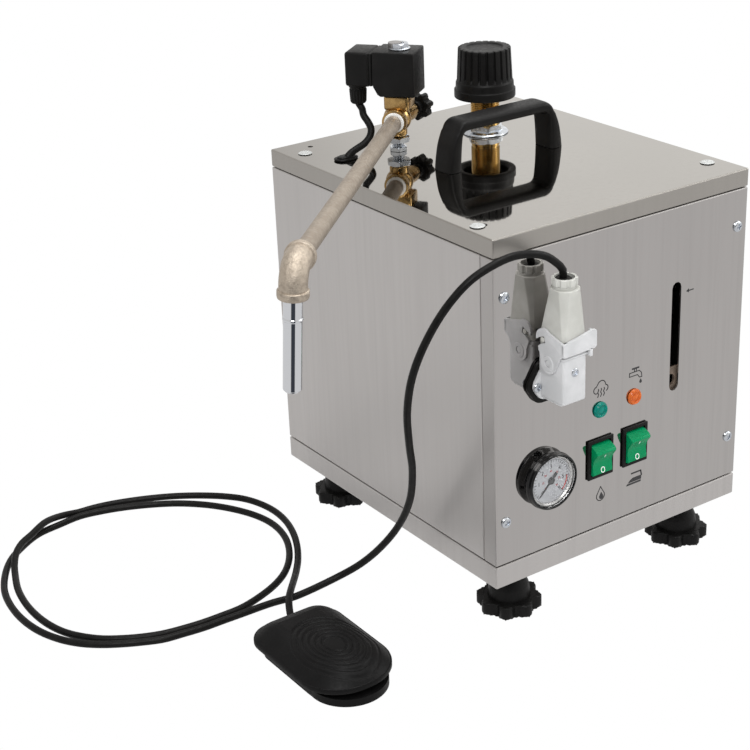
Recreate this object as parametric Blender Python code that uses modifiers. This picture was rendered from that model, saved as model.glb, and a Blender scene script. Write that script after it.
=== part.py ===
"""Countertop steam cleaner: a stainless boiler case with a steam valve, pipe and nozzle on its lid,
a carrying handle, a filler cap, a switch panel and a foot pedal on a plug-in cord.

Sizes are in metres. The floor is z = 0, +Y is the rear of the case, and x = y = 0 is the middle of
the case until the end, where everything is moved so that the footprint's middle is the origin."""
import math

import bmesh
import bpy
from mathutils import Matrix, Vector

GAP = 0.0003             # clearance between pieces that touch
OVERRUN = 0.004          # how far a cutter runs past a face
TURN = 2 * math.pi

# Case, of folded stainless sheet
CASE_WIDTH = 0.2580
CASE_DEPTH = 0.3024
CASE_HEIGHT = 0.2900
SHEET = 0.0015
FOLD = 0.0010
TRAY_HEIGHT = 0.0190
TRAY_LIP = 0.0090
LID_HEIGHT = 0.0148
FRONT_WRAP = 0.0153
WRAP_LIP = 0.0120
VENT_SIZE = 0.0048
VENT_PLACE = (-0.0998, 0.1344)
LID_PLUG_BORE = 0.0080
LID_PLUG_INSET = 0.0150
LID_PLUG_END = 0.0310
PANEL_SCREW_BORE = 0.0042
PANEL_SCREW_INSET = 0.0100
PANEL_SCREW_TOP = 0.0315
PANEL_SCREW_LOW = 0.0375

# Feet
FLOOR_GAP = 0.0410
FOOT_INSET_X = 0.0363
FOOT_INSET_Y = 0.0302
FOOT_RADIUS = 0.0265
FOOT_RIM = 0.0110
FOOT_LOBES = 8
FOOT_LOBE_CUT = 0.0062
FOOT_HUB_RADIUS = 0.0175
FOOT_NECK_RADIUS = 0.0115
FOOT_HUB_HEIGHT = 0.0270
FOOT_TOP_CLEAR = 0.0003
FOOT_PAD = 0.0010
STUD_RADIUS = 0.0050
STUD_RISE = 0.0320
STUD_IN_KNOB = 0.0200
NUT_RADIUS = 0.0098
NUT_HEIGHT = 0.0080

# Carrying handle
HANDLE_Y = 0.0030
HANDLE_DEPTH = 0.0235
HANDLE_SPAN = 0.1170
HANDLE_HEIGHT = 0.0405
HANDLE_BAR = 0.0090
HANDLE_LEG = 0.0135
HANDLE_TOP_SPAN = 0.0800
HANDLE_ROUND = 0.0038
HANDLE_CORNER = 0.0085
HANDLE_RIB = 0.0008
HANDLE_RIBS = 6
HANDLE_SCREW_BORE = 0.0052
HANDLE_SCREW_DEPTH = 0.0150

# Filler neck, nut, plug and cap
FILLER_PLACE = (0.0377, 0.0695)
NECK_RADIUS = 0.01235
NECK_BORE = 0.0082
NECK_RISE = 0.0440
RING_NUT_RADIUS = 0.0200
RING_NUT_HEIGHT = 0.0045
RING_WASHER_RADIUS = 0.0190
RING_WASHER = 0.0020
CAP_RISE = 0.0318
CAP_TOP = 0.0740
CAP_SKIRT_RADIUS = 0.0261
CAP_SKIRT = 0.0132
CAP_BODY_RADIUS = 0.0237
CAP_CROWN_RADIUS = 0.0223
CAP_WALL = 0.0045
CAP_TOP_WALL = 0.0060
CAP_EDGE = 0.0022
CAP_GROOVES = 22
CAP_GROOVE_RADIUS = 0.0021
CAP_GROOVE_STEP = 0.0010
CAP_GROOVE_STOP = 0.0030
PLUG_FLANGE_RADIUS = 0.0165
PLUG_FLANGE = 0.0090
PLUG_SHANK = 0.0180
PLUG_SLOT = 0.0030
PLUG_PIN_RADIUS = 0.0040
PLUG_PIN = 0.0030
CAP_TURNS = 3
CAP_PITCH = 0.0020

# Steam valve, coil, plug and lead
VALVE_PLACE = (-0.0494, 0.0761)
PIPE_RISE = 0.0274
PIPE_HEADING = math.radians(-136.6)
COIL_HEADING = math.radians(-52.5)
KNOB_HEADING = math.radians(27.0)
LOCKNUT_RADIUS = 0.0100
LOCKNUT_HEIGHT = 0.0037
NIPPLE_RADIUS = 0.0050
NIPPLE_BORE = 0.0030
NIPPLE_NUT_RADIUS = 0.0092
NIPPLE_NUT_LOW = 0.0078
NIPPLE_NUT_TOP = 0.0122
VALVE_LOW = 0.0126
VALVE_STEM_RADIUS = 0.0080
VALVE_BOSS_RADIUS = 0.0104
VALVE_BOSS_REACH = 0.0145
VALVE_HEAD = 0.0240
VALVE_HEAD_LOW = 0.0370
VALVE_TOP = 0.0446
VALVE_CHAMFER = 0.0025
VALVE_PORT_DEPTH = 0.0090
KNOB_BOSS_RADIUS = 0.0075
KNOB_BOSS_REACH = 0.0270
KNOB_STEM_RADIUS = 0.0030
KNOB_STEM_SOCKET = 0.0140
KNOB_REACH = 0.0355
KNOB_RADIUS = 0.0125
KNOB_THICK = 0.0095
KNOB_LOBES = 7
KNOB_LOBE_CUT = 0.0034
KNOB_SINK = 0.0060
KNOB_TURNS = 4
KNOB_PITCH = 0.0010
COIL_LOW = 0.0452
COIL_TOP = 0.0828
COIL_FRONT = 0.0195
COIL_BACK = 0.0160
COIL_DEPTH = 0.0320
COIL_EDGE = 0.0008
COIL_CUT_WIDE = 0.0047
COIL_CUT_TALL = 0.0077
CORE_RADIUS = 0.0060
CORE_BORE = 0.0047
CORE_TOP_WALL = 0.0030
COIL_NUT_RADIUS = 0.0088
COIL_WASHER_RADIUS = 0.0108
COIL_WASHER = 0.0016
COIL_NUT_TOP = 0.0912
ARMATURE_LENGTH = 0.0220
ARMATURE_TRAVEL = 0.0015
SPRING_WIRE = 0.0005
SPRING_CLEAR = 0.0007
PLUG_BLOCK = 0.0210
PLUG_BLOCK_DEPTH = 0.0310
PLUG_BLOCK_LOW = 0.0528
PLUG_BLOCK_TOP = 0.0822
PLUG_BLOCK_EDGE = 0.0018
PLUG_GLAND_RADIUS = 0.00735
PLUG_GLAND_TIP = 0.0060
PLUG_GLAND_LOW = 0.0370
LEAD_RADIUS = 0.0030
GROMMET_PLACE = (-0.0970, 0.0840)
GROMMET_LENGTH = 0.0200
GROMMET_WIDTH = 0.0140
GROMMET_RISE = 0.0035
GROMMET_NECK = 0.0015

# Steam pipe, elbow and nozzle
PIPE_RADIUS = 0.00675
PIPE_BORE = 0.0045
PIPE_RUN = 0.3506
ELBOW_REACH = 0.0235
ELBOW_RADIUS = 0.0088
ELBOW_COLLAR_RADIUS = 0.0110
ELBOW_COLLAR = 0.0065
ELBOW_SOCKET = 0.0100
NOZZLE_RADIUS = 0.0066
NOZZLE_RING_RADIUS = 0.0072
NOZZLE_RING_DROP = 0.0135
NOZZLE_LENGTH = 0.0655
NOZZLE_BORE = 0.0045
NOZZLE_CHAMFER = 0.0012

# Pressure gauge
GAUGE_PLACE = (-0.0786, 0.1233)
GAUGE_BEZEL = 0.0245
GAUGE_PROUD = 0.0100
GAUGE_STEP = 0.0015
GAUGE_BODY = 0.0215
GAUGE_BODY_DEPTH = 0.0240
GAUGE_STEM = 0.0060
GAUGE_STEM_LENGTH = 0.0140
GAUGE_WINDOW = 0.0212
GAUGE_LENS = 0.0015
GAUGE_LENS_SINK = 0.0010
GAUGE_DIAL = 0.0205
GAUGE_DIAL_THICK = 0.0008
GAUGE_DIAL_SINK = 0.0062
NEEDLE_LENGTH = 0.0160
NEEDLE_TAIL = 0.0075
NEEDLE_WIDTH = 0.0022
NEEDLE_THICK = 0.0006
NEEDLE_HUB = 0.0026
NEEDLE_SHAFT = 0.0009
NEEDLE_SHAFT_DEPTH = 0.0030
NEEDLE_REST = math.radians(225.0)
NEEDLE_SWEEP = math.radians(270.0)

# Lamps
LAMP_PLACES = {"lamp_green": (-0.0265, 0.1670), "lamp_orange": (0.0091, 0.1676)}
LAMP_RADIUS = 0.0068
LAMP_PROUD = 0.0032
LAMP_BODY = 0.0050
LAMP_DEPTH = 0.0200
LAMP_DISH = 0.0045
LAMP_DISH_DEPTH = 0.0008

# Rocker switches
ROCKER_PLACES = {"left": -0.0253, "right": 0.01135}
ROCKER_Z = 0.1242
BEZEL_WIDTH = 0.0275
BEZEL_HEIGHT = 0.0344
BEZEL_PROUD = 0.0022
BEZEL_EDGE = 0.0009
SWITCH_BODY_WIDTH = 0.0225
SWITCH_BODY_HEIGHT = 0.0302
SWITCH_BODY_DEPTH = 0.0230
ROCKER_WIDTH = 0.0192
ROCKER_OPENING = 0.0290
ROCKER_POCKET = 0.0150
ROCKER_HALF = 0.0134
ROCKER_CROWN = 0.0052
ROCKER_SADDLE = 0.0034
ROCKER_PIVOT = 0.0040
ROCKER_KEEL = 0.0100
ROCKER_TILT = math.radians(13.0)
TAB_WIDTH = 0.0048
TAB_THICK = 0.0008
TAB_LENGTH = 0.0080

# Sight slot and glass
SLOT_X = 0.0547
SLOT_LOW = 0.1590
SLOT_TOP = 0.2530
SLOT_WIDTH = 0.0098
SIGHT_BACK = 0.0220
SIGHT_RADIUS = 0.0050
SIGHT_BORE = 0.0036
SIGHT_MARGIN = 0.0060
SIGHT_BLOCK = 0.0140
SIGHT_BLOCK_HEIGHT = 0.0150
SIGHT_ARM = 0.0045
SIGHT_CUP = 0.0080

# Plug-in connector
CONNECTOR_X = -0.0780
HOUSING_WIDTH = 0.0225
HOUSING_BACK = 0.0035
HOUSING_FRONT = 0.0320
HOUSING_LOW = 0.1988
HOUSING_TOP = 0.2400
HOUSING_EDGE = 0.0014
FLANGE_HALF = 0.0190
FLANGE_LOW = 0.1932
FLANGE_TOP = 0.2229
FLANGE_WAIST = 0.0163
FLANGE_SHOULDER_LOW = 0.0106
FLANGE_SHOULDER_TOP = 0.0084
FLANGE_THICK = 0.0028
GASKET_THICK = 0.0030
GASKET_BORDER = 0.0038
HOUSING_WELL = 0.0150
HOUSING_WALL = 0.0022
PANEL_PASSAGE = 0.0080
HOOD_TOP = 0.2885
HOOD_STRAIGHT = 0.0110
HOOD_TOP_WIDTH = 0.0205
HOOD_TOP_BACK = 0.0070
HOOD_TOP_FRONT = 0.0285
HOOD_FACET = 0.0056
HOOD_COLLAR = 0.0108
HOOD_COLLAR_TOP = 0.2965
HOOD_NECK = 0.0098
HOOD_NECK_HEIGHT = 0.0024
HOOD_BORE = 0.0078
HOOD_SPIGOT = 0.0100
COLLAR_NOTCHES = 8
COLLAR_NOTCH_WIDE = 0.0026
COLLAR_NOTCH_DEEP = 0.0012
PEG_RADIUS = 0.0020
PEG_OUT = 0.0024
PEG_DEPTH = 0.0105
PEG_LIFT = 0.0070
LEVER_DEPTH = 0.0170
LEVER_PIN_DROP = 0.0100
LEVER_DISC = 0.0085
LEVER_PLATE = 0.0020
LEVER_PIN = 0.0025
LEVER_BAND_LOW = 0.0095
LEVER_BAND_TOP = 0.0215
LEVER_BAND = 0.0026
LEVER_HOOK_TOP = 0.0265
LEVER_SLOT_CLEAR = 0.0006
LEVER_SWING = math.radians(55.0)

# Foot pedal
PEDAL_X = -0.2605
PEDAL_WIDTH = 0.0775
PEDAL_REAR = -0.0455
PEDAL_FRONT = -0.1635
PEDAL_REAR_ROUND = 0.0220
PEDAL_FRONT_ROUND = 0.0360
PEDAL_FLOOR = 0.0030
PEDAL_RIM = 0.0115
PEDAL_TOP = 0.0275
PEDAL_SHOULDER = 0.0150
PEDAL_WALL = 0.0025
PEDAL_LIP_X = -0.2650
PEDAL_LIP_Y = -0.1300
PEDAL_LIP_RADIUS = 0.0360
PEDAL_LIP_HEIGHT = 0.0065
PEDAL_BASE_INSET = 0.0045
PEDAL_BASE_WALL = 0.0070
PEDAL_GRIP_Y = -0.1180
PEDAL_GRIP_X = -0.2600
PEDAL_GRIP_RINGS = 3
PEDAL_GRIP_FIRST = 0.0130
PEDAL_GRIP_STEP = 0.0065
PEDAL_GRIP_DEEP = 0.0015
PEDAL_GRIP_WIDE = 0.0012
PEDAL_GRIP_STRETCH_SHARE = 1.20
HINGE_Y = -0.0600
HINGE_Z = 0.0125
HINGE_EAR_X = 0.0260
HINGE_EAR = 0.0040
HINGE_EAR_RADIUS = 0.0048
HINGE_PIN = 0.0020
PEDAL_SWING = math.radians(2.5)
PEDAL_CORD_X = -0.2520
PEDAL_CORD_Z = 0.0075
SWITCH_Y = -0.1020
SWITCH_LENGTH = 0.0200
SWITCH_WIDTH = 0.0064
SWITCH_HEIGHT = 0.0102
PLUNGER_Y = -0.1060
PLUNGER_RADIUS = 0.0015
PLUNGER_SINK = 0.0060
RETURN_SPRING_Y = -0.1330
RETURN_SPRING_RADIUS = 0.0050
RETURN_SPRING_WIRE = 0.0006
RETURN_SPRING_TURNS = 4
SPRING_POST_RADIUS = 0.0030
SPRING_POST = 0.0030

# Boiler and its fittings
BOILER_PLACE = (0.0, 0.0380)
BOILER_RADIUS = 0.0980
BOILER_LOW = 0.0850
BOILER_TOP = 0.2860
BOILER_DOME = 0.0140
BOILER_WALL = 0.0020
BOSS_HEIGHT = 0.0030
BOSS_RIM = 0.0045
SKIRT_RADIUS = 0.0780
SKIRT_ARCH = 0.0300
SKIRT_ARCHES = 3
ELEMENT_FLANGE = 0.0300
ELEMENT_FLANGE_THICK = 0.0080
ELEMENT_HOLE = 0.0240
ELEMENT_TUBE = 0.0042
ELEMENT_REACH = 0.0900
ELEMENT_SPREAD = 0.0130
PRESSURE_SWITCH_PLACE = (-0.0600, 0.0150)
PRESSURE_SWITCH_RADIUS = 0.0170
PRESSURE_SWITCH_STEM = 0.0050
PRESSURE_SWITCH_STEM_LENGTH = 0.0060
PRESSURE_SWITCH_HEIGHT = 0.0220
PRESSURE_SWITCH_CAP = 0.0110
PRESSURE_SWITCH_CAP_HEIGHT = 0.0060
MAINS_PLACE = (0.0850, 0.0850)
MAINS_BORE = 0.0045
MAINS_RADIUS = 0.0105
MAINS_NOSE = 0.0180
MAINS_NOSE_TIP = 0.0072
MAINS_THREAD = 0.0080
MAINS_FLANGE = 0.0060
MAINS_TAIL = 0.0140
MAINS_NUT_RADIUS = 0.0120
MAINS_NUT = 0.0050

# Pedal cord
CORD_RADIUS = 0.0030
CORD_STEP = 0.0305
CORD_FINE_STEP = 0.0050
CORD_ARCH_POINTS = 14

# Routes, chosen by hand. The coil lead's bow is measured from its gland, and its landing from the grommet
LEAD_STEP = 0.0050
LEAD_BOW = [(0.001, -0.001, 0.029), (0.009, -0.008, 0.018), (0.010, -0.010, 0.010), (-0.004, -0.011, 0.0065)]
LEAD_LANDING = [(0.010, 0.0, 0.0130), (0.0022, 0.0, 0.0105), (0.0, 0.0, 0.0052), (0.0, 0.0, -0.0050),
                (0.0, -0.001, -0.0150)]
LEAD_END = -0.0330
LEAD_END_RUN = 0.0250

# The cord's hanging stretch, from above the connector to the floor, then its lie on the floor to the pedal
CORD_HANGS = [(-0.0793, -0.1701, 0.3020), (-0.0849, -0.1700, 0.3083), (-0.0939, -0.1695, 0.3154),
              (-0.1070, -0.1685, 0.3202), (-0.1232, -0.1670, 0.3218), (-0.1394, -0.1645, 0.3182),
              (-0.1574, -0.1610, 0.3099), (-0.1737, -0.1550, 0.2926), (-0.1862, -0.1470, 0.2680),
              (-0.1924, -0.1370, 0.2389), (-0.1900, -0.1250, 0.2057), (-0.1788, -0.1100, 0.1676),
              (-0.1677, -0.0970, 0.1375), (-0.1592, -0.0800, 0.1012), (-0.1576, -0.0610, 0.0698),
              (-0.1630, -0.0430, 0.0442), (-0.1723, -0.0260, 0.0238), (-0.1857, -0.0120, 0.0100)]
CORD_LIES = [(-0.2283, -0.0068, 0.0), (-0.2478, -0.0034, 0.0), (-0.2762, -0.0022, 0.0),
             (-0.2929, -0.0015, 0.0), (-0.3097, -0.001, 0.0), (-0.3272, 0.0013, 0.0),
             (-0.3443, 0.0041, 0.0), (-0.3592, 0.0107, 0.0), (-0.3735, 0.0186, 0.0),
             (-0.3869, 0.0278, 0.0), (-0.3993, 0.0394, 0.0), (-0.4099, 0.055, 0.0), (-0.418, 0.0759, 0.0),
             (-0.4217, 0.0998, 0.0), (-0.4209, 0.1264, 0.0), (-0.4154, 0.1529, 0.0), (-0.404, 0.1779, 0.0),
             (-0.3904, 0.1979, 0.0), (-0.3758, 0.2111, 0.0), (-0.3511, 0.2262, 0.0),
             (-0.3269, 0.2308, 0.0), (-0.3063, 0.2332, 0.0), (-0.2866, 0.2293, 0.0),
             (-0.2687, 0.2234, 0.0), (-0.2452, 0.212, 0.0), (-0.2248, 0.1986, 0.0), (-0.2068, 0.181, 0.0),
             (-0.1946, 0.1642, 0.0), (-0.1856, 0.1472, 0.0), (-0.1801, 0.1324, 0.0),
             (-0.1769, 0.1155, 0.0), (-0.1773, 0.0991, 0.0), (-0.1812, 0.0813, 0.0),
             (-0.1884, 0.0643, 0.0), (-0.1996, 0.0465, 0.0), (-0.2147, 0.0304, 0.0),
             (-0.2321, 0.0189, 0.0), (-0.2541, 0.01, 0.0), (-0.2725, 0.0055, 0.0), (-0.2901, 0.0052, 0.0),
             (-0.307, 0.0057, 0.0), (-0.3245, 0.0078, 0.0), (-0.3411, 0.0112, 0.0), (-0.3562, 0.0173, 0.0),
             (-0.3702, 0.0253, 0.0), (-0.3833, 0.0351, 0.0), (-0.3946, 0.0485, 0.0),
             (-0.4024, 0.0622, 0.0), (-0.4076, 0.0795, 0.0), (-0.41, 0.0994, 0.0), (-0.4095, 0.1223, 0.0),
             (-0.4053, 0.1479, 0.0), (-0.3975, 0.1714, 0.0), (-0.392, 0.1846, 0.003),
             (-0.3849, 0.1959, 0.0068), (-0.3753, 0.2056, 0.0084), (-0.3624, 0.2138, 0.0089),
             (-0.3429, 0.2267, 0.0093), (-0.3227, 0.2375, 0.0042), (-0.302, 0.2408, 0.0),
             (-0.2815, 0.2386, 0.0), (-0.2544, 0.23, 0.0), (-0.229, 0.2181, 0.0), (-0.213, 0.2082, 0.0),
             (-0.1979, 0.1965, 0.0), (-0.184, 0.1832, 0.0), (-0.1724, 0.1677, 0.0), (-0.1656, 0.15, 0.0),
             (-0.1627, 0.1297, 0.0), (-0.1645, 0.1078, 0.0), (-0.1711, 0.0846, 0.0), (-0.181, 0.0625, 0.0),
             (-0.1928, 0.0428, 0.0), (-0.2049, 0.0262, 0.001), (-0.2191, 0.0077, 0.005),
             (-0.2319, -0.0084, 0.0082), (-0.2412, -0.0204, 0.0082)]
CORD_END_RUN = 0.0100

# Shares of the piece that carries them, and angles in degrees
ROCKER_FACE_SHARES = (0.35, 0.70)
LEVER_SLOT_START = 9
LEVER_SLOT_END = 60
COVER_ROUND_SHARE = 0.42
COVER_RISE_SHARE = 0.90
COVER_CROWN_SHARE = 1.35


# Shared places, worked out from the sizes
FRONT = -CASE_DEPTH / 2
REAR = CASE_DEPTH / 2
SIDE = CASE_WIDTH / 2
LID_TOP = FLOOR_GAP + CASE_HEIGHT
TRAY_TOP = FLOOR_GAP + TRAY_HEIGHT
PANEL_LOW = TRAY_TOP + GAP
PANEL_TOP = LID_TOP - LID_HEIGHT - GAP
TRAY_FLOOR = FLOOR_GAP + SHEET
PIPE_Z = LID_TOP + PIPE_RISE
HOOD_LOW = HOUSING_TOP + GAP
LEVER_RISE = HOUSING_TOP - LEVER_PIN_DROP
PEG_RISE = HOUSING_TOP + PEG_LIFT
FLANGE_MIDDLE = FLANGE_LOW + FLANGE_WAIST
BOSS_TOP = BOILER_TOP + BOSS_HEIGHT

bpy.context.scene.unit_settings.length_unit = "MILLIMETERS"
for old in list(bpy.data.objects):
    bpy.data.objects.remove(old, do_unlink=True)
PARTS = bpy.data.collections.new("steam_cleaner")
CUTTERS = bpy.data.collections.new("cutters")
for collection in (PARTS, CUTTERS):
    bpy.context.scene.collection.children.link(collection)


def finish(name, colour, roughness, metallic=0.0, transmission=0.0):
    """A plain Principled material."""
    made = bpy.data.materials.new(name)
    made.use_nodes = True
    shader = made.node_tree.nodes["Principled BSDF"]
    shader.inputs["Base Color"].default_value = (*colour, 1.0)
    shader.inputs["Roughness"].default_value = roughness
    shader.inputs["Metallic"].default_value = metallic
    shader.inputs["Transmission Weight"].default_value = transmission
    made.diffuse_color = (*colour, 1.0)
    return made


STAINLESS = finish("stainless", (0.62, 0.60, 0.58), 0.22, 1.0)
BLACK_PLASTIC = finish("black_plastic", (0.018, 0.018, 0.020), 0.45)
BLACK_RUBBER = finish("black_rubber", (0.015, 0.015, 0.016), 0.62)
BRASS = finish("brass", (0.72, 0.48, 0.20), 0.26, 1.0)
ZINC = finish("zinc", (0.74, 0.76, 0.80), 0.25, 1.0)
GALVANISED = finish("galvanised", (0.36, 0.33, 0.29), 0.48, 1.0)
CAST = finish("cast_fitting", (0.66, 0.60, 0.52), 0.42, 1.0)
CHROME = finish("chrome", (0.82, 0.83, 0.85), 0.10, 1.0)
GREY_PLASTIC = finish("grey_plastic", (0.68, 0.69, 0.67), 0.42)
DIAL_WHITE = finish("dial_white", (0.80, 0.80, 0.80), 0.50)
CLEAR = finish("clear", (0.95, 0.95, 0.95), 0.05, 0.0, 1.0)
GREEN = finish("green_plastic", (0.0, 0.33, 0.13), 0.25)
LAMP_GREEN_FINISH = finish("green_lens", (0.0, 0.30, 0.22), 0.12)
LAMP_ORANGE_FINISH = finish("orange_lens", (0.75, 0.17, 0.02), 0.12)
BARE_STEEL = finish("bare_steel", (0.50, 0.50, 0.51), 0.38, 1.0)


def empty(name, parent, place=(0, 0, 0), turn=(0, 0, 0)):
    made = bpy.data.objects.new(name, None)
    PARTS.objects.link(made)
    made.parent = parent
    made.location = place
    made.rotation_euler = turn
    return made


def put(name, mesh, look, parent, place=(0, 0, 0), turn=(0, 0, 0)):
    """An object among the parts, or a hidden cutter where it has no material."""
    made = bpy.data.objects.new(name, mesh)
    if look is None:
        CUTTERS.objects.link(made)
        made.hide_render = True
        made.display_type = "WIRE"
    else:
        PARTS.objects.link(made)
        mesh.materials.append(look)
    made.parent = parent
    made.location = place
    made.rotation_euler = turn
    return made


def fused(shape, name):
    """The mesh of a bmesh, with its faces pointing out."""
    bmesh.ops.recalc_face_normals(shape, faces=shape.faces)
    mesh = bpy.data.meshes.new(name)
    shape.to_mesh(mesh)
    shape.free()
    return mesh


def block(name, low, high, look, parent, place=(0, 0, 0), turn=(0, 0, 0)):
    """A box from its lowest to its highest corner."""
    low = Vector(low)
    high = Vector(high)
    shape = bmesh.new()
    bmesh.ops.create_cube(shape, size=1.0)
    bmesh.ops.scale(shape, vec=high - low, verts=shape.verts)
    bmesh.ops.translate(shape, vec=(high + low) / 2, verts=shape.verts)
    return put(name, fused(shape, name), look, parent, place, turn)


def rod(name, radius, low, high, look, parent, place=(0, 0, 0), turn=(0, 0, 0), sides=16, tip=None):
    """A cylinder or a cone along its own Z, from low to high."""
    shape = bmesh.new()
    bmesh.ops.create_cone(
        shape, cap_ends=True, segments=sides, depth=high - low,
        radius1=radius, radius2=radius if tip is None else tip)
    bmesh.ops.translate(shape, vec=(0, 0, (high + low) / 2), verts=shape.verts)
    return put(name, fused(shape, name), look, parent, place, turn)


def turned(name, profile, look, parent, place=(0, 0, 0), turn=(0, 0, 0), steps=20, closed=False):
    """A profile of (radius, height) points, down its outer side, turned about Z."""
    mesh = bpy.data.meshes.new(name)
    edges = [(i, i + 1) for i in range(len(profile) - 1)]
    if closed:
        edges.append((len(profile) - 1, 0))
    mesh.from_pydata([(radius, 0, height) for radius, height in profile], edges, [])
    made = put(name, mesh, look, parent, place, turn)
    screw = made.modifiers.new("turn", "SCREW")
    screw.axis = "Z"
    screw.angle = TURN
    screw.steps = steps
    screw.render_steps = steps
    screw.use_merge_vertices = True
    screw.merge_threshold = 0.00001
    screw.use_smooth_shade = True
    return made


def plate(name, outline, thickness, look, parent, place=(0, 0, 0), turn=(0, 0, 0)):
    """A flat outline in its own XY plane, thickened upwards along Z."""
    curve = bpy.data.curves.new(name + "_outline", "CURVE")
    curve.dimensions = "2D"
    curve.fill_mode = "BOTH"
    curve.extrude = thickness / 2
    spline = curve.splines.new("POLY")
    spline.points.add(len(outline) - 1)
    for point, (x, y) in zip(spline.points, outline):
        point.co = (x, y, 0, 1)
    spline.use_cyclic_u = True
    return put(name, curve_mesh(curve, name, thickness / 2), look, parent, place, turn)


def curve_mesh(curve, name, rise=0.0):
    """The welded mesh of a curve, lifted by rise along its own Z."""
    guide = bpy.data.objects.new(name + "_guide", curve)
    CUTTERS.objects.link(guide)
    bpy.context.view_layer.update()
    graph = bpy.context.evaluated_depsgraph_get()
    mesh = bpy.data.meshes.new_from_object(guide.evaluated_get(graph))
    mesh.name = name
    bpy.data.objects.remove(guide, do_unlink=True)
    shape = bmesh.new()
    shape.from_mesh(mesh)
    bmesh.ops.remove_doubles(shape, verts=shape.verts, dist=0.00001)
    bmesh.ops.recalc_face_normals(shape, faces=shape.faces)
    bmesh.ops.translate(shape, vec=(0, 0, rise), verts=shape.verts)
    shape.to_mesh(mesh)
    shape.free()
    return mesh


def wire(name, points, radius, resolution=2):
    """The mesh of a round wire or tube along points."""
    curve = bpy.data.curves.new(name + "_path", "CURVE")
    curve.dimensions = "3D"
    curve.bevel_depth = radius
    curve.bevel_resolution = resolution
    curve.use_fill_caps = True
    spline = curve.splines.new("POLY")
    spline.points.add(len(points) - 1)
    for point, place in zip(spline.points, points):
        point.co = (*place, 1)
    return curve_mesh(curve, name)


def smooth_path(knots, step):
    """Points a step apart along a centripetal Catmull-Rom curve through the knots."""
    knots = [Vector(knot) for knot in knots]
    ends = [2 * knots[0] - knots[1], *knots, 2 * knots[-1] - knots[-2]]
    fine = []
    for a, b, c, d in zip(ends, ends[1:], ends[2:], ends[3:]):
        t1 = (b - a).length ** 0.5
        t2 = t1 + (c - b).length ** 0.5
        t3 = t2 + (d - c).length ** 0.5
        for index in range(24):
            t = t1 + (t2 - t1) * index / 24
            ab = a.lerp(b, t / t1)
            bc = b.lerp(c, (t - t1) / (t2 - t1))
            cd = c.lerp(d, (t - t2) / (t3 - t2))
            abc = ab.lerp(bc, t / t2)
            bcd = bc.lerp(cd, (t - t1) / (t3 - t1))
            fine.append(abc.lerp(bcd, (t - t1) / (t2 - t1)))
    fine.append(knots[-1])
    lengths = [0.0]
    for before, after in zip(fine, fine[1:]):
        lengths.append(lengths[-1] + (after - before).length)
    count = max(2, round(lengths[-1] / step))
    path = []
    index = 0
    for number in range(count + 1):
        wanted = lengths[-1] * number / count
        while index < len(fine) - 2 and lengths[index + 1] < wanted:
            index += 1
        share = (wanted - lengths[index]) / (lengths[index + 1] - lengths[index])
        path.append(fine[index].lerp(fine[index + 1], min(1.0, share)))
    return path


def arc(centre, radius, start, end, count):
    """Points on an arc in a plane, its angles in degrees."""
    points = []
    for index in range(count + 1):
        angle = math.radians(start + (end - start) * index / count)
        points.append((centre[0] + radius * math.cos(angle), centre[1] + radius * math.sin(angle)))
    return points


def oval(length, width, count=5):
    """A slot-shaped outline, its long side along X."""
    reach = (length - width) / 2
    right = arc((reach, 0), width / 2, -90, 90, count)
    left = arc((-reach, 0), width / 2, 90, 270, count)
    return right + left


def boolean(made, other, operation):
    step = made.modifiers.new(operation.lower(), "BOOLEAN")
    step.operation = operation
    step.solver = "EXACT"
    step.object = other
    return made


def cut(made, *others):
    for other in others:
        boolean(made, other, "DIFFERENCE")
    return made


def join(made, *others):
    for other in others:
        boolean(made, other, "UNION")
    return made


def rounded(made, width, segments=2, angle=30.0):
    """Bevels each edge that is sharper than the angle."""
    bevel = made.modifiers.new("round", "BEVEL")
    bevel.width = width
    bevel.segments = segments
    bevel.limit_method = "ANGLE"
    bevel.angle_limit = math.radians(angle)
    return made


MACHINE = empty("machine", None)
TO_FRONT = (math.radians(90), 0, 0)      # turns a piece's own Z to face the front


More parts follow.
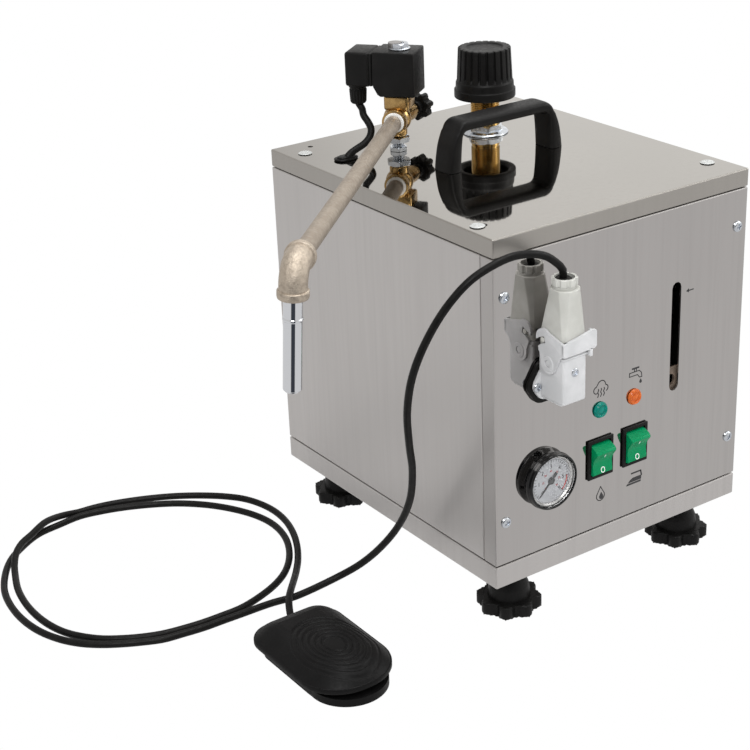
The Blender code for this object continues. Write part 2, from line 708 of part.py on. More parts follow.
def case():
    """The tray, the lid, the front panel and the panel that wraps the sides and the back."""
    inner = SIDE - SHEET
    depth = REAR - SHEET
    tray = rounded(block("base_tray", (-SIDE, FRONT, FLOOR_GAP), (SIDE, REAR, TRAY_TOP), STAINLESS,
                         MACHINE), FOLD)
    cut(tray, block("tray_hollow", (-inner, -depth, TRAY_FLOOR), (inner, depth, TRAY_TOP - SHEET),
                    None, MACHINE),
        block("tray_mouth", (-SIDE + TRAY_LIP, FRONT + TRAY_LIP, TRAY_FLOOR + SHEET),
              (SIDE - TRAY_LIP, REAR - TRAY_LIP, TRAY_TOP + OVERRUN), None, MACHINE))
    for number, (x, y) in enumerate(foot_places()):
        nut_top = TRAY_FLOOR + NUT_HEIGHT
        join(tray, rod(f"weld_nut_{number}", NUT_RADIUS, TRAY_FLOOR - SHEET / 2, nut_top, None, MACHINE,
                       (x, y, 0), sides=6))
        cut(tray, rod(f"stud_bore_{number}", STUD_RADIUS + GAP, FLOOR_GAP - OVERRUN, nut_top + OVERRUN,
                      None, MACHINE, (x, y, 0), sides=12))

    lid = rounded(block("lid", (-SIDE, FRONT, LID_TOP - LID_HEIGHT), (SIDE, REAR, LID_TOP), STAINLESS,
                        MACHINE), FOLD)
    cut(lid, block("lid_hollow", (-inner, -depth, LID_TOP - LID_HEIGHT - OVERRUN),
                   (inner, depth, LID_TOP - SHEET), None, MACHINE))
    holes = {
        "neck_hole": (FILLER_PLACE, NECK_RADIUS + GAP),
        "nipple_hole": (VALVE_PLACE, NIPPLE_RADIUS + GAP),
        "vent_hole": (VENT_PLACE, VENT_SIZE / 2),
    }
    reach_x = SIDE - LID_PLUG_INSET
    reach_y = REAR - LID_PLUG_END
    for number, (x, y) in enumerate(((-reach_x, -reach_y), (reach_x, -reach_y),
                                     (reach_x, reach_y), (-reach_x, reach_y))):
        holes[f"plug_hole_{number}"] = ((x, y), LID_PLUG_BORE / 2)
    for side in (-1, 1):
        holes[f"handle_hole_{side}"] = (handle_screw(side), HANDLE_SCREW_BORE / 2)
    for name, (place, radius) in holes.items():
        cut(lid, rod(name, radius, -OVERRUN - SHEET, OVERRUN, None, MACHINE, (*place, LID_TOP),
                     sides=20 if radius > FOLD * 10 else 10))
    grommet_hole = plate("grommet_hole", oval(GROMMET_LENGTH - 2 * GROMMET_NECK + 2 * GAP,
                                              GROMMET_WIDTH - 2 * GROMMET_NECK + 2 * GAP),
                         SHEET + 2 * OVERRUN, None, MACHINE,
                         (*GROMMET_PLACE, LID_TOP - SHEET - OVERRUN))
    cut(lid, grommet_hole)

    front = rounded(block("front_panel", (-SIDE, FRONT, PANEL_LOW), (SIDE, FRONT + FRONT_WRAP, PANEL_TOP),
                          STAINLESS, MACHINE), FOLD)
    cut(front, block("front_hollow", (-inner, FRONT + SHEET, PANEL_LOW + SHEET),
                     (inner, FRONT + FRONT_WRAP + OVERRUN, PANEL_TOP - SHEET), None, MACHINE))
    slot = plate("sight_slot", oval(SLOT_TOP - SLOT_LOW, SLOT_WIDTH), SHEET + 2 * OVERRUN, None, MACHINE,
                 (SLOT_X, FRONT + SHEET + OVERRUN, (SLOT_TOP + SLOT_LOW) / 2),
                 (math.radians(90), math.radians(90), 0))
    cut(front, slot)
    round_holes = {"gauge_hole": (GAUGE_PLACE, GAUGE_BODY + GAP),
                   "passage": ((CONNECTOR_X, FLANGE_MIDDLE), PANEL_PASSAGE)}
    for name, place in LAMP_PLACES.items():
        round_holes[name + "_hole"] = (place, LAMP_BODY + GAP)
    for number, (x, z) in enumerate(panel_screws()):
        round_holes[f"panel_screw_{number}"] = ((x, z), PANEL_SCREW_BORE / 2)
    for name, ((x, z), radius) in round_holes.items():
        cut(front, rod(name, radius, -SHEET - OVERRUN, OVERRUN, None, MACHINE, (x, FRONT, z), TO_FRONT,
                       sides=24 if radius > FOLD * 10 else 10))
    for side, x in ROCKER_PLACES.items():
        half_width = SWITCH_BODY_WIDTH / 2 + GAP
        half_height = SWITCH_BODY_HEIGHT / 2 + GAP
        cut(front, block(f"switch_hole_{side}", (-half_width, -OVERRUN, -half_height),
                         (half_width, OVERRUN + SHEET, half_height), None, MACHINE, (x, FRONT, ROCKER_Z)))

    wrap_front = FRONT + FRONT_WRAP + GAP
    wrap = rounded(block("wrap_panel", (-SIDE, wrap_front, PANEL_LOW), (SIDE, REAR, PANEL_TOP), STAINLESS,
                         MACHINE), FOLD)
    cut(wrap, block("wrap_hollow", (-inner, wrap_front - OVERRUN, PANEL_LOW + SHEET),
                    (inner, depth, PANEL_TOP - SHEET), None, MACHINE),
        block("wrap_mouth", (-SIDE + WRAP_LIP, wrap_front - OVERRUN, PANEL_LOW - OVERRUN),
              (SIDE - WRAP_LIP, REAR - WRAP_LIP, PANEL_TOP + OVERRUN), None, MACHINE),
        rod("mains_hole", MAINS_THREAD + GAP, -OVERRUN - SHEET, OVERRUN, None, MACHINE,
            (MAINS_PLACE[0], REAR, MAINS_PLACE[1]), (math.radians(-90), 0, 0)))


def foot_places():
    x = SIDE - FOOT_INSET_X
    y = REAR - FOOT_INSET_Y
    return [(-x, -y), (x, -y), (x, y), (-x, y)]


def panel_screws():
    x = SIDE - PANEL_SCREW_INSET
    low = PANEL_LOW + PANEL_SCREW_LOW
    top = PANEL_TOP - PANEL_SCREW_TOP
    return [(-x, low), (x, low), (x, top), (-x, top)]


def handle_screw(side):
    return side * (HANDLE_SPAN / 2 - HANDLE_LEG / 2), HANDLE_Y


def star(radius, lobes, lobe_cut, sides_each=4):
    """A round outline whose rim is scooped between its lobes."""
    outline = []
    count = lobes * sides_each
    for index in range(count):
        angle = TURN * index / count
        wave = 0.5 - 0.5 * math.cos(lobes * angle)
        reach = radius - lobe_cut * wave ** 1.5
        outline.append((reach * math.cos(angle), reach * math.sin(angle)))
    return outline


def feet():
    """Four levelling feet: a star knob with a nut inside its hub, on a stud through the tray."""
    for name, (x, y) in zip(("front_left", "front_right", "rear_right", "rear_left"), foot_places()):
        knob = plate("foot_knob_" + name, star(FOOT_RADIUS, FOOT_LOBES, FOOT_LOBE_CUT), FOOT_RIM,
                     BLACK_PLASTIC, MACHINE, (x, y, 0))
        rounded(knob, FOOT_PAD, 1, 80)
        top = FLOOR_GAP - FOOT_TOP_CLEAR
        hub = turned("foot_hub_" + name, [(0, top), (FOOT_NECK_RADIUS, top),
                                          (FOOT_NECK_RADIUS, FOOT_HUB_HEIGHT),
                                          (FOOT_HUB_RADIUS, FOOT_RIM + GAP), (FOOT_HUB_RADIUS, FOOT_RIM / 2),
                                          (0, FOOT_RIM / 2)],
                     None, MACHINE, (x, y, 0), steps=12)
        socket = rod("foot_socket_" + name, STUD_RADIUS + GAP, top - STUD_IN_KNOB - GAP, top + OVERRUN,
                     None, MACHINE, (x, y, 0), sides=12)
        cut(join(knob, hub), socket)
        stud = rod("foot_stud_" + name, STUD_RADIUS, top - STUD_IN_KNOB, top + STUD_RISE, BARE_STEEL,
                   MACHINE, (x, y, 0), sides=12)
        shade(stud)


def shade(made, angle=35.0):
    """Smooth shading over all but the sharp edges."""
    made.data.shade_smooth()
    made.data.set_sharp_from_angle(angle=math.radians(angle))
    return made


def carry_handle():
    """A bow handle: its side outline with a finger window, cut to its depth."""
    half = HANDLE_SPAN / 2
    top = HANDLE_TOP_SPAN / 2
    foot_in = half - HANDLE_LEG
    shoulder = HANDLE_HEIGHT - HANDLE_CORNER
    right = [(half, 0), (half - HANDLE_BAR / 6, HANDLE_HEIGHT / 5),
             (half - HANDLE_LEG / 3.6, HANDLE_HEIGHT / 2), (half - HANDLE_LEG * 0.6, shoulder)]
    right += arc((top, shoulder), HANDLE_CORNER, 12, 90, 4)
    inside = HANDLE_HEIGHT - HANDLE_BAR
    window_corner = HANDLE_CORNER * 0.8
    window_top = foot_in - HANDLE_LEG * 0.55
    inner = [(foot_in, 0), (foot_in - HANDLE_LEG / 8, HANDLE_HEIGHT / 3)]
    inner += arc((window_top - window_corner, inside - window_corner), window_corner, 8, 90, 4)
    outline = right + [(-x, z) for x, z in reversed(right)]
    outline += [(-x, z) for x, z in inner] + [(x, z) for x, z in reversed(inner)]
    handle = plate("carry_handle", outline, HANDLE_DEPTH, BLACK_PLASTIC, MACHINE,
                   (0, HANDLE_Y + HANDLE_DEPTH / 2, LID_TOP + GAP), TO_FRONT)
    rounded(handle, HANDLE_ROUND, 2, 50)
    for side in (-1, 1):
        cut(handle, rod(f"handle_bore_{side}", HANDLE_SCREW_BORE / 2, -OVERRUN, HANDLE_SCREW_DEPTH, None,
                        MACHINE, (*handle_screw(side), LID_TOP), sides=12))


def filler():
    """The boiler's brass neck, its nut on the lid, and the pressure cap on its screwed plug."""
    place = (*FILLER_PLACE, LID_TOP)
    neck_low = BOSS_TOP + GAP - LID_TOP
    neck_top = NECK_RISE
    turned("filler_neck", [(NECK_BORE, neck_top), (NECK_RADIUS, neck_top), (NECK_RADIUS, neck_low),
                           (NECK_BORE, neck_low)], BRASS, MACHINE, place, steps=20, closed=True)
    nut = rod("filler_ring_nut", RING_NUT_RADIUS, RING_WASHER + GAP, RING_WASHER + GAP + RING_NUT_HEIGHT,
              ZINC, MACHINE, place, sides=6)
    washer = rod("filler_washer", RING_WASHER_RADIUS, GAP, RING_WASHER + 2 * GAP, None, MACHINE, place,
                 sides=20)
    crown = turned("filler_nut_crown", chamfered_cap(RING_NUT_RADIUS, -OVERRUN,
                                                     RING_WASHER + GAP + RING_NUT_HEIGHT, NECK_BORE / 6),
                   None, MACHINE, place, steps=20)
    boolean(nut, crown, "INTERSECT")
    join(nut, washer)
    cut(nut, rod("ring_nut_bore", NECK_RADIUS + GAP, -OVERRUN, RING_NUT_HEIGHT + OVERRUN, None, MACHINE,
                 place, sides=20))

    plug_place = (*FILLER_PLACE, LID_TOP + NECK_RISE + GAP)
    plug = turned("filler_plug", [(0, PLUG_FLANGE), (PLUG_FLANGE_RADIUS, PLUG_FLANGE),
                                  (PLUG_FLANGE_RADIUS, 0), (NECK_BORE - GAP, 0),
                                  (NECK_BORE - GAP, -PLUG_SHANK), (0, -PLUG_SHANK)],
                  BRASS, MACHINE, plug_place, steps=20)
    pin_top = PLUG_FLANGE + PLUG_PIN
    join(plug, rod("plug_pin", PLUG_PIN_RADIUS, PLUG_FLANGE / 2, pin_top, None, MACHINE, plug_place,
                   sides=12))

    cap_wall_in = CAP_BODY_RADIUS - CAP_WALL
    skirt_top = CAP_RISE + CAP_SKIRT
    profile = [(0, CAP_TOP), (CAP_CROWN_RADIUS - CAP_EDGE, CAP_TOP), (CAP_CROWN_RADIUS, CAP_TOP - CAP_EDGE),
               (CAP_BODY_RADIUS, skirt_top + CAP_EDGE / 2), (CAP_SKIRT_RADIUS - CAP_EDGE / 2, skirt_top),
               (CAP_SKIRT_RADIUS, skirt_top - CAP_EDGE / 2), (CAP_SKIRT_RADIUS, CAP_RISE + CAP_EDGE / 2),
               (CAP_SKIRT_RADIUS - CAP_EDGE / 2, CAP_RISE),
               (CAP_SKIRT_RADIUS - CAP_WALL, CAP_RISE), (cap_wall_in, CAP_RISE + CAP_EDGE),
               (cap_wall_in, plug_face()), (0, plug_face())]
    cap = turned("filler_cap", profile, BLACK_PLASTIC, MACHINE, place, steps=CAP_GROOVES)
    cut(cap, cap_grooves(place))
    cut(cap, rod("plug_pin_bore", PLUG_PIN_RADIUS + GAP, plug_face() - OVERRUN,
                 plug_face() + PLUG_PIN + GAP, None, MACHINE, place, sides=12))


def plug_face():
    """The height above the lid of the cap's inner face, just over the plug's flange."""
    return NECK_RISE + GAP + PLUG_FLANGE + GAP


def chamfered_cap(radius, low, high, chamfer):
    """The profile of a turned body that takes the corners off a nut's top."""
    return [(0, high), (radius * math.cos(math.radians(30)), high), (radius, high - chamfer),
            (radius, low), (0, low)]


def cap_grooves(place):
    """One cutter with a leaning rod for each groove down the side of the cap."""
    skirt_top = CAP_RISE + CAP_SKIRT
    low = skirt_top + CAP_GROOVE_STOP
    high = CAP_TOP + OVERRUN
    lean = math.atan2(CAP_BODY_RADIUS - CAP_CROWN_RADIUS, CAP_TOP - skirt_top)
    shape = bmesh.new()
    for number in range(CAP_GROOVES):
        angle = TURN * number / CAP_GROOVES
        spot = Matrix.Rotation(angle, 4, "Z") @ Matrix.Translation(
            (CAP_BODY_RADIUS + CAP_GROOVE_RADIUS - CAP_GROOVE_STEP, 0, low)) @ Matrix.Rotation(-lean, 4, "Y")
        made = bmesh.ops.create_cone(shape, cap_ends=True, segments=5, depth=high - low,
                                     radius1=CAP_GROOVE_RADIUS, radius2=CAP_GROOVE_RADIUS)
        bmesh.ops.transform(shape, verts=made["verts"],
                            matrix=spot @ Matrix.Translation((0, 0, (high - low) / 2)))
    return put("cap_grooves", fused(shape, "cap_grooves"), None, MACHINE, place)


def valve():
    """The nipple through the lid, the brass valve on it, its flow knob, and the magnet coil."""
    place = (*VALVE_PLACE, LID_TOP)
    locknut = rod("nipple_locknut", LOCKNUT_RADIUS, GAP, LOCKNUT_HEIGHT, ZINC, MACHINE, place, sides=6)
    cut(locknut, rod("locknut_bore", NIPPLE_RADIUS + GAP, -OVERRUN, LOCKNUT_HEIGHT + OVERRUN, None,
                     MACHINE, place))
    nipple_low = BOSS_TOP + GAP - LID_TOP
    nipple_top = VALVE_LOW - GAP
    nipple = turned("steam_nipple", [(NIPPLE_BORE, nipple_top), (NIPPLE_RADIUS, nipple_top),
                                     (NIPPLE_RADIUS, nipple_low), (NIPPLE_BORE, nipple_low)],
                    BARE_STEEL, MACHINE, place, steps=16, closed=True)
    nipple_nut = rod("nipple_nut", NIPPLE_NUT_RADIUS, NIPPLE_NUT_LOW, NIPPLE_NUT_TOP, None, MACHINE, place,
                     sides=6)
    cut(nipple_nut, rod("nipple_nut_bore", (NIPPLE_BORE + NIPPLE_RADIUS) / 2, -OVERRUN,
                        NIPPLE_NUT_TOP + OVERRUN, None, MACHINE, place))
    join(nipple, nipple_nut)

    port = empty("port_frame", MACHINE, place, (0, 0, PIPE_HEADING))
    coil_frame = empty("coil_frame", MACHINE, place, (0, 0, COIL_HEADING))
    knob_frame = empty("knob_frame", MACHINE, place, (0, 0, KNOB_HEADING))
    sideways = (0, math.radians(90), 0)
    body = turned("valve_body", [(0, VALVE_TOP - VALVE_CHAMFER),
                                 (VALVE_STEM_RADIUS, VALVE_TOP - VALVE_CHAMFER),
                                 (VALVE_STEM_RADIUS, VALVE_LOW + VALVE_CHAMFER / 2),
                                 (VALVE_STEM_RADIUS - VALVE_CHAMFER / 2, VALVE_LOW), (0, VALVE_LOW)],
                  BRASS, MACHINE, place, steps=16)
    head_half = VALVE_HEAD / 2
    head = block("valve_head", (-head_half, -head_half, VALVE_HEAD_LOW), (head_half, head_half, VALVE_TOP),
                 None, port)
    rounded(head, VALVE_CHAMFER, 1)
    neck = rod("valve_shoulder", VALVE_STEM_RADIUS, PIPE_RISE, VALVE_HEAD_LOW + GAP, None, port, sides=16,
               tip=VALVE_BOSS_RADIUS)
    boss = rod("valve_boss", VALVE_BOSS_RADIUS, -VALVE_STEM_RADIUS, VALVE_BOSS_REACH, None, port,
               (0, 0, PIPE_RISE), sideways)
    rounded(boss, VALVE_CHAMFER / 3, 1)
    knob_boss = rod("knob_boss", KNOB_BOSS_RADIUS, 0, KNOB_BOSS_REACH, None, knob_frame,
                    (0, 0, PIPE_RISE), sideways)
    rounded(knob_boss, VALVE_CHAMFER / 3, 1)
    join(body, head, neck, boss, knob_boss)
    cut(body, rod("port_bore", PIPE_RADIUS + GAP, VALVE_BOSS_REACH - VALVE_PORT_DEPTH,
                  VALVE_BOSS_REACH + OVERRUN, None, port, (0, 0, PIPE_RISE), sideways),
        rod("port_throat", PIPE_BORE, 0, VALVE_BOSS_REACH, None, port, (0, 0, PIPE_RISE), sideways),
        rod("seat_bore", NIPPLE_BORE, VALVE_LOW - OVERRUN, VALVE_TOP + OVERRUN, None, MACHINE, place),
        rod("stem_bore", KNOB_STEM_RADIUS + GAP, KNOB_BOSS_REACH - KNOB_STEM_SOCKET,
            KNOB_BOSS_REACH + OVERRUN, None, knob_frame, (0, 0, PIPE_RISE), sideways))

    knob_axis = empty("regulator_axis", knob_frame, (0, 0, PIPE_RISE), sideways)
    stem_low = KNOB_BOSS_REACH - KNOB_STEM_SOCKET + KNOB_PITCH * KNOB_TURNS + GAP
    knob_low = KNOB_REACH
    knob = plate("regulator_knob", star(KNOB_RADIUS, KNOB_LOBES, KNOB_LOBE_CUT), KNOB_THICK, BLACK_PLASTIC,
                 knob_axis, (0, 0, knob_low))
    rounded(knob, KNOB_THICK / 5, 1, 80)
    cut(knob, rod("knob_socket", KNOB_STEM_RADIUS + GAP, -OVERRUN, KNOB_SINK + GAP, None, knob_axis,
                  (0, 0, knob_low)))
    shade(rod("regulator_stem", KNOB_STEM_RADIUS, stem_low, knob_low + KNOB_SINK, BARE_STEEL, knob_axis))

    core_top = COIL_NUT_TOP
    turned("armature_tube", [(0, core_top), (CORE_RADIUS - GAP, core_top),
                             (CORE_RADIUS - GAP, VALVE_TOP + GAP), (CORE_BORE, VALVE_TOP + GAP),
                             (CORE_BORE, core_top - CORE_TOP_WALL),
                             (0, core_top - CORE_TOP_WALL)],
           BRASS, MACHINE, place, steps=16)
    armature_low = VALVE_TOP + GAP
    shade(rod("armature", CORE_BORE - GAP, 0, ARMATURE_LENGTH, BARE_STEEL, MACHINE,
              (*VALVE_PLACE, LID_TOP + armature_low)))
    spring_low = armature_low + ARMATURE_LENGTH + GAP
    spring_top = core_top - CORE_TOP_WALL - GAP
    put("armature_spring", wire("armature_spring", coil_points(CORE_BORE - SPRING_CLEAR - SPRING_WIRE,
                                                               spring_low, spring_top, SPRING_WIRE, 4),
                                SPRING_WIRE, 0), BARE_STEEL, MACHINE, place)

    coil = block("solenoid_coil", (-COIL_FRONT, -COIL_DEPTH / 2, COIL_LOW),
                 (COIL_BACK, COIL_DEPTH / 2, COIL_TOP), BLACK_PLASTIC, coil_frame)
    wedge = plate("coil_corner", [(-COIL_FRONT - OVERRUN, -OVERRUN), (-COIL_FRONT + COIL_CUT_WIDE, -OVERRUN),
                                  (-COIL_FRONT + COIL_CUT_WIDE, 0), (-COIL_FRONT, COIL_CUT_TALL),
                                  (-COIL_FRONT - OVERRUN, COIL_CUT_TALL)],
                  COIL_DEPTH + 2 * OVERRUN, None, coil_frame,
                  (0, COIL_DEPTH / 2 + OVERRUN, COIL_LOW), TO_FRONT)
    cut(coil, wedge)
    rounded(coil, COIL_EDGE, 1)
    cut(coil, rod("coil_bore", CORE_RADIUS, COIL_LOW - OVERRUN, COIL_TOP + OVERRUN, None, coil_frame))

    nut_low = COIL_TOP + COIL_WASHER
    nut = rod("coil_nut", COIL_NUT_RADIUS, nut_low, COIL_NUT_TOP - GAP, ZINC, coil_frame, sides=6)
    crown = turned("coil_nut_crown", chamfered_cap(COIL_NUT_RADIUS, COIL_TOP, COIL_NUT_TOP - GAP,
                                                   COIL_WASHER / 2), None, coil_frame, steps=20)
    boolean(nut, crown, "INTERSECT")
    join(nut, rod("coil_washer", COIL_WASHER_RADIUS, COIL_TOP + GAP, nut_low + GAP, None, coil_frame))
    cut(nut, rod("coil_nut_bore", CORE_RADIUS, COIL_TOP, COIL_NUT_TOP + OVERRUN, None, coil_frame))

    plug_near = -COIL_FRONT - GAP
    plug_far = plug_near - PLUG_BLOCK
    din = block("din_plug", (plug_far, -PLUG_BLOCK_DEPTH / 2, PLUG_BLOCK_LOW),
                (plug_near, PLUG_BLOCK_DEPTH / 2, PLUG_BLOCK_TOP), BLACK_PLASTIC, coil_frame)
    rounded(din, PLUG_BLOCK_EDGE, 2)
    gland = rod("plug_gland", PLUG_GLAND_TIP, PLUG_GLAND_LOW, PLUG_BLOCK_LOW + PLUG_BLOCK_EDGE * 2, None,
                coil_frame, (plug_middle(), 0, 0), sides=12, tip=PLUG_GLAND_RADIUS)
    join(din, gland)
    cut(din, rod("gland_bore", LEAD_RADIUS + GAP, PLUG_GLAND_LOW - OVERRUN,
                 PLUG_GLAND_LOW + OVERRUN, None, coil_frame, (plug_middle(), 0, 0), sides=16))


def plug_middle():
    """How far along the coil's own X the plug's gland sits."""
    return -COIL_FRONT - GAP - PLUG_BLOCK / 2


def coil_points(radius, low, high, wire_radius, turns):
    """The wire's middle line of a helical spring that fills the space from low to high."""
    points = []
    count = turns * 8
    start = low + wire_radius
    rise = high - low - 2 * wire_radius
    for index in range(count + 1):
        share = index / count
        angle = TURN * turns * share
        points.append((radius * math.cos(angle), radius * math.sin(angle), start + rise * share))
    return points


def lead_points():
    """The lead's own route from the plug's gland, in a bow, to the grommet and into the case."""
    turn = Matrix.Rotation(COIL_HEADING, 3, "Z")
    gland = turn @ Vector((plug_middle(), 0, 0)) + Vector((*VALVE_PLACE, LID_TOP))
    hole = Vector((*GROMMET_PLACE, LID_TOP))
    knots = [gland + Vector((0, 0, PLUG_GLAND_LOW + OVERRUN - GAP)), gland + Vector((0, 0, PLUG_GLAND_LOW))]
    knots += [gland + Vector(step) for step in LEAD_BOW]
    knots += [hole + Vector(step) for step in LEAD_LANDING]
    capsule = Vector((*PRESSURE_SWITCH_PLACE, hole.z + LEAD_END))
    outward = Vector((hole.x - capsule.x, hole.y - capsule.y, 0)).normalized()
    end = capsule + outward * (PRESSURE_SWITCH_RADIUS + GAP)
    knots += [end + outward * LEAD_END_RUN, end + outward * LEAD_STEP, end]
    return smooth_path(knots, LEAD_STEP)


def lead():
    """The coil's lead and the oval grommet that it goes through."""
    put("solenoid_lead", wire("solenoid_lead", lead_points(), LEAD_RADIUS, 2), BLACK_RUBBER, MACHINE)
    x, y = GROMMET_PLACE
    over = plate("lid_grommet", oval(GROMMET_LENGTH, GROMMET_WIDTH), GROMMET_RISE, BLACK_RUBBER, MACHINE,
                 (x, y, LID_TOP + GAP))
    rounded(over, GROMMET_RISE / 4, 1, 50)
    neck = plate("grommet_neck", oval(GROMMET_LENGTH - 2 * GROMMET_NECK, GROMMET_WIDTH - 2 * GROMMET_NECK),
                 SHEET + 2 * GROMMET_NECK, None, MACHINE, (x, y, LID_TOP - SHEET - GROMMET_NECK))
    under = plate("grommet_under", oval(GROMMET_LENGTH, GROMMET_WIDTH), GROMMET_NECK, None, MACHINE,
                  (x, y, LID_TOP - SHEET - GAP - GROMMET_NECK))
    join(over, neck, under)
    cut(over, rod("grommet_bore", LEAD_RADIUS + 2 * GAP, -SHEET - OVERRUN, GROMMET_RISE + OVERRUN, None,
                  MACHINE, (x, y, LID_TOP), sides=12))


def steam_line():
    """The pipe out of the valve, the elbow on its end, and the nozzle that points down."""
    sideways = (0, math.radians(90), 0)
    place = (*VALVE_PLACE, PIPE_Z)
    port = empty("pipe_frame", MACHINE, place, (0, 0, PIPE_HEADING))
    pipe_near = VALVE_BOSS_REACH - VALVE_PORT_DEPTH + GAP
    pipe_far = PIPE_RUN - ELBOW_REACH + ELBOW_SOCKET - GAP
    turned("steam_pipe", [(PIPE_BORE, pipe_far), (PIPE_RADIUS, pipe_far), (PIPE_RADIUS, pipe_near),
                          (PIPE_BORE, pipe_near)], GALVANISED, port, (0, 0, 0), sideways, 16, True)

    bend = empty("elbow_frame", port, (PIPE_RUN, 0, 0))
    round_radius = ELBOW_REACH - ELBOW_COLLAR / 2
    centre = (-round_radius, -round_radius)
    path = [(x, 0, z) for x, z in arc(centre, round_radius, 90, 0, 6)]
    path = [(-ELBOW_REACH + GAP, 0, 0), *path, (0, 0, -ELBOW_REACH + GAP)]
    elbow = put("pipe_elbow", wire("pipe_elbow", path, ELBOW_RADIUS, 2), CAST, bend)
    collars = []
    for name, turn in (("pipe_collar", (0, math.radians(-90), 0)), ("nozzle_collar", (math.pi, 0, 0))):
        collar = rod(name, ELBOW_COLLAR_RADIUS, ELBOW_REACH - ELBOW_COLLAR, ELBOW_REACH, None, bend,
                     (0, 0, 0), turn)
        collars.append(rounded(collar, ELBOW_COLLAR / 5, 1))
    join(elbow, *collars)
    cut(elbow,
        rod("pipe_socket", PIPE_RADIUS + GAP, ELBOW_REACH - ELBOW_SOCKET, ELBOW_REACH + OVERRUN, None, bend,
            (0, 0, 0), (0, math.radians(-90), 0)),
        rod("nozzle_socket", NOZZLE_RADIUS + GAP, ELBOW_REACH - ELBOW_SOCKET, ELBOW_REACH + OVERRUN, None,
            bend, (0, 0, 0), (math.pi, 0, 0)),
        rod("elbow_bore_in", PIPE_BORE, 0, ELBOW_REACH, None, bend, (0, 0, 0), (0, math.radians(-90), 0),
            sides=12),
        rod("elbow_bore_out", PIPE_BORE, -PIPE_BORE, ELBOW_REACH, None, bend, (0, 0, 0), (math.pi, 0, 0),
            sides=12))

    top = -(ELBOW_REACH - ELBOW_SOCKET + GAP)
    low = -(ELBOW_REACH + NOZZLE_LENGTH)
    ring = -ELBOW_REACH - NOZZLE_RING_DROP
    slope = NOZZLE_RING_RADIUS - NOZZLE_RADIUS
    turned("steam_nozzle", [(NOZZLE_BORE, top), (NOZZLE_RADIUS, top), (NOZZLE_RADIUS, ring + 2 * slope),
                            (NOZZLE_RING_RADIUS, ring + slope), (NOZZLE_RING_RADIUS, ring - slope),
                            (NOZZLE_RADIUS, ring - 2 * slope), (NOZZLE_RADIUS, low + NOZZLE_CHAMFER),
                            (NOZZLE_RADIUS - NOZZLE_CHAMFER, low), (NOZZLE_BORE, low)],
           CHROME, bend, (0, 0, 0), (0, 0, 0), 16, True)


def gauge():
    """The dial gauge: its black case through the panel, its dial, its lens and its needle."""
    place = (GAUGE_PLACE[0], FRONT, GAUGE_PLACE[1])
    sight = GAUGE_WINDOW
    ledge = GAUGE_PROUD - GAUGE_LENS_SINK - GAUGE_LENS - GAP
    floor = GAUGE_PROUD - GAUGE_DIAL_SINK
    case_profile = [
        (0, floor - NEEDLE_SHAFT_DEPTH - GAP), (NEEDLE_SHAFT + GAP, floor - NEEDLE_SHAFT_DEPTH - GAP),
        (NEEDLE_SHAFT + GAP, floor), (GAUGE_DIAL + GAP, floor), (GAUGE_DIAL + GAP, ledge),
        (sight + GAP, ledge), (sight + GAP, GAUGE_PROUD), (GAUGE_BEZEL - GAUGE_STEP, GAUGE_PROUD),
        (GAUGE_BEZEL - GAUGE_STEP / 2, GAUGE_PROUD - GAUGE_STEP / 2),
        (GAUGE_BEZEL - GAUGE_STEP / 2, GAUGE_PROUD / 2), (GAUGE_BEZEL, GAUGE_PROUD / 2 - GAUGE_STEP / 2),
        (GAUGE_BEZEL, GAP), (GAUGE_BODY, GAP), (GAUGE_BODY, -GAUGE_BODY_DEPTH),
        (GAUGE_STEM, -GAUGE_BODY_DEPTH), (GAUGE_STEM, -GAUGE_BODY_DEPTH - GAUGE_STEM_LENGTH),
        (0, -GAUGE_BODY_DEPTH - GAUGE_STEM_LENGTH)]
    turned("gauge_case", case_profile, BLACK_PLASTIC, MACHINE, place, TO_FRONT, steps=24)
    dial_low = floor + GAP
    dial_top = dial_low + GAUGE_DIAL_THICK
    turned("gauge_dial", [(NEEDLE_SHAFT + GAP, dial_top), (GAUGE_DIAL, dial_top), (GAUGE_DIAL, dial_low),
                          (NEEDLE_SHAFT + GAP, dial_low)], DIAL_WHITE, MACHINE, place, TO_FRONT, 24, True)
    rod("gauge_lens", sight, ledge + GAP, ledge + GAP + GAUGE_LENS, CLEAR, MACHINE, place, TO_FRONT, sides=24)

    needle_place = (place[0], FRONT - dial_top - GAP, place[2])
    blade = [(-NEEDLE_TAIL, -NEEDLE_WIDTH / 2), (0, -NEEDLE_WIDTH / 2), (NEEDLE_LENGTH, -NEEDLE_WIDTH / 8),
             (NEEDLE_LENGTH, NEEDLE_WIDTH / 8), (0, NEEDLE_WIDTH / 2), (-NEEDLE_TAIL, NEEDLE_WIDTH / 2)]
    frame = empty("needle_frame", MACHINE, needle_place, TO_FRONT)
    needle = plate("gauge_needle", blade, NEEDLE_THICK, BLACK_PLASTIC, frame, (0, 0, 0), (0, 0, NEEDLE_REST))
    hub = rod("needle_hub", NEEDLE_HUB, 0, 2 * NEEDLE_THICK, None, frame, sides=12)
    shaft_low = -2 * GAP - GAUGE_DIAL_THICK - NEEDLE_SHAFT_DEPTH
    join(needle, hub, rod("needle_shaft", NEEDLE_SHAFT, shaft_low, NEEDLE_THICK, None, frame, sides=8))


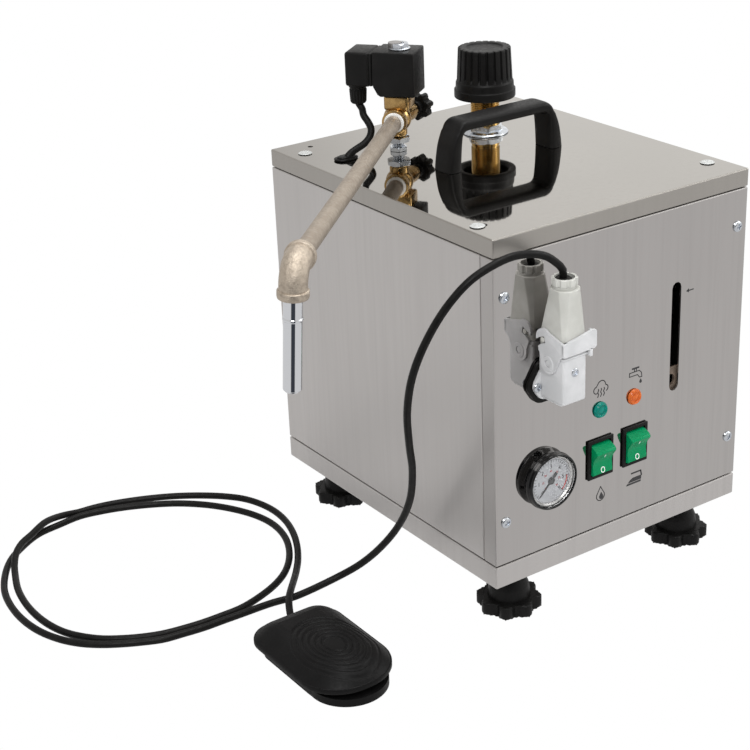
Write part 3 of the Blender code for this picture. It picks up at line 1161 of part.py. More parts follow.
def lamps():
    """Two signal lamps: a lens with a shallow dish, on a body through the panel."""
    for name, look in (("lamp_green", LAMP_GREEN_FINISH), ("lamp_orange", LAMP_ORANGE_FINISH)):
        x, z = LAMP_PLACES[name]
        dish = LAMP_PROUD - LAMP_DISH_DEPTH
        profile = [(0, dish), (LAMP_DISH - LAMP_DISH_DEPTH, dish), (LAMP_DISH, LAMP_PROUD),
                   (LAMP_RADIUS - LAMP_DISH_DEPTH, LAMP_PROUD), (LAMP_RADIUS, dish), (LAMP_RADIUS, GAP),
                   (LAMP_BODY, GAP),
                   (LAMP_BODY, -LAMP_DEPTH), (0, -LAMP_DEPTH)]
        turned(name, profile, look, MACHINE, (x, FRONT, z), TO_FRONT, steps=16)


def rockers():
    """Two rocker switches: a snap-in frame with its terminals, and the rocker that tilts in it."""
    for side, x in ROCKER_PLACES.items():
        place = (x, FRONT, ROCKER_Z)
        frame = block("rocker_frame_" + side, (-BEZEL_WIDTH / 2, -BEZEL_PROUD, -BEZEL_HEIGHT / 2),
                      (BEZEL_WIDTH / 2, -GAP, BEZEL_HEIGHT / 2), BLACK_PLASTIC, MACHINE, place)
        rounded(frame, BEZEL_EDGE, 1)
        body = block(f"switch_body_{side}",
                     (-SWITCH_BODY_WIDTH / 2, -BEZEL_PROUD / 2, -SWITCH_BODY_HEIGHT / 2),
                     (SWITCH_BODY_WIDTH / 2, SWITCH_BODY_DEPTH, SWITCH_BODY_HEIGHT / 2), None, MACHINE, place)
        join(frame, body)
        for number, rise in enumerate((-1, 0, 1)):
            middle = rise * SWITCH_BODY_HEIGHT / 3
            join(frame, block(f"switch_tab_{side}_{number}",
                              (-TAB_WIDTH / 2, SWITCH_BODY_DEPTH - OVERRUN, middle - TAB_THICK / 2),
                              (TAB_WIDTH / 2, SWITCH_BODY_DEPTH + TAB_LENGTH, middle + TAB_THICK / 2),
                              None, MACHINE, place))
        half_width = ROCKER_WIDTH / 2 + GAP
        cut(frame, block(f"rocker_pocket_{side}", (-half_width, -BEZEL_PROUD - OVERRUN, -ROCKER_OPENING / 2),
                         (half_width, ROCKER_POCKET, ROCKER_OPENING / 2), None, MACHINE, place))

        tip = ROCKER_HALF - (ROCKER_CROWN + ROCKER_PIVOT) / 8
        half = [(tip, ROCKER_CROWN), (ROCKER_HALF - GAP, 0), (ROCKER_HALF, -ROCKER_PIVOT),
                (ROCKER_HALF * 0.65, -ROCKER_KEEL)]
        dip = [(tip * share, ROCKER_SADDLE + (ROCKER_CROWN - ROCKER_SADDLE) * share ** 2)
               for share in ROCKER_FACE_SHARES]
        upper = list(reversed(half)) + list(reversed(dip))
        lower = [(-z, rise) for z, rise in dip] + [(-z, rise) for z, rise in half]
        outline = [(rise + ROCKER_PIVOT, z) for z, rise in upper + [(0, ROCKER_SADDLE)] + lower]
        axis = empty(f"rocker_axis_{side}", MACHINE, (x, FRONT + ROCKER_PIVOT, ROCKER_Z), (ROCKER_TILT, 0, 0))
        rocker = plate("rocker_" + side, [(-out, z) for out, z in outline], ROCKER_WIDTH, GREEN, axis,
                       (-ROCKER_WIDTH / 2, 0, 0), (math.radians(90), 0, math.radians(90)))
        rounded(rocker, BEZEL_EDGE, 1, 40)


def sight_glass():
    """The level glass behind the slot, between two blocks on pipes from the boiler."""
    x = SLOT_X
    y = FRONT + SIGHT_BACK
    low = SLOT_LOW - SIGHT_MARGIN
    top = SLOT_TOP + SIGHT_MARGIN
    turned("sight_tube", [(SIGHT_BORE, top + SIGHT_CUP), (SIGHT_RADIUS, top + SIGHT_CUP),
                          (SIGHT_RADIUS, low - SIGHT_CUP), (SIGHT_BORE, low - SIGHT_CUP)],
           CLEAR, MACHINE, (x, y, 0), steps=12, closed=True)
    span = (x - BOILER_PLACE[0]) / (BOILER_RADIUS + GAP)
    shell = BOILER_PLACE[1] - (BOILER_RADIUS + GAP) * math.sqrt(1 - span ** 2)
    half = SIGHT_BLOCK / 2
    for name, edge, way in (("sight_fitting_low", low, -1), ("sight_fitting_top", top, 1)):
        near, far = sorted((edge, edge + way * SIGHT_BLOCK_HEIGHT))
        fitting = block(name, (-half, -half, near), (half, half, far), BRASS, MACHINE, (x, y, 0))
        rounded(fitting, SIGHT_BLOCK / 10, 1)
        middle = (near + far) / 2
        arm = rod(name + "_arm", SIGHT_ARM, half - OVERRUN, shell - y + SIGHT_BLOCK, None, MACHINE,
                  (x, y, middle), (math.radians(-90), 0, 0), sides=10)
        join(fitting, arm)
        cup_near, cup_far = sorted((edge - way * OVERRUN, edge + way * (SIGHT_CUP + GAP)))
        cut(fitting, rod(name + "_cup", SIGHT_RADIUS + GAP, cup_near, cup_far, None, MACHINE, (x, y, 0),
                         sides=16),
            rod(name + "_clearance", BOILER_RADIUS + GAP, BOILER_LOW - OVERRUN, BOILER_TOP, None, MACHINE,
                (*BOILER_PLACE, 0), sides=40))


def flange_outline(border):
    """The housing's six-sided foot, or its gasket where a border is added."""
    tall = FLANGE_TOP - FLANGE_LOW
    middle = FLANGE_MIDDLE - FLANGE_LOW - tall / 2
    top = tall / 2 + border
    low = -tall / 2 - border
    slope = border / 2
    return [(-FLANGE_HALF - border, middle), (-FLANGE_SHOULDER_LOW - slope, low),
            (FLANGE_SHOULDER_LOW + slope, low), (FLANGE_HALF + border, middle),
            (FLANGE_SHOULDER_TOP + slope, top), (-FLANGE_SHOULDER_TOP - slope, top)]


def connector():
    """The panel housing on its gasket, the hood that plugs into it, and the lever that locks them."""
    centre = (FLANGE_TOP + FLANGE_LOW) / 2
    gasket = plate("connector_gasket", flange_outline(GASKET_BORDER), GASKET_THICK - GAP, BLACK_RUBBER,
                   MACHINE, (CONNECTOR_X, FRONT - GAP, centre), TO_FRONT)
    rounded(gasket, GASKET_THICK / 5, 1, 50)
    cut(gasket, rod("gasket_hole", PANEL_PASSAGE, -OVERRUN, GASKET_THICK + OVERRUN, None, MACHINE,
                    (CONNECTOR_X, FRONT, FLANGE_MIDDLE), TO_FRONT))
    half = HOUSING_WIDTH / 2
    housing = block("connector_housing", (-half, -HOUSING_FRONT, HOUSING_LOW),
                    (half, -HOUSING_BACK + GAP, HOUSING_TOP), GREY_PLASTIC, MACHINE, (CONNECTOR_X, FRONT, 0))
    rounded(housing, HOUSING_EDGE, 1)
    flange = plate("housing_flange", flange_outline(0), FLANGE_THICK, None, MACHINE,
                   (CONNECTOR_X, FRONT - GASKET_THICK - GAP, centre), TO_FRONT)
    rounded(flange, FLANGE_THICK / 5, 1, 50)
    join(housing, flange)
    cut(housing, block("housing_well", (-half + HOUSING_WALL, -HOUSING_FRONT + HOUSING_WALL,
                                        HOUSING_TOP - HOUSING_WELL),
                       (half - HOUSING_WALL, -HOUSING_BACK - HOUSING_WALL, HOUSING_TOP + OVERRUN), None,
                       MACHINE, (CONNECTOR_X, FRONT, 0)))
    for side in (-1, 1):
        turn = (0, side * math.radians(90), 0)
        join(housing, rod(f"lever_pin_{side}", LEVER_PIN, half - OVERRUN, half + GAP + LEVER_PLATE, None,
                          MACHINE, (CONNECTOR_X, FRONT - LEVER_DEPTH, LEVER_RISE), turn, sides=8))

    hood()
    lever(half)


def hood():
    """A tapered hood whose corners open into facets, with a notched collar that the cord comes out of."""
    half = HOUSING_WIDTH / 2
    low_rings = [(HOOD_LOW, half, HOUSING_BACK, HOUSING_FRONT, HOUSING_EDGE),
                 (HOOD_LOW + HOOD_STRAIGHT, half, HOUSING_BACK, HOUSING_FRONT, HOUSING_EDGE),
                 (HOOD_TOP, HOOD_TOP_WIDTH / 2, HOOD_TOP_BACK, HOOD_TOP_FRONT, HOOD_FACET)]
    shape = bmesh.new()
    rings = []
    for height, wide, back, front, facet in low_rings:
        corners = [(-wide + facet, -back), (-wide, -back - facet), (-wide, -front + facet),
                   (-wide + facet, -front), (wide - facet, -front), (wide, -front + facet),
                   (wide, -back - facet), (wide - facet, -back)]
        rings.append([shape.verts.new((x, y, height)) for x, y in corners])
    for lower, upper in zip(rings, rings[1:]):
        for index, vertex in enumerate(lower):
            after = (index + 1) % len(lower)
            shape.faces.new((vertex, lower[after], upper[after], upper[index]))
    shape.faces.new(rings[0])
    shape.faces.new(rings[-1])
    made = put("connector_hood", fused(shape, "connector_hood"), GREY_PLASTIC, MACHINE,
               (CONNECTOR_X, FRONT, 0))
    rounded(made, HOUSING_EDGE / 2, 1, 50)
    collar_place = (CONNECTOR_X, FRONT - cord_depth(), 0)
    neck = rod("hood_neck", HOOD_NECK, HOOD_TOP - OVERRUN, HOOD_TOP + HOOD_NECK_HEIGHT + GAP, None, MACHINE,
               collar_place)
    collar = rod("hood_collar", HOOD_COLLAR, HOOD_TOP + HOOD_NECK_HEIGHT, HOOD_COLLAR_TOP, None, MACHINE,
                 collar_place, sides=20)
    rounded(collar, COLLAR_NOTCH_DEEP / 3, 1)
    for number in range(COLLAR_NOTCHES):
        cut(collar, block(f"collar_notch_{number}",
                          (HOOD_COLLAR - COLLAR_NOTCH_DEEP, -COLLAR_NOTCH_WIDE / 2, 0),
                          (HOOD_COLLAR + OVERRUN, COLLAR_NOTCH_WIDE / 2, HOOD_COLLAR_TOP + OVERRUN), None,
                          MACHINE, collar_place, (0, 0, TURN * number / COLLAR_NOTCHES)))
    join(made, neck, collar)
    cut(made, rod("hood_bore", HOOD_BORE, HOOD_COLLAR_TOP - HOOD_SPIGOT, HOOD_COLLAR_TOP + OVERRUN, None,
                  MACHINE, collar_place, sides=16))
    for side in (-1, 1):
        join(made, rod(f"hood_peg_{side}", PEG_RADIUS, half - OVERRUN, half + PEG_OUT, None, MACHINE,
                       (CONNECTOR_X, FRONT - PEG_DEPTH, PEG_RISE), (0, side * math.radians(90), 0), sides=8))


def cord_depth():
    """How far in front of the panel the cord comes up out of the hood."""
    return (HOOD_TOP_BACK + HOOD_TOP_FRONT) / 2


def lever(half):
    """The locking lever: two cheeks with hooked slots for the hood's pegs, joined by a front band."""
    peg = Vector((LEVER_DEPTH - PEG_DEPTH, PEG_RISE - LEVER_RISE))
    reach = HOUSING_FRONT + GAP - LEVER_DEPTH
    band_low = LEVER_BAND_LOW
    band_top = LEVER_BAND_TOP
    hook = LEVER_HOOK_TOP
    cheek = arc((0, 0), LEVER_DISC, 165, 350, 7)
    cheek += [(reach, band_low), (reach + LEVER_BAND, band_low), (reach + LEVER_BAND, band_top),
              (reach - LEVER_BAND / 2, band_top), (reach * 0.45, band_top - LEVER_BAND)]
    cheek += arc((-peg.x, peg.y + LEVER_BAND), hook - peg.y - LEVER_BAND, 60, 205, 6)
    axis = empty("lever_axis", MACHINE, (CONNECTOR_X, FRONT - LEVER_DEPTH, LEVER_RISE))
    inner = half + GAP
    width = 2 * (inner + LEVER_PLATE)
    side_on = (math.radians(90), 0, math.radians(-90))
    made = plate("locking_lever", cheek, width, GREY_PLASTIC, axis, (width / 2, 0, 0), side_on)
    gape = hook + OVERRUN
    cut(made, block("lever_gape", (-inner, -reach, -gape), (inner, gape, gape), None, axis),
        rod("lever_bore", LEVER_PIN + GAP, -width, width, None, axis, (0, 0, 0), (0, math.radians(90), 0)))
    run = peg.length
    start = math.degrees(math.atan2(peg.y, -peg.x))
    wide = PEG_RADIUS + LEVER_SLOT_CLEAR
    slot = arc((0, 0), run + wide, start - LEVER_SLOT_START, start + LEVER_SLOT_END, 6)
    slot += list(reversed(arc((0, 0), run - wide, start - LEVER_SLOT_START, start + LEVER_SLOT_END, 6)))
    cut(made, plate("lever_slot", slot, width + 2 * OVERRUN, None, axis, (width / 2 + OVERRUN, 0, 0),
                    side_on))


def boiler():
    """The pressure vessel on its skirt, its element, its pressure switch, and the mains gland."""
    place = (*BOILER_PLACE, 0)
    top_flat = BOILER_TOP - BOILER_DOME
    low_flat = BOILER_LOW + BOILER_DOME
    outer = dome_profile(BOILER_RADIUS, BOILER_DOME, top_flat, low_flat)
    inner = dome_profile(BOILER_RADIUS - BOILER_WALL, BOILER_DOME - BOILER_WALL / 2,
                         top_flat - BOILER_WALL / 2, low_flat + BOILER_WALL / 2)
    shell = turned("boiler_shell", outer, BARE_STEEL, MACHINE, place, steps=24)
    bosses = {"neck_boss": (FILLER_PLACE, NECK_RADIUS, NECK_BORE),
              "nipple_boss": (VALVE_PLACE, NIPPLE_RADIUS, NIPPLE_BORE),
              "switch_boss": (PRESSURE_SWITCH_PLACE, PRESSURE_SWITCH_STEM, NIPPLE_BORE)}
    for name, (spot, radius, bore) in bosses.items():
        join(shell, rod(name, radius + BOSS_RIM, top_flat, BOSS_TOP, None, MACHINE, (*spot, 0)))
    join(shell, rod("element_boss", ELEMENT_FLANGE, BOILER_LOW - GAP, low_flat, None, MACHINE, place,
                    sides=20))
    skirt_top = BOILER_LOW + BOILER_DOME / 2
    skirt = turned("boiler_skirt", [(SKIRT_RADIUS - BOILER_WALL, skirt_top), (SKIRT_RADIUS, skirt_top),
                                    (SKIRT_RADIUS, TRAY_FLOOR + GAP),
                                    (SKIRT_RADIUS - BOILER_WALL, TRAY_FLOOR + GAP)],
                   None, MACHINE, place, steps=20, closed=True)
    for number in range(SKIRT_ARCHES):
        cut(skirt, rod(f"skirt_arch_{number}", SKIRT_ARCH, 0, SKIRT_RADIUS + OVERRUN, None, MACHINE,
                       (*BOILER_PLACE, TRAY_FLOOR - OVERRUN / 2),
                       (0, math.radians(90), TURN * number / SKIRT_ARCHES + TURN / 4), sides=10))
    join(shell, skirt)
    cut(shell, turned("boiler_hollow", inner, None, MACHINE, place, steps=16),
        rod("element_hole", ELEMENT_HOLE, BOILER_LOW - OVERRUN, BOILER_LOW + BOILER_DOME, None, MACHINE,
            place, sides=20))
    for name, (spot, radius, bore) in bosses.items():
        cut(shell, rod(name + "_bore", bore, top_flat - OVERRUN, BOSS_TOP + OVERRUN, None, MACHINE,
                       (*spot, 0)))

    flange_top = BOILER_LOW - 2 * GAP
    element = rod("heating_element", ELEMENT_FLANGE, flange_top - ELEMENT_FLANGE_THICK, flange_top, BRASS,
                  MACHINE, place, sides=20)
    loop_top = BOILER_LOW + ELEMENT_REACH
    for number, y in enumerate((-ELEMENT_SPREAD / 2, ELEMENT_SPREAD / 2)):
        legs = [(-ELEMENT_SPREAD, y, flange_top - ELEMENT_FLANGE_THICK / 2)]
        legs += [(x, y, z) for x, z in arc((0, loop_top - ELEMENT_SPREAD), ELEMENT_SPREAD, 180, 0, 6)]
        legs.append((ELEMENT_SPREAD, y, flange_top - ELEMENT_FLANGE_THICK / 2))
        join(element, put(f"element_loop_{number}", wire(f"element_loop_{number}", legs, ELEMENT_TUBE, 1),
                          None, MACHINE, place))

    stem_low = BOSS_TOP + GAP
    body_low = stem_low + PRESSURE_SWITCH_STEM_LENGTH
    body_top = body_low + PRESSURE_SWITCH_HEIGHT
    cap_top = body_top + PRESSURE_SWITCH_CAP_HEIGHT
    turned("pressure_switch", [(0, cap_top), (PRESSURE_SWITCH_CAP, cap_top), (PRESSURE_SWITCH_CAP, body_top),
                               (PRESSURE_SWITCH_RADIUS, body_top), (PRESSURE_SWITCH_RADIUS, body_low),
                               (PRESSURE_SWITCH_STEM, body_low), (PRESSURE_SWITCH_STEM, stem_low),
                               (0, stem_low)],
           ZINC, MACHINE, (*PRESSURE_SWITCH_PLACE, 0), steps=16)

    to_rear = (math.radians(-90), 0, 0)
    spot = (MAINS_PLACE[0], REAR, MAINS_PLACE[1])
    gland = turned("mains_gland", [(MAINS_BORE, MAINS_NOSE), (MAINS_NOSE_TIP, MAINS_NOSE),
                                   (MAINS_RADIUS, MAINS_FLANGE), (MAINS_RADIUS, GAP), (MAINS_THREAD, GAP),
                                   (MAINS_THREAD, -MAINS_TAIL), (MAINS_BORE, -MAINS_TAIL)],
                   BLACK_PLASTIC, MACHINE, spot, to_rear, 16, True)
    nut = rod("mains_nut", MAINS_NUT_RADIUS, -SHEET - GAP - MAINS_NUT, -SHEET - GAP, None, MACHINE, spot,
              to_rear, sides=6)
    cut(nut, rod("mains_nut_bore", (MAINS_THREAD + MAINS_BORE) / 2, -MAINS_TAIL - OVERRUN, OVERRUN, None,
                 MACHINE, spot, to_rear))
    join(gland, nut)


def dome_profile(radius, dome, top_flat, low_flat):
    """The outer side of a vessel with dished ends, from its top down."""
    count = 3
    angles = [math.pi / 2 * index / count for index in range(count + 1)]
    top = [(radius * math.sin(angle), top_flat + dome * math.cos(angle)) for angle in angles]
    low = [(reach, low_flat - (height - top_flat)) for reach, height in reversed(top)]
    top[0] = (0, top_flat + dome)
    low[-1] = (0, low_flat - dome)
    return top + low


def pedal_outline(inset):
    """The pedal's plan: round at the toe, with a rounded heel, drawn in by inset."""
    half = PEDAL_WIDTH / 2
    toe = PEDAL_FRONT_ROUND
    heel = PEDAL_REAR_ROUND
    outline = []
    corners = [(half - toe, PEDAL_FRONT + toe, toe, -90), (half - heel, PEDAL_REAR - heel, heel, 0),
               (-half + heel, PEDAL_REAR - heel, heel, 90), (-half + toe, PEDAL_FRONT + toe, toe, 180)]
    for x, y, radius, start in corners:
        outline += arc((PEDAL_X + x, y), radius - inset, start, start + 90, 4)
    return outline


def pedal_ring(inset, height):
    return [Vector((x, y, height)) for x, y in pedal_outline(inset)]


def loft(name, rings, look, parent, place=(0, 0, 0)):
    """A closed body through rings of equal counts, capped at both ends."""
    shape = bmesh.new()
    made = [[shape.verts.new(point) for point in ring] for ring in rings]
    for lower, upper in zip(made, made[1:]):
        for index, vertex in enumerate(lower):
            after = (index + 1) % len(lower)
            shape.faces.new((vertex, lower[after], upper[after], upper[index]))
    shape.faces.new(made[0])
    shape.faces.new(made[-1])
    return put(name, fused(shape, name), look, parent, place)


def pedal():
    """The foot pedal: a base with the hinge ears and the switch, and a domed cover that tips on them."""
    lip = plate("pedal_base", [(PEDAL_LIP_X + x, PEDAL_LIP_Y + y)
                               for x, y in arc((0, 0), PEDAL_LIP_RADIUS, 0, 340, 17)],
                PEDAL_LIP_HEIGHT, BLACK_PLASTIC, MACHINE)
    inset = PEDAL_WALL + PEDAL_BASE_INSET + 2 * GAP
    lip_well = plate("lip_well", [(PEDAL_LIP_X + x, PEDAL_LIP_Y + y)
                                  for x, y in arc((0, 0), PEDAL_LIP_RADIUS - 2 * PEDAL_WALL, 0, 340, 17)],
                     PEDAL_LIP_HEIGHT + OVERRUN, None, MACHINE, (0, 0, PEDAL_FLOOR))
    cut(lip, lip_well)
    join(lip, plate("base_wall", pedal_outline(inset), PEDAL_BASE_WALL, None, MACHINE))
    cut(lip, plate("base_well", pedal_outline(inset + PEDAL_WALL), PEDAL_BASE_WALL + OVERRUN, None, MACHINE,
                   (0, 0, PEDAL_FLOOR)))
    for side in (-1, 1):
        ear_x = PEDAL_X + side * HINGE_EAR_X
        ear = rod(f"hinge_ear_{side}", HINGE_EAR_RADIUS, -HINGE_EAR / 2, HINGE_EAR / 2, None, MACHINE,
                  (ear_x, HINGE_Y, HINGE_Z), (0, math.radians(90), 0), sides=10)
        stand = block(f"hinge_stand_{side}", (-HINGE_EAR / 2, -HINGE_EAR_RADIUS, PEDAL_FLOOR / 2),
                      (HINGE_EAR / 2, HINGE_EAR_RADIUS, HINGE_Z), None, MACHINE, (ear_x, HINGE_Y, 0))
        join(lip, ear, stand)
    pin_reach = HINGE_EAR_X + HINGE_EAR / 2 + 2 * HINGE_EAR
    for side in (-1, 1):
        low, high = sorted((side * HINGE_EAR_X, side * pin_reach))
        join(lip, rod(f"hinge_pin_{side}", HINGE_PIN, low, high, None, MACHINE, (PEDAL_X, HINGE_Y, HINGE_Z),
                      (0, math.radians(90), 0), sides=8))
    gland = block("cord_clamp", (-2 * CORD_RADIUS, PEDAL_REAR - 2 * PEDAL_REAR_ROUND / 3, PEDAL_FLOOR / 2),
                  (2 * CORD_RADIUS, PEDAL_REAR - PEDAL_WALL - PEDAL_BASE_INSET - GAP,
                   PEDAL_CORD_Z + 2 * CORD_RADIUS), None, MACHINE, (PEDAL_CORD_X, 0, 0))
    join(lip, rounded(gland, CORD_RADIUS / 3, 1))
    post = rod("spring_post", SPRING_POST_RADIUS, PEDAL_FLOOR / 2, PEDAL_FLOOR + SPRING_POST, None, MACHINE,
               (PEDAL_X, RETURN_SPRING_Y, 0), sides=12)
    join(lip, post)

    switch_low = PEDAL_FLOOR + GAP
    switch_top = switch_low + SWITCH_HEIGHT
    switch = block("pedal_switch", (-SWITCH_WIDTH / 2, -SWITCH_LENGTH / 2, switch_low),
                   (SWITCH_WIDTH / 2, SWITCH_LENGTH / 2, switch_top), BLACK_PLASTIC, MACHINE,
                   (PEDAL_X, SWITCH_Y, 0))
    cut(switch, rod("plunger_bore", PLUNGER_RADIUS + GAP, switch_top - PLUNGER_SINK - GAP,
                    switch_top + OVERRUN, None, MACHINE, (PEDAL_X, PLUNGER_Y, 0), sides=12))
    underside = cover_underside()
    plunger_top = underside - GAP
    plunger_low = switch_top - PLUNGER_SINK + plunger_travel() + GAP
    shade(rod("switch_plunger", PLUNGER_RADIUS, plunger_low, plunger_top, GREY_PLASTIC, MACHINE,
              (PEDAL_X, PLUNGER_Y, 0), sides=12))

    axis = (PEDAL_X, HINGE_Y, HINGE_Z)
    rise = PEDAL_TOP - PEDAL_SHOULDER
    rings = [pedal_ring(0, PEDAL_RIM), pedal_ring(0, PEDAL_SHOULDER - PEDAL_WALL)]
    for number in range(1, 4):
        angle = math.pi / 2 * number / 3
        share = 1 - math.cos(angle)
        rings.append(pedal_ring(share * PEDAL_REAR_ROUND * COVER_ROUND_SHARE,
                                PEDAL_SHOULDER + rise * math.sin(angle) * COVER_RISE_SHARE))
    rings.append(pedal_ring(PEDAL_REAR_ROUND * COVER_CROWN_SHARE, PEDAL_TOP))
    rings = [[point - Vector(axis) for point in ring] for ring in rings]
    cover = loft("pedal_cover", rings, BLACK_PLASTIC, MACHINE, axis)
    crown_inset = PEDAL_WALL + PEDAL_REAR_ROUND * COVER_ROUND_SHARE
    hollow = loft("cover_hollow", [pedal_ring(PEDAL_WALL, PEDAL_RIM - OVERRUN),
                                   pedal_ring(PEDAL_WALL, PEDAL_SHOULDER),
                                   pedal_ring(crown_inset, underside)], None, MACHINE)
    cut(cover, hollow)
    for side in (-1, 1):
        near = HINGE_EAR_X + HINGE_EAR / 2 + GAP
        far = near + HINGE_EAR
        low, high = sorted((side * near, side * far))
        ear_top = underside - PEDAL_WALL / 3 - HINGE_Z
        join(cover, block(f"cover_ear_{side}", (low, -HINGE_EAR_RADIUS, -HINGE_EAR_RADIUS),
                          (high, HINGE_EAR_RADIUS, ear_top), None, MACHINE, axis))
        cut(cover, rod(f"cover_eye_{side}", HINGE_PIN + GAP, *sorted((side * (near - GAP / 2),
                                                                      side * (pin_reach + GAP))),
                       None, MACHINE, axis, (0, math.radians(90), 0), sides=8))
    for number in range(PEDAL_GRIP_RINGS):
        cut(cover, grip_groove(number))

    turns = coil_points(RETURN_SPRING_RADIUS, PEDAL_FLOOR + GAP, underside - GAP, RETURN_SPRING_WIRE,
                        RETURN_SPRING_TURNS)
    put("pedal_spring", wire("pedal_spring", turns, RETURN_SPRING_WIRE, 0), BARE_STEEL, MACHINE,
        (PEDAL_X, RETURN_SPRING_Y, 0))


def cover_underside():
    return PEDAL_TOP - PEDAL_WALL


def plunger_travel():
    """How far the cover's underside goes down at the plunger over the pedal's swing."""
    return (HINGE_Y - PLUNGER_Y) * math.tan(PEDAL_SWING)


def grip_groove(number):
    """One oval groove of the grip pattern, as a ring-shaped cutter."""
    reach = PEDAL_GRIP_FIRST + PEDAL_GRIP_STEP * number
    low = PEDAL_TOP - PEDAL_GRIP_DEEP
    ring = turned(f"grip_{number}", [(reach, OVERRUN), (reach + PEDAL_GRIP_WIDE, OVERRUN),
                                     (reach + PEDAL_GRIP_WIDE, 0), (reach, 0)],
                  None, MACHINE, (PEDAL_GRIP_X, PEDAL_GRIP_Y, low), steps=18, closed=True)
    ring.scale = (1, PEDAL_GRIP_STRETCH_SHARE, 1)
    return ring


def cord_points():
    """The pedal cord: up out of the hood, over and down beside the case, round twice, to the pedal."""
    exit_x = CONNECTOR_X
    exit_y = FRONT - cord_depth()
    start = HOOD_COLLAR_TOP - HOOD_SPIGOT + GAP
    floor = CORD_RADIUS + GAP / 3
    knots = [(exit_x, exit_y, start), (exit_x, exit_y, start + 2 * CORD_RADIUS),
             (exit_x, exit_y, HOOD_COLLAR_TOP - CORD_RADIUS), *CORD_HANGS]
    knots += [(x, y, floor + z) for x, y, z in CORD_LIES]
    end_y = PEDAL_REAR - PEDAL_WALL - PEDAL_BASE_INSET
    knots += [(PEDAL_CORD_X, end_y + CORD_END_RUN, PEDAL_CORD_Z), (PEDAL_CORD_X, end_y, PEDAL_CORD_Z)]
    path = [Vector((x, y, max(z, floor))) for x, y, z in smooth_path(knots, CORD_FINE_STEP)]
    arch = CORD_ARCH_POINTS * 2
    rest = path[arch:]
    count = round((len(rest) - 1) * CORD_FINE_STEP / CORD_STEP)
    lying = [rest[round((len(rest) - 1) * index / count)] for index in range(count)]
    return path[:arch:2] + lying + [Vector(knot) for knot in knots[-2:]]


def cord():
    points = cord_points()
    length = sum((after - before).length for before, after in zip(points, points[1:]))
    print(f"pedal cord: {length:.3f} m in {len(points)} points, closest to itself {closest(points):.4f} m")
    put("pedal_cord", wire("pedal_cord", points, CORD_RADIUS, 1), BLACK_RUBBER, MACHINE)


def closest(points):
    """The least gap between stretches of the cord that aren't next to each other."""
    least = 1.0
    for first, before in enumerate(zip(points, points[1:])):
        for after in list(zip(points, points[1:]))[first + 3:]:
            near = min((before[0].lerp(before[1], i / 4) - after[0].lerp(after[1], j / 4)).length
                       for i in range(5) for j in range(5))
            least = min(least, near - 2 * CORD_RADIUS)
    return least


def footprint_middle():
    """The middle of the floor area that all but the cord covers."""
    bpy.context.view_layer.update()
    graph = bpy.context.evaluated_depsgraph_get()
    corners = []
    for made in PARTS.objects:
        if made.type != "MESH" or made.name == "pedal_cord":
            continue
        solid = made.evaluated_get(graph)
        corners += [solid.matrix_world @ Vector(corner) for corner in solid.bound_box]
    middle = [(min(c[axis] for c in corners) + max(c[axis] for c in corners)) / 2 for axis in (0, 1)]
    return Vector((*middle, 0))


case()
feet()
carry_handle()
filler()
valve()
lead()
steam_line()
gauge()
lamps()
rockers()
sight_glass()
connector()
boiler()
pedal()
cord()
MACHINE.location = -footprint_middle()
bpy.context.view_layer.update()
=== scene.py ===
"""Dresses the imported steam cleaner: finer shapes, procedural finishes, a pale studio and the camera.

Sizes are in metres, in the frame's own axes. "Machine" places are measured from the middle of the
case on the floor, as in the source of the solids, and at() turns them into the frame's."""
import math

import bmesh
import bpy
from mathutils import Matrix, Vector


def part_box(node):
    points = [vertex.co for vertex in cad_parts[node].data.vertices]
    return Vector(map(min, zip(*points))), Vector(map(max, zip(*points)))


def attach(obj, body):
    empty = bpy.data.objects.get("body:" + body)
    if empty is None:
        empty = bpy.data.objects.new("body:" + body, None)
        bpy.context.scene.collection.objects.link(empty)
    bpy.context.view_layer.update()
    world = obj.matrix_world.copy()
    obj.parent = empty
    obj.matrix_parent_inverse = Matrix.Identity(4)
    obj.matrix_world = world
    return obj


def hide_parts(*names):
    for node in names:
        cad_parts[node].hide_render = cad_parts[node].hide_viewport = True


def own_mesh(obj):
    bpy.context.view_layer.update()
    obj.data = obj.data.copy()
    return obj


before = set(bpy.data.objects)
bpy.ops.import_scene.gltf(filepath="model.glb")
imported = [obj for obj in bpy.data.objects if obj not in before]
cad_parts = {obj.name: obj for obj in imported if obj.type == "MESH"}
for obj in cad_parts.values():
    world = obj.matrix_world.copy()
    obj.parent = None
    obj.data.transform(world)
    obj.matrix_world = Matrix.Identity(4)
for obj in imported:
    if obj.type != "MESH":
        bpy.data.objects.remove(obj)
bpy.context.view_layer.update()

TURN = 2 * math.pi
GAP = 0.0003

tray_low, tray_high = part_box("base_tray")
MIDDLE = Vector(((tray_low.x + tray_high.x) / 2, (tray_low.y + tray_high.y) / 2, 0))
FRONT = tray_low.y - MIDDLE.y
REAR = tray_high.y - MIDDLE.y
SIDE = tray_high.x - MIDDLE.x
FLOOR_GAP = tray_low.z
LID_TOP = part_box("lid")[1].z


def at(x, y, z=0.0):
    """A machine place in the frame's axes."""
    return MIDDLE + Vector((x, y, z))


def middle_of(node):
    """A node's middle, as a machine place."""
    low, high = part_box(node)
    return (Vector(low) + Vector(high)) / 2 - MIDDLE


def shown(name, data):
    """A new object in the scene."""
    made = bpy.data.objects.new(name, data)
    bpy.context.scene.collection.objects.link(made)
    return made


# Camera, at the photograph's place and angle
CAMERA_PLACE = (-0.8487, -1.0693, 0.7498)
CAMERA_HEADING = math.radians(33.769)
CAMERA_DROP = math.radians(24.088)
CAMERA_ROLL = math.radians(-2.459)
CAMERA_LENS = 82.83
SENSOR = 36.0

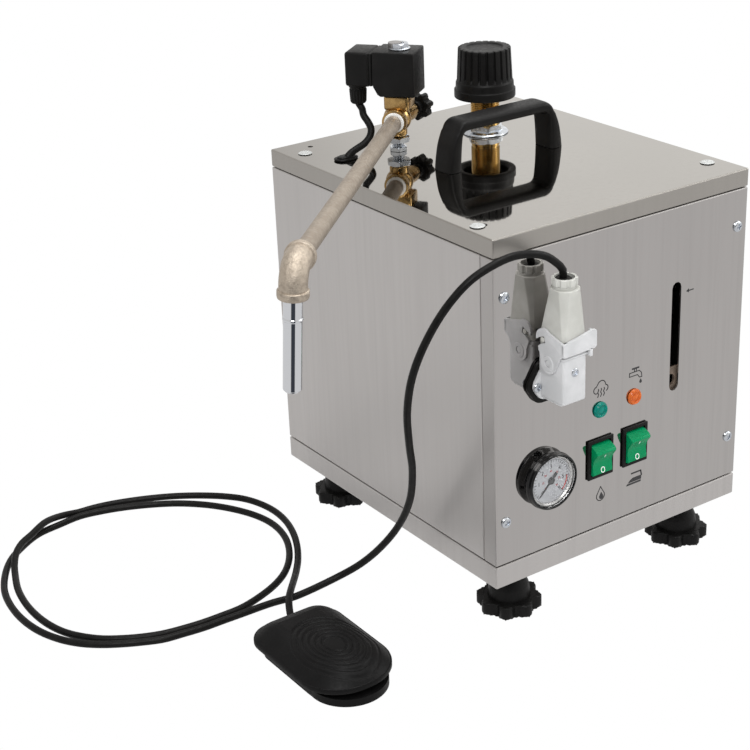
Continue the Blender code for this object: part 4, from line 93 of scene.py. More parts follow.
camera_data = bpy.data.cameras.new("camera")
camera_data.lens = CAMERA_LENS
camera_data.sensor_width = SENSOR
camera_data.clip_start = 0.05
camera_data.clip_end = 50.0
camera = shown("camera", camera_data)
turn = (Matrix.Rotation(-CAMERA_HEADING, 4, "Z") @ Matrix.Rotation(math.radians(90) - CAMERA_DROP, 4, "X")
        @ Matrix.Rotation(CAMERA_ROLL, 4, "Z"))
camera.matrix_world = Matrix.Translation(at(*CAMERA_PLACE)) @ turn
bpy.context.scene.camera = camera
bpy.context.scene.view_settings.view_transform = "Standard"


# Materials
def add(tree, kind, output, inputs={}, **settings):
    """A new shader node's output. Its inputs are values, or the outputs that are linked to them."""
    made = tree.nodes.new("ShaderNode" + kind)
    for key, value in settings.items():
        setattr(made, key, value)
    for socket, value in inputs.items():
        if isinstance(value, bpy.types.NodeSocket):
            tree.links.new(value, made.inputs[socket])
        else:
            made.inputs[socket].default_value = value
    return made.outputs[output]


class Look:
    """A Principled material. Each method lays a noise over the piece's own coordinates, in features
    per metre, and feeds it to a socket."""

    def __init__(self, name, slot, colour, roughness, metallic=0.0, **sockets):
        self.slot = slot
        self.colour = colour
        self.material = bpy.data.materials.new(name)
        self.material.use_nodes = True
        self.material.diffuse_color = (*colour, 1.0)
        self.tree = self.material.node_tree
        self.shader = self.tree.nodes["Principled BSDF"]
        sockets.update({"Base Color": (*colour, 1.0), "Roughness": roughness, "Metallic": metallic})
        for socket, value in sockets.items():
            self.shader.inputs[socket.replace("_", " ")].default_value = value

    def feed(self, source, socket):
        self.tree.links.new(source, self.shader.inputs[socket])
        return self

    def fed(self, socket, otherwise):
        """What a socket is linked to so far, or else the value given."""
        links = self.shader.inputs[socket].links
        return links[0].from_socket if links else otherwise

    def noise(self, scale, stretch, detail):
        place = add(self.tree, "TexCoord", "Object")
        place = add(self.tree, "Mapping", "Vector", {"Vector": place, "Scale": stretch})
        return add(self.tree, "TexNoise", "Fac", {"Vector": place, "Scale": scale, "Detail": detail})

    def ranged(self, source, low, high, start=0.3, end=0.7):
        """The source's middle stretch, spread from low to high."""
        return add(self.tree, "MapRange", "Result", {"Value": source, "From Min": start, "From Max": end,
                                                     "To Min": low, "To Max": high})

    def tint(self, scale, other, start=0.4, end=0.8, stretch=(1, 1, 1), detail=4.0):
        """Blends the colour towards another where the noise is high."""
        factor = self.ranged(self.noise(scale, stretch, detail), 0.0, 1.0, start, end)
        before = self.fed("Base Color", (*self.colour, 1.0))
        return self.feed(add(self.tree, "Mix", 2, {6: before, 7: (*other, 1.0), "Factor": factor},
                             data_type="RGBA"), "Base Color")

    def rough(self, scale, low, high, stretch=(1, 1, 1), detail=4.0):
        """Spreads the roughness from low to high."""
        return self.feed(self.ranged(self.noise(scale, stretch, detail), low, high), "Roughness")

    def bump(self, scale, height, strength, stretch=(1, 1, 1), detail=4.0):
        """Raises the surface by the noise, height in metres."""
        height = {"Height": self.noise(scale, stretch, detail), "Distance": height, "Strength": strength}
        return self.feed(add(self.tree, "Bump", "Normal", height), "Normal")


def steel(name, mirror_axis, colour):
    """Stainless sheet, a mirror on the faces square to an axis and satin on the others."""
    look = Look(name, "stainless", colour, 0.42, 1.0)
    for scale, share, start, end, stretch, detail in ((7, 1.05, 0.35, 0.65, 0.5, 4.0),
                                                      (220, 0.992, 0.45, 0.75, 0.03, 2.0)):
        shade = tuple(min(1.0, part * share) for part in colour)
        look.tint(scale, shade, start, end, (1, 1, stretch), detail)
    if mirror_axis:
        normal = add(look.tree, "NewGeometry", "True Normal")
        facing = add(look.tree, "SeparateXYZ", mirror_axis, {"Vector": normal})
        facing = add(look.tree, "Math", "Value", {0: facing}, operation="ABSOLUTE")
        look.feed(look.ranged(facing, 0.40, 0.035, 0.90, 0.97), "Roughness")
    else:
        look.rough(300, 0.38, 0.46, (1, 1, 0.03), 2.0)
    return look.bump(5, 0.0006, 0.10, (1, 1, 0.6), 1.0)


# Painted shade: the lid and the front are the same stainless as the satin sheet. Their base tones are darkened,
# the lid's the most, to set how bright their mirror faces come out under this light.
SHADE_DARKENED_LID_STEEL = steel("polished_lid_painted_shade", "Z", (0.435, 0.416, 0.388))
SHADE_DARKENED_FRONT_STEEL = steel("polished_front_painted_shade", "Y", (0.515, 0.498, 0.487))
SATIN = steel("satin_steel", "", (0.60, 0.582, 0.57))
BRASS = Look("brass", "brass", (0.50, 0.325, 0.13), 0.24, 1.0)
BRASS.tint(160, (0.30, 0.185, 0.075), 0.45, 0.85).rough(240, 0.16, 0.36).bump(700, 0.00012, 0.5, detail=3.0)
BRIGHT_BRASS = Look("bright_brass", "brass", (0.62, 0.42, 0.16), 0.15, 1.0)
BRIGHT_BRASS.tint(90, (0.52, 0.31, 0.08)).rough(900, 0.10, 0.22, (0.02, 0.02, 1), 2.0)
ZINC = Look("zinc_plate", "zinc", (0.70, 0.735, 0.77), 0.20, 1.0)
ZINC.tint(240, (0.50, 0.53, 0.60)).rough(500, 0.14, 0.30)
BARE = Look("bare_steel", "bare_steel", (0.42, 0.41, 0.40), 0.34, 1.0)
BARE.tint(60, (0.33, 0.32, 0.31)).rough(300, 0.26, 0.44, (1, 1, 0.05))
PIPE = Look("galvanised_pipe", "galvanised", (0.31, 0.262, 0.213), 0.50, 0.6)
PIPE.tint(420, (0.40, 0.35, 0.29), 0.42, 0.78, (1, 1, 0.10))
PIPE.tint(60, (0.25, 0.205, 0.165), 0.48, 0.85, (1, 1, 0.5))
PIPE.rough(400, 0.42, 0.62).bump(1100, 0.00025, 0.5, (1, 1, 0.4))
CAST = Look("cast_fitting", "cast_fitting", (0.50, 0.43, 0.35), 0.42, 0.8)
CAST.tint(320, (0.30, 0.25, 0.20), 0.45, 0.8, detail=6.0).rough(260, 0.34, 0.55)
CAST.bump(1100, 0.0006, 0.8, detail=5.0)
CHROME = Look("chrome", "chrome", (0.78, 0.80, 0.83), 0.05, 1.0).rough(80, 0.03, 0.09)
BLACK = Look("black_plastic", "black_plastic", (0.0052, 0.0050, 0.0049), 0.42, Specular_IOR_Level=0.16)
BLACK.tint(55, (0.0095, 0.0092, 0.0088)).rough(420, 0.33, 0.50).tint(9, (0.0050, 0.0049, 0.0048), 0.4, 0.9)
BLACK.bump(2600, 0.00008, 0.45, detail=2.0)
PEDAL_BLACK = Look("pedal_plastic", "black_plastic", (0.0036, 0.0035, 0.0036), 0.46, Specular_IOR_Level=0.12)
PEDAL_BLACK.rough(420, 0.38, 0.52).tint(60, (0.0058, 0.0057, 0.0058)).bump(2600, 0.00008, 0.45, detail=2.0)
GLOSS_BLACK = Look("gloss_black", "black_plastic", (0.005, 0.005, 0.0055), 0.12, Specular_IOR_Level=0.4)
GLOSS_BLACK.rough(200, 0.08, 0.18)
RUBBER = Look("black_rubber", "black_rubber", (0.0042, 0.0040, 0.0038), 0.42, Specular_IOR_Level=0.15)
RUBBER.tint(120, (0.0080, 0.0077, 0.0070)).rough(300, 0.32, 0.50).bump(1500, 0.00008, 0.4)
GREY = Look("grey_plastic", "grey_plastic", (0.435, 0.435, 0.405), 0.42, Specular_IOR_Level=0.4)
GREY.tint(60, (0.54, 0.54, 0.51)).rough(500, 0.36, 0.52).bump(2200, 0.00008, 0.4, detail=2.0)
LIGHT_GREY = Look("light_grey", "grey_plastic", (0.49, 0.495, 0.503), 0.40, Specular_IOR_Level=0.4)
LIGHT_GREY.tint(60, (0.62, 0.62, 0.63)).rough(420, 0.34, 0.48).bump(2600, 0.00006, 0.35, detail=2.0)
DIAL = Look("dial_white", "dial_white", (0.66, 0.66, 0.69), 0.45).tint(80, (0.61, 0.61, 0.64))
INK = Look("black_print", "black_plastic", (0.02, 0.02, 0.022), 0.38).rough(600, 0.30, 0.46)
RED_INK = Look("red_print", "orange_lens", (0.62, 0.03, 0.02), 0.40).rough(600, 0.32, 0.48)
WHITE_MARK = Look("white_mark", "dial_white", (0.82, 0.84, 0.82), 0.40).rough(600, 0.32, 0.48)
TAPE = Look("thread_tape", "dial_white", (0.80, 0.79, 0.76), 0.62)
TAPE.tint(500, (0.62, 0.60, 0.56), 0.45, 0.8, (1, 1, 3)).bump(900, 0.0003, 0.7, (1, 1, 4))
NYLON = Look("clear_nylon", "clear", (0.44, 0.45, 0.44), 0.28, Subsurface_Weight=0.3,
             Subsurface_Radius=(0.004, 0.004, 0.004)).rough(400, 0.22, 0.36)
TAN = Look("tan_fitting", "brass", (0.15, 0.112, 0.085), 0.5).tint(200, (0.09, 0.07, 0.055))
GREEN = Look("green_rocker", "green_plastic", (0.0, 0.195, 0.070), 0.34, Specular_IOR_Level=0.12)
GREEN.tint(60, (0.0, 0.23, 0.09)).rough(300, 0.28, 0.40)
GREEN_LENS = Look("green_lens", "green_lens", (0.0, 0.15, 0.115), 0.20, Specular_IOR_Level=0.25)
GREEN_LENS.tint(300, (0.0, 0.24, 0.19)).rough(300, 0.10, 0.22)
ORANGE_LENS = Look("orange_lens", "orange_lens", (0.46, 0.085, 0.012), 0.20, Specular_IOR_Level=0.25)
ORANGE_LENS.tint(300, (0.66, 0.17, 0.04)).rough(300, 0.10, 0.22)
GLASS = Look("clear_glass", "clear", (0.97, 0.98, 0.98), 0.03, Transmission_Weight=1.0, IOR=1.45)
GLASS.rough(120, 0.02, 0.05)


# Studio: a floor and a sky that the camera sees as white, and soft lights
FLOOR_SIZE = 40.0
FLOOR_PAINT = (0.78, 0.78, 0.78, 1)
FLOOR_MIRRORED = (0.70, 0.69, 0.685, 1)
DARK_MIRRORED = (0.045, 0.05, 0.06, 1)
DARK_SPREAD = (0.36, 0.50)
DARK_START = (0.10, 0.22)
DARK_SKY = (0.72, 0.93)
SKY_LIGHT = 0.85
SKY_LEFT = (0.64, 0.625, 0.61, 1)
SKY_RIGHT = (1.02, 1.01, 0.99, 1)
SKY_TURN = (0.44, 0.60)
WHITE = (1, 1, 1, 1)
SOFT_LIGHTS = {
    "key": ((-1.5, -2.0, 2.4), 1.5, 42.0),
    "top": ((0.3, -0.1, 2.6), 1.8, 34.0),
    "side": ((2.2, -1.2, 1.5), 1.2, 14.0),
}


def ramp(tree, source, low, high):
    """A smooth step of the source from low to high."""
    return add(tree, "MapRange", "Result", {"Value": source, "From Min": low, "From Max": high},
               interpolation_type="SMOOTHSTEP")


def maths(tree, operation, *values):
    """The result of an operation on the values, which are numbers or other nodes' outputs."""
    return add(tree, "Math", "Value", dict(enumerate(values)), operation=operation)


def reach(tree, source, direction):
    """How far the source reaches in a direction."""
    return add(tree, "VectorMath", "Value", {0: source, 1: direction}, operation="DOT_PRODUCT")


def mixed(tree, factor, first, second):
    """The first colour, turning into the second as the factor rises."""
    return add(tree, "Mix", 2, {"Factor": factor, 6: first, 7: second}, data_type="RGBA")


def by_ray(tree, kind, base, glossy, white):
    """Links the tree's output to one shader for mirrors, white for the camera and glass, and a base."""
    for ray, look in (("Is Glossy Ray", glossy), ("Is Camera Ray", white), ("Is Transmission Ray", white)):
        base = add(tree, "MixShader", 0, {"Fac": add(tree, "LightPath", ray), 1: base, 2: look})
    tree.links.new(base, tree.nodes.new(kind).inputs["Surface"])


def studio():
    """White to the camera; to mirrors a grey floor, a brighter sky and the dark of the photographer's side."""
    shape = bmesh.new()
    bmesh.ops.create_grid(shape, x_segments=1, y_segments=1, size=FLOOR_SIZE / 2)
    mesh = bpy.data.meshes.new("floor")
    shape.to_mesh(mesh)
    shape.free()
    floor = shown("floor", mesh)
    paint = bpy.data.materials.new("pale_floor")
    paint.use_nodes = True
    mesh.materials.append(paint)
    tree = paint.node_tree
    tree.nodes.clear()
    nozzle = middle_of("steam_nozzle")
    towards = Vector((CAMERA_PLACE[0] - nozzle.x, CAMERA_PLACE[1] - nozzle.y, 0)).normalized()
    spot = add(tree, "NewGeometry", "Position")
    offset = add(tree, "VectorMath", "Vector", {0: spot, 1: at(nozzle.x, nozzle.y)}, operation="SUBTRACT")
    ahead = reach(tree, offset, towards)
    aside = maths(tree, "ABSOLUTE", reach(tree, offset, (-towards.y, towards.x, 0)))
    share = maths(tree, "DIVIDE", aside, maths(tree, "MAXIMUM", ahead, 0.01))
    outside = maths(tree, "MAXIMUM", ramp(tree, share, *DARK_SPREAD),
                    maths(tree, "SUBTRACT", 1.0, ramp(tree, ahead, *DARK_START)))
    mirrored = add(tree, "Emission", 0, {"Color": mixed(tree, outside, DARK_MIRRORED, FLOOR_MIRRORED)})
    by_ray(tree, "ShaderNodeOutputMaterial", add(tree, "BsdfDiffuse", 0, {"Color": FLOOR_PAINT}), mirrored,
           add(tree, "Emission", 0))

    world = bpy.data.worlds.new("studio")
    bpy.context.scene.world = world
    world.use_nodes = True
    tree = world.node_tree
    tree.nodes.clear()
    place = add(tree, "TexCoord", "Generated")
    across = add(tree, "SeparateXYZ", "X", {"Vector": place})
    sides = mixed(tree, ramp(tree, across, *SKY_TURN), SKY_LEFT, SKY_RIGHT)
    sky = mixed(tree, ramp(tree, reach(tree, place, towards), *DARK_SKY), sides, DARK_MIRRORED)
    by_ray(tree, "ShaderNodeOutputWorld", add(tree, "Background", 0, {"Color": WHITE, "Strength": SKY_LIGHT}),
           add(tree, "Background", 0, {"Color": sky}), add(tree, "Background", 0, {"Color": WHITE}))

    for name, (spot, size, power) in SOFT_LIGHTS.items():
        lamp = bpy.data.lights.new(name, "AREA")
        lamp.shape = "DISK"
        lamp.size = size
        lamp.energy = power
        made = shown(name, lamp)
        made.location = at(*spot)
        aim = at(0, 0, 0.2) - made.location
        made.rotation_euler = aim.to_track_quat("-Z", "Y").to_euler()


studio()


# Shapes
EASE_SHARE = 0.45                        # the most of a side that a rounded corner takes
NUT_EDGE = 0.0004
LOBE_SIDES = 18
PATH_STEPS = 24


def turn_about(axis, degrees):
    return Matrix.Rotation(math.radians(degrees), 4, axis)


def shift(x=0.0, y=0.0, z=0.0):
    return Matrix.Translation((x, y, z))


TO_FRONT = turn_about("X", 90)           # turns a piece's own Z to face the front
SIDEWAYS = turn_about("Y", 90)           # turns a piece's own Z to face along X
TO_REAR = turn_about("X", -90)           # turns a piece's own Z to face the rear


def smoothed(mesh, angle=32):
    """Smooth but for the edges that are sharper than the angle."""
    mesh.shade_smooth()
    mesh.set_sharp_from_angle(angle=math.radians(angle))
    return mesh


def made_mesh(shape, matrix=None, angle=32):
    """The mesh of a bmesh, facing out, smooth but for its sharp edges, and moved by the matrix."""
    bmesh.ops.recalc_face_normals(shape, faces=shape.faces)
    mesh = bpy.data.meshes.new("shape")
    shape.to_mesh(mesh)
    shape.free()
    if matrix is not None:
        mesh.transform(matrix)
    return smoothed(mesh, angle)


def eased(points, radius, count=3, closed=False):
    """The points with each corner turned into a short curve."""
    corners = [Vector(point) for point in points]
    out = []
    for index, here in enumerate(corners):
        if not closed and index in (0, len(corners) - 1):
            out.append(here)
            continue
        before = corners[index - 1] - here
        after = corners[(index + 1) % len(corners)] - here
        reach = min(radius, before.length * EASE_SHARE, after.length * EASE_SHARE)
        start = here + before.normalized() * reach
        end = here + after.normalized() * reach
        for step in range(count + 1):
            t = step / count
            out.append(start * (1 - t) ** 2 + here * 2 * t * (1 - t) + end * t ** 2)
    return out


def skin(shape, rows, capped=True):
    """Faces between closed rows of equal counts, a row of one vertex being a point."""
    for lower, upper in zip(rows, rows[1:]):
        for index in range(max(len(lower), len(upper))):
            after = index + 1
            corners = dict.fromkeys([lower[index % len(lower)], lower[after % len(lower)],
                upper[after % len(upper)], upper[index % len(upper)]])
            if len(corners) > 2:
                shape.faces.new(list(corners))
    for end in (rows[0], rows[-1]):
        if capped and len(end) > 1:
            shape.faces.new(end)


def lathe(profile, matrix=None, steps=64, wave=None, closed=False, angle=32):
    """A profile of (radius, height) points turned about Z. wave(angle, radius, height) draws it in."""
    shape = bmesh.new()
    rows = []
    for radius, height in profile:
        if radius < 1e-6:
            rows.append([shape.verts.new((0, 0, height))])
            continue
        row = []
        for index in range(steps):
            around = TURN * index / steps
            reach = radius - (wave(around, radius, height) if wave else 0)
            row.append(shape.verts.new((reach * math.cos(around), reach * math.sin(around), height)))
        rows.append(row)
    if closed:
        rows.append(rows[0])
    skin(shape, rows, not closed)
    return made_mesh(shape, matrix, angle)


def loft(rings, angle=32):
    """A closed body through rings of points."""
    shape = bmesh.new()
    skin(shape, [[shape.verts.new(point) for point in ring] for ring in rings])
    return made_mesh(shape, None, angle)


def slab(outline, low, high, edge=0.0, matrix=None, segments=3, angle=32):
    """A flat outline in XY from low to high along Z, its rims rounded by edge."""
    shape = bmesh.new()
    lower = [shape.verts.new((x, y, low)) for x, y in outline]
    upper = [shape.verts.new((x, y, high)) for x, y in outline]
    skin(shape, [lower, upper])
    if edge:
        rims = [item for item in shape.edges if abs(item.verts[0].co.z - item.verts[1].co.z) < 1e-7]
        bmesh.ops.bevel(shape, geom=rims, offset=edge, segments=segments, profile=0.5, affect="EDGES",
            clamp_overlap=True)
    return made_mesh(shape, matrix, angle)


def box(low, high, edge=0.0, matrix=None, segments=3):
    """A box between two corners, its edges rounded."""
    low = Vector(low)
    high = Vector(high)
    shape = bmesh.new()
    bmesh.ops.create_cube(shape, size=1.0)
    bmesh.ops.scale(shape, vec=high - low, verts=shape.verts)
    bmesh.ops.translate(shape, vec=(high + low) / 2, verts=shape.verts)
    if edge:
        bmesh.ops.bevel(shape, geom=shape.edges[:], offset=edge, segments=segments, profile=0.5, affect="EDGES",
            clamp_overlap=True)
    return made_mesh(shape, matrix)


def tube(points, radius, sides=20, matrix=None):
    """A round tube along points, kept from twisting."""
    points = [Vector(point) for point in points]
    shape = bmesh.new()
    rows = []
    across = None
    turns = [TURN * n / sides for n in range(sides)]
    for index, point in enumerate(points):
        ahead = points[min(index + 1, len(points) - 1)] - points[max(index - 1, 0)]
        ahead.normalize()
        across = across or ahead.orthogonal()
        across = (across - ahead * across.dot(ahead)).normalized()
        up = ahead.cross(across)
        rows.append([shape.verts.new(point + radius * (math.cos(a) * across + math.sin(a) * up))
            for a in turns])
    skin(shape, rows)
    return made_mesh(shape, matrix)


def hexagon(radius, low, high, chamfer, matrix=None, under=False):
    """A hexagonal nut's body whose corners are turned off at the top, and underneath too if asked."""
    outline = [(radius * math.cos(TURN * n / 6), radius * math.sin(TURN * n / 6)) for n in range(6)]
    body = slab(eased(outline, NUT_EDGE, 2, True), low, high)
    flat = radius * math.cos(math.radians(30))
    start = [(0, low)]
    start += [(flat, low), (radius, low + chamfer)] if under else [(radius, low)]
    crown = lathe([*start, (radius, high - chamfer), (flat, high), (0, high)], steps=72)
    return moved(carved(body, [crown], "INTERSECT"), matrix)


def star(radius, lobes, lobe_cut):
    """A round outline whose rim is scooped between its lobes."""
    outline = []
    for index in range(lobes * LOBE_SIDES):
        around = TURN * index / (lobes * LOBE_SIDES)
        reach = radius - lobe_cut * (0.5 - 0.5 * math.cos(lobes * around)) ** 1.5
        outline.append((reach * math.cos(around), reach * math.sin(around)))
    return outline


def arc(centre, radius, start, end, count):
    """Points on an arc in a plane, its angles in degrees."""
    angles = [math.radians(start + (end - start) * index / count) for index in range(count + 1)]
    return [(centre[0] + radius * math.cos(a), centre[1] + radius * math.sin(a)) for a in angles]


def oval(length, width, count=16):
    """A slot-shaped outline, its long side along X."""
    reach = (length - width) / 2
    return arc((reach, 0), width / 2, -90, 90, count) + arc((-reach, 0), width / 2, 90, 270, count)


def mirrored(points):
    """The points, then their mirror images back to the start."""
    return points + [(-x, y) for x, y in reversed(points)]


def moved(mesh, matrix):
    if matrix is not None:
        mesh.transform(matrix)
    return mesh


def turned(points, ease, *rest, **named):
    """A lathe's body whose profile has its corners eased."""
    return lathe(eased(points, ease), *rest, **named)


def rod(radius, low, high, matrix=None, steps=64):
    """A plain cylinder along Z."""
    return lathe([(0, high), (radius, high), (radius, low), (0, low)], matrix, steps)


def ridged(count, depth, low, high):
    """A wave of fine grips round a body, between two heights."""
    def wave(around, radius, height):
        return depth * max(0.0, math.cos(count * around)) if low < height < high else 0.0
    return wave


def notched(around, count, share):
    """How deep a notch is at an angle, from 0 between the notches to 1 in their middle."""
    away = abs((around * count / TURN) % 1.0 - 0.5) / (share / 2)
    return 1 - away ** 4 if away < 1 else 0.0


def merged(*meshes):
    """One mesh that holds several."""
    shape = bmesh.new()
    for mesh in meshes:
        shape.from_mesh(mesh)
    return made_mesh(shape)


def baked(helper, *others):
    """The mesh of a helper with its steps applied. Removes it and the others."""
    bpy.context.view_layer.update()
    graph = bpy.context.evaluated_depsgraph_get()
    mesh = bpy.data.meshes.new_from_object(helper.evaluated_get(graph))
    for each in (helper, *others):
        bpy.data.objects.remove(each, do_unlink=True)
    return mesh


def carved(mesh, others, operation="DIFFERENCE"):
    """The mesh after cutting or joining the others, all of them in the same axes."""
    helpers = [shown("helper", each) for each in (mesh, *others)]
    for other in helpers[1:]:
        step = helpers[0].modifiers.new("step", "BOOLEAN")
        step.operation = operation
        step.solver = "EXACT"
        step.object = other
    return smoothed(baked(*helpers))


def piece(name, mesh, look, place, node="", body="machine"):
    """A shown piece in its look, at a machine place, in the place of a CAD node, riding on a body."""
    made = shown(name, mesh)
    mesh.name = name
    mesh.materials.clear()
    mesh.materials.append(look.material)
    made.matrix_world = Matrix.Translation(at(*place))
    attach(made, body)
    if node:
        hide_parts(node)
    return made


def spring(name, node):
    """A coil spring in its CAD shape, on a mesh of its own."""
    made = piece(name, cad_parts[node].data.copy(), BARE, -MIDDLE, node)
    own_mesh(made)


def threads(radius, low, high, pitch, depth):
    """The (radius, height) profile of a screw thread's side, from its top down."""
    profile = []
    height = high
    while height - pitch > low:
        profile += [(radius - depth, height), (radius, height - pitch * 0.35), (radius, height - pitch * 0.6)]
        height -= pitch
    return profile + [(radius - depth, height), (radius - depth, low)]


def spaced(points, count):
    """Points at even distances along a line."""
    points = [Vector(point) for point in points]
    lengths = [0.0]
    for before, after in zip(points, points[1:]):
        lengths.append(lengths[-1] + (after - before).length)
    found = []
    index = 0
    for number in range(count + 1):
        wanted = lengths[-1] * number / count
        while index < len(points) - 2 and lengths[index + 1] < wanted:
            index += 1
        share = (wanted - lengths[index]) / (lengths[index + 1] - lengths[index])
        found.append(points[index].lerp(points[index + 1], min(1.0, share)))
    return found


def smooth_path(knots, step):
    """Points a step apart along a centripetal Catmull-Rom curve through the knots."""
    knots = [Vector(knot) for knot in knots]
    ends = [2 * knots[0] - knots[1], *knots, 2 * knots[-1] - knots[-2]]
    fine = []
    for a, b, c, d in zip(ends, ends[1:], ends[2:], ends[3:]):
        t1 = (b - a).length ** 0.5
        t2 = t1 + (c - b).length ** 0.5
        t3 = t2 + (d - c).length ** 0.5
        for index in range(PATH_STEPS):
            t = t1 + (t2 - t1) * index / PATH_STEPS
            ab = a.lerp(b, t / t1)
            bc = b.lerp(c, (t - t1) / (t2 - t1))
            cd = c.lerp(d, (t - t2) / (t3 - t2))
            fine.append(ab.lerp(bc, t / t2).lerp(bc.lerp(cd, (t - t1) / (t3 - t1)), (t - t1) / (t2 - t1)))
    fine.append(knots[-1])
    total = sum((after - before).length for before, after in zip(fine, fine[1:]))
    return spaced(fine, max(2, round(total / step)))


# Pedal cord, on the route of the solid
CORD_RADIUS = 0.003
CORD_STEP = 0.005
CONNECTOR_X = -0.078
HOOD_TOP_BACK = 0.007
HOOD_LEAN = 0.0022
HOOD_TOP_FRONT = 0.0285
HOOD_COLLAR_TOP = 0.2965
HOOD_SPIGOT = 0.01
PEDAL_CORD = (-0.252, -0.0525, 0.0075)
PEDAL_CORD_RUN = 0.01
CORD_HANGS = [(-0.0793, -0.1701, 0.302), (-0.0849, -0.17, 0.3083), (-0.0939, -0.1695, 0.3154),
    (-0.107, -0.1685, 0.3202), (-0.1232, -0.167, 0.3218), (-0.1394, -0.1645, 0.3182), (-0.1574, -0.161, 0.3099),
    (-0.1737, -0.155, 0.2926), (-0.1862, -0.147, 0.268), (-0.1924, -0.137, 0.2389), (-0.19, -0.125, 0.2057),
    (-0.1788, -0.11, 0.1676), (-0.1677, -0.097, 0.1375), (-0.1592, -0.08, 0.1012), (-0.1576, -0.061, 0.0698),
    (-0.163, -0.043, 0.0442), (-0.1723, -0.026, 0.0238), (-0.1857, -0.012, 0.01)]
CORD_LIES = [(-0.2283, -0.0068), (-0.2478, -0.0034), (-0.2762, -0.0022), (-0.2929, -0.0015), (-0.3097, -0.001),
    (-0.3272, 0.0013), (-0.3443, 0.0041), (-0.3592, 0.0107), (-0.3735, 0.0186), (-0.3869, 0.0278),
    (-0.3993, 0.0394), (-0.4099, 0.055), (-0.418, 0.0759), (-0.4217, 0.0998), (-0.4209, 0.1264),
    (-0.4154, 0.1529), (-0.404, 0.1779), (-0.3904, 0.1979), (-0.3758, 0.2111), (-0.3511, 0.2262),
    (-0.3269, 0.2308), (-0.3063, 0.2332), (-0.2866, 0.2293), (-0.2687, 0.2234), (-0.2452, 0.212),
    (-0.2248, 0.1986), (-0.2068, 0.181), (-0.1946, 0.1642), (-0.1856, 0.1472), (-0.1801, 0.1324),
    (-0.1769, 0.1155), (-0.1773, 0.0991), (-0.1812, 0.0813), (-0.1884, 0.0643), (-0.1996, 0.0465),
    (-0.2147, 0.0304), (-0.2321, 0.0189), (-0.2541, 0.01), (-0.2725, 0.0055), (-0.2901, 0.0052),
    (-0.307, 0.0057), (-0.3245, 0.0078), (-0.3411, 0.0112), (-0.3562, 0.0173), (-0.3702, 0.0253),
    (-0.3833, 0.0351), (-0.3946, 0.0485), (-0.4024, 0.0622), (-0.4076, 0.0795), (-0.41, 0.0994),
    (-0.4095, 0.1223), (-0.4053, 0.1479), (-0.3975, 0.1714), (-0.392, 0.1846), (-0.3849, 0.1959),
    (-0.3753, 0.2056), (-0.3624, 0.2138), (-0.3429, 0.2267), (-0.3227, 0.2375), (-0.302, 0.2408),
    (-0.2815, 0.2386), (-0.2544, 0.23), (-0.229, 0.2181), (-0.213, 0.2082), (-0.1979, 0.1965), (-0.184, 0.1832),
    (-0.1724, 0.1677), (-0.1656, 0.15), (-0.1627, 0.1297), (-0.1645, 0.1078), (-0.1711, 0.0846),
    (-0.181, 0.0625), (-0.1928, 0.0428), (-0.2049, 0.0262), (-0.2191, 0.0077), (-0.2319, -0.0084),
    (-0.2412, -0.0204)]
CORD_HUMPS = {53: 0.003, 54: 0.0068, 55: 0.0084, 56: 0.0089, 57: 0.0093, 58: 0.0042, 73: 0.001, 74: 0.005,
    75: 0.0082, 76: 0.0082}
CORD_OUT = FRONT - (HOOD_TOP_BACK + HOOD_TOP_FRONT) / 2


def cord_route():
    """The cord's points, from the hood to the pedal."""
    start = HOOD_COLLAR_TOP - HOOD_SPIGOT + GAP
    floor = CORD_RADIUS + GAP / 3
    knots = [(CONNECTOR_X, CORD_OUT, start), (CONNECTOR_X, CORD_OUT, start + 2 * CORD_RADIUS),
        (CONNECTOR_X, CORD_OUT, HOOD_COLLAR_TOP - CORD_RADIUS), *CORD_HANGS]
    knots += [(x, y, floor + CORD_HUMPS.get(index, 0.0)) for index, (x, y) in enumerate(CORD_LIES)]
    x, y, z = PEDAL_CORD
    knots += [(x, y + PEDAL_CORD_RUN, z), (x, y, z)]
    return [at(x, y, max(z, floor)) for x, y, z in smooth_path(knots, CORD_STEP)]


def pedal_cord():
    """The cord, the seal in the hood and the boot on the pedal."""
    route = cord_route()
    curve = bpy.data.curves.new("cord", "CURVE")
    curve.dimensions = "3D"
    curve.bevel_depth = CORD_RADIUS
    curve.bevel_resolution = 5
    curve.use_fill_caps = True
    spline = curve.splines.new("POLY")
    spline.points.add(len(route) - 1)
    for point, spot in zip(spline.points, route):
        point.co = (*spot, 1)
    spline.use_smooth = True
    curve.materials.append(RUBBER.material)
    made = shown("cord", curve)
    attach(made, "machine")
    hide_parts("pedal_cord")
    start = HOOD_COLLAR_TOP - HOOD_SPIGOT
    seal = turned([(CORD_RADIUS, start), (0.0068, start), (0.0068, HOOD_COLLAR_TOP - 0.0022),
        (0.0052, HOOD_COLLAR_TOP - 0.0008), (CORD_RADIUS + GAP, HOOD_COLLAR_TOP - 0.0008)], 0.0007)
    seal = piece("cord_seal", seal, RUBBER, (CONNECTOR_X, CORD_OUT, 0))
    x, y, z = PEDAL_CORD
    boot = turned([(CORD_RADIUS, 0.0095), (0.0038, 0.0095), (0.0046, 0.0), (0.0046, -0.004),
        (CORD_RADIUS, -0.004)], 0.0006, TO_REAR)
    boot = piece("cord_boot", boot, RUBBER, (x, y, z))


pedal_cord()


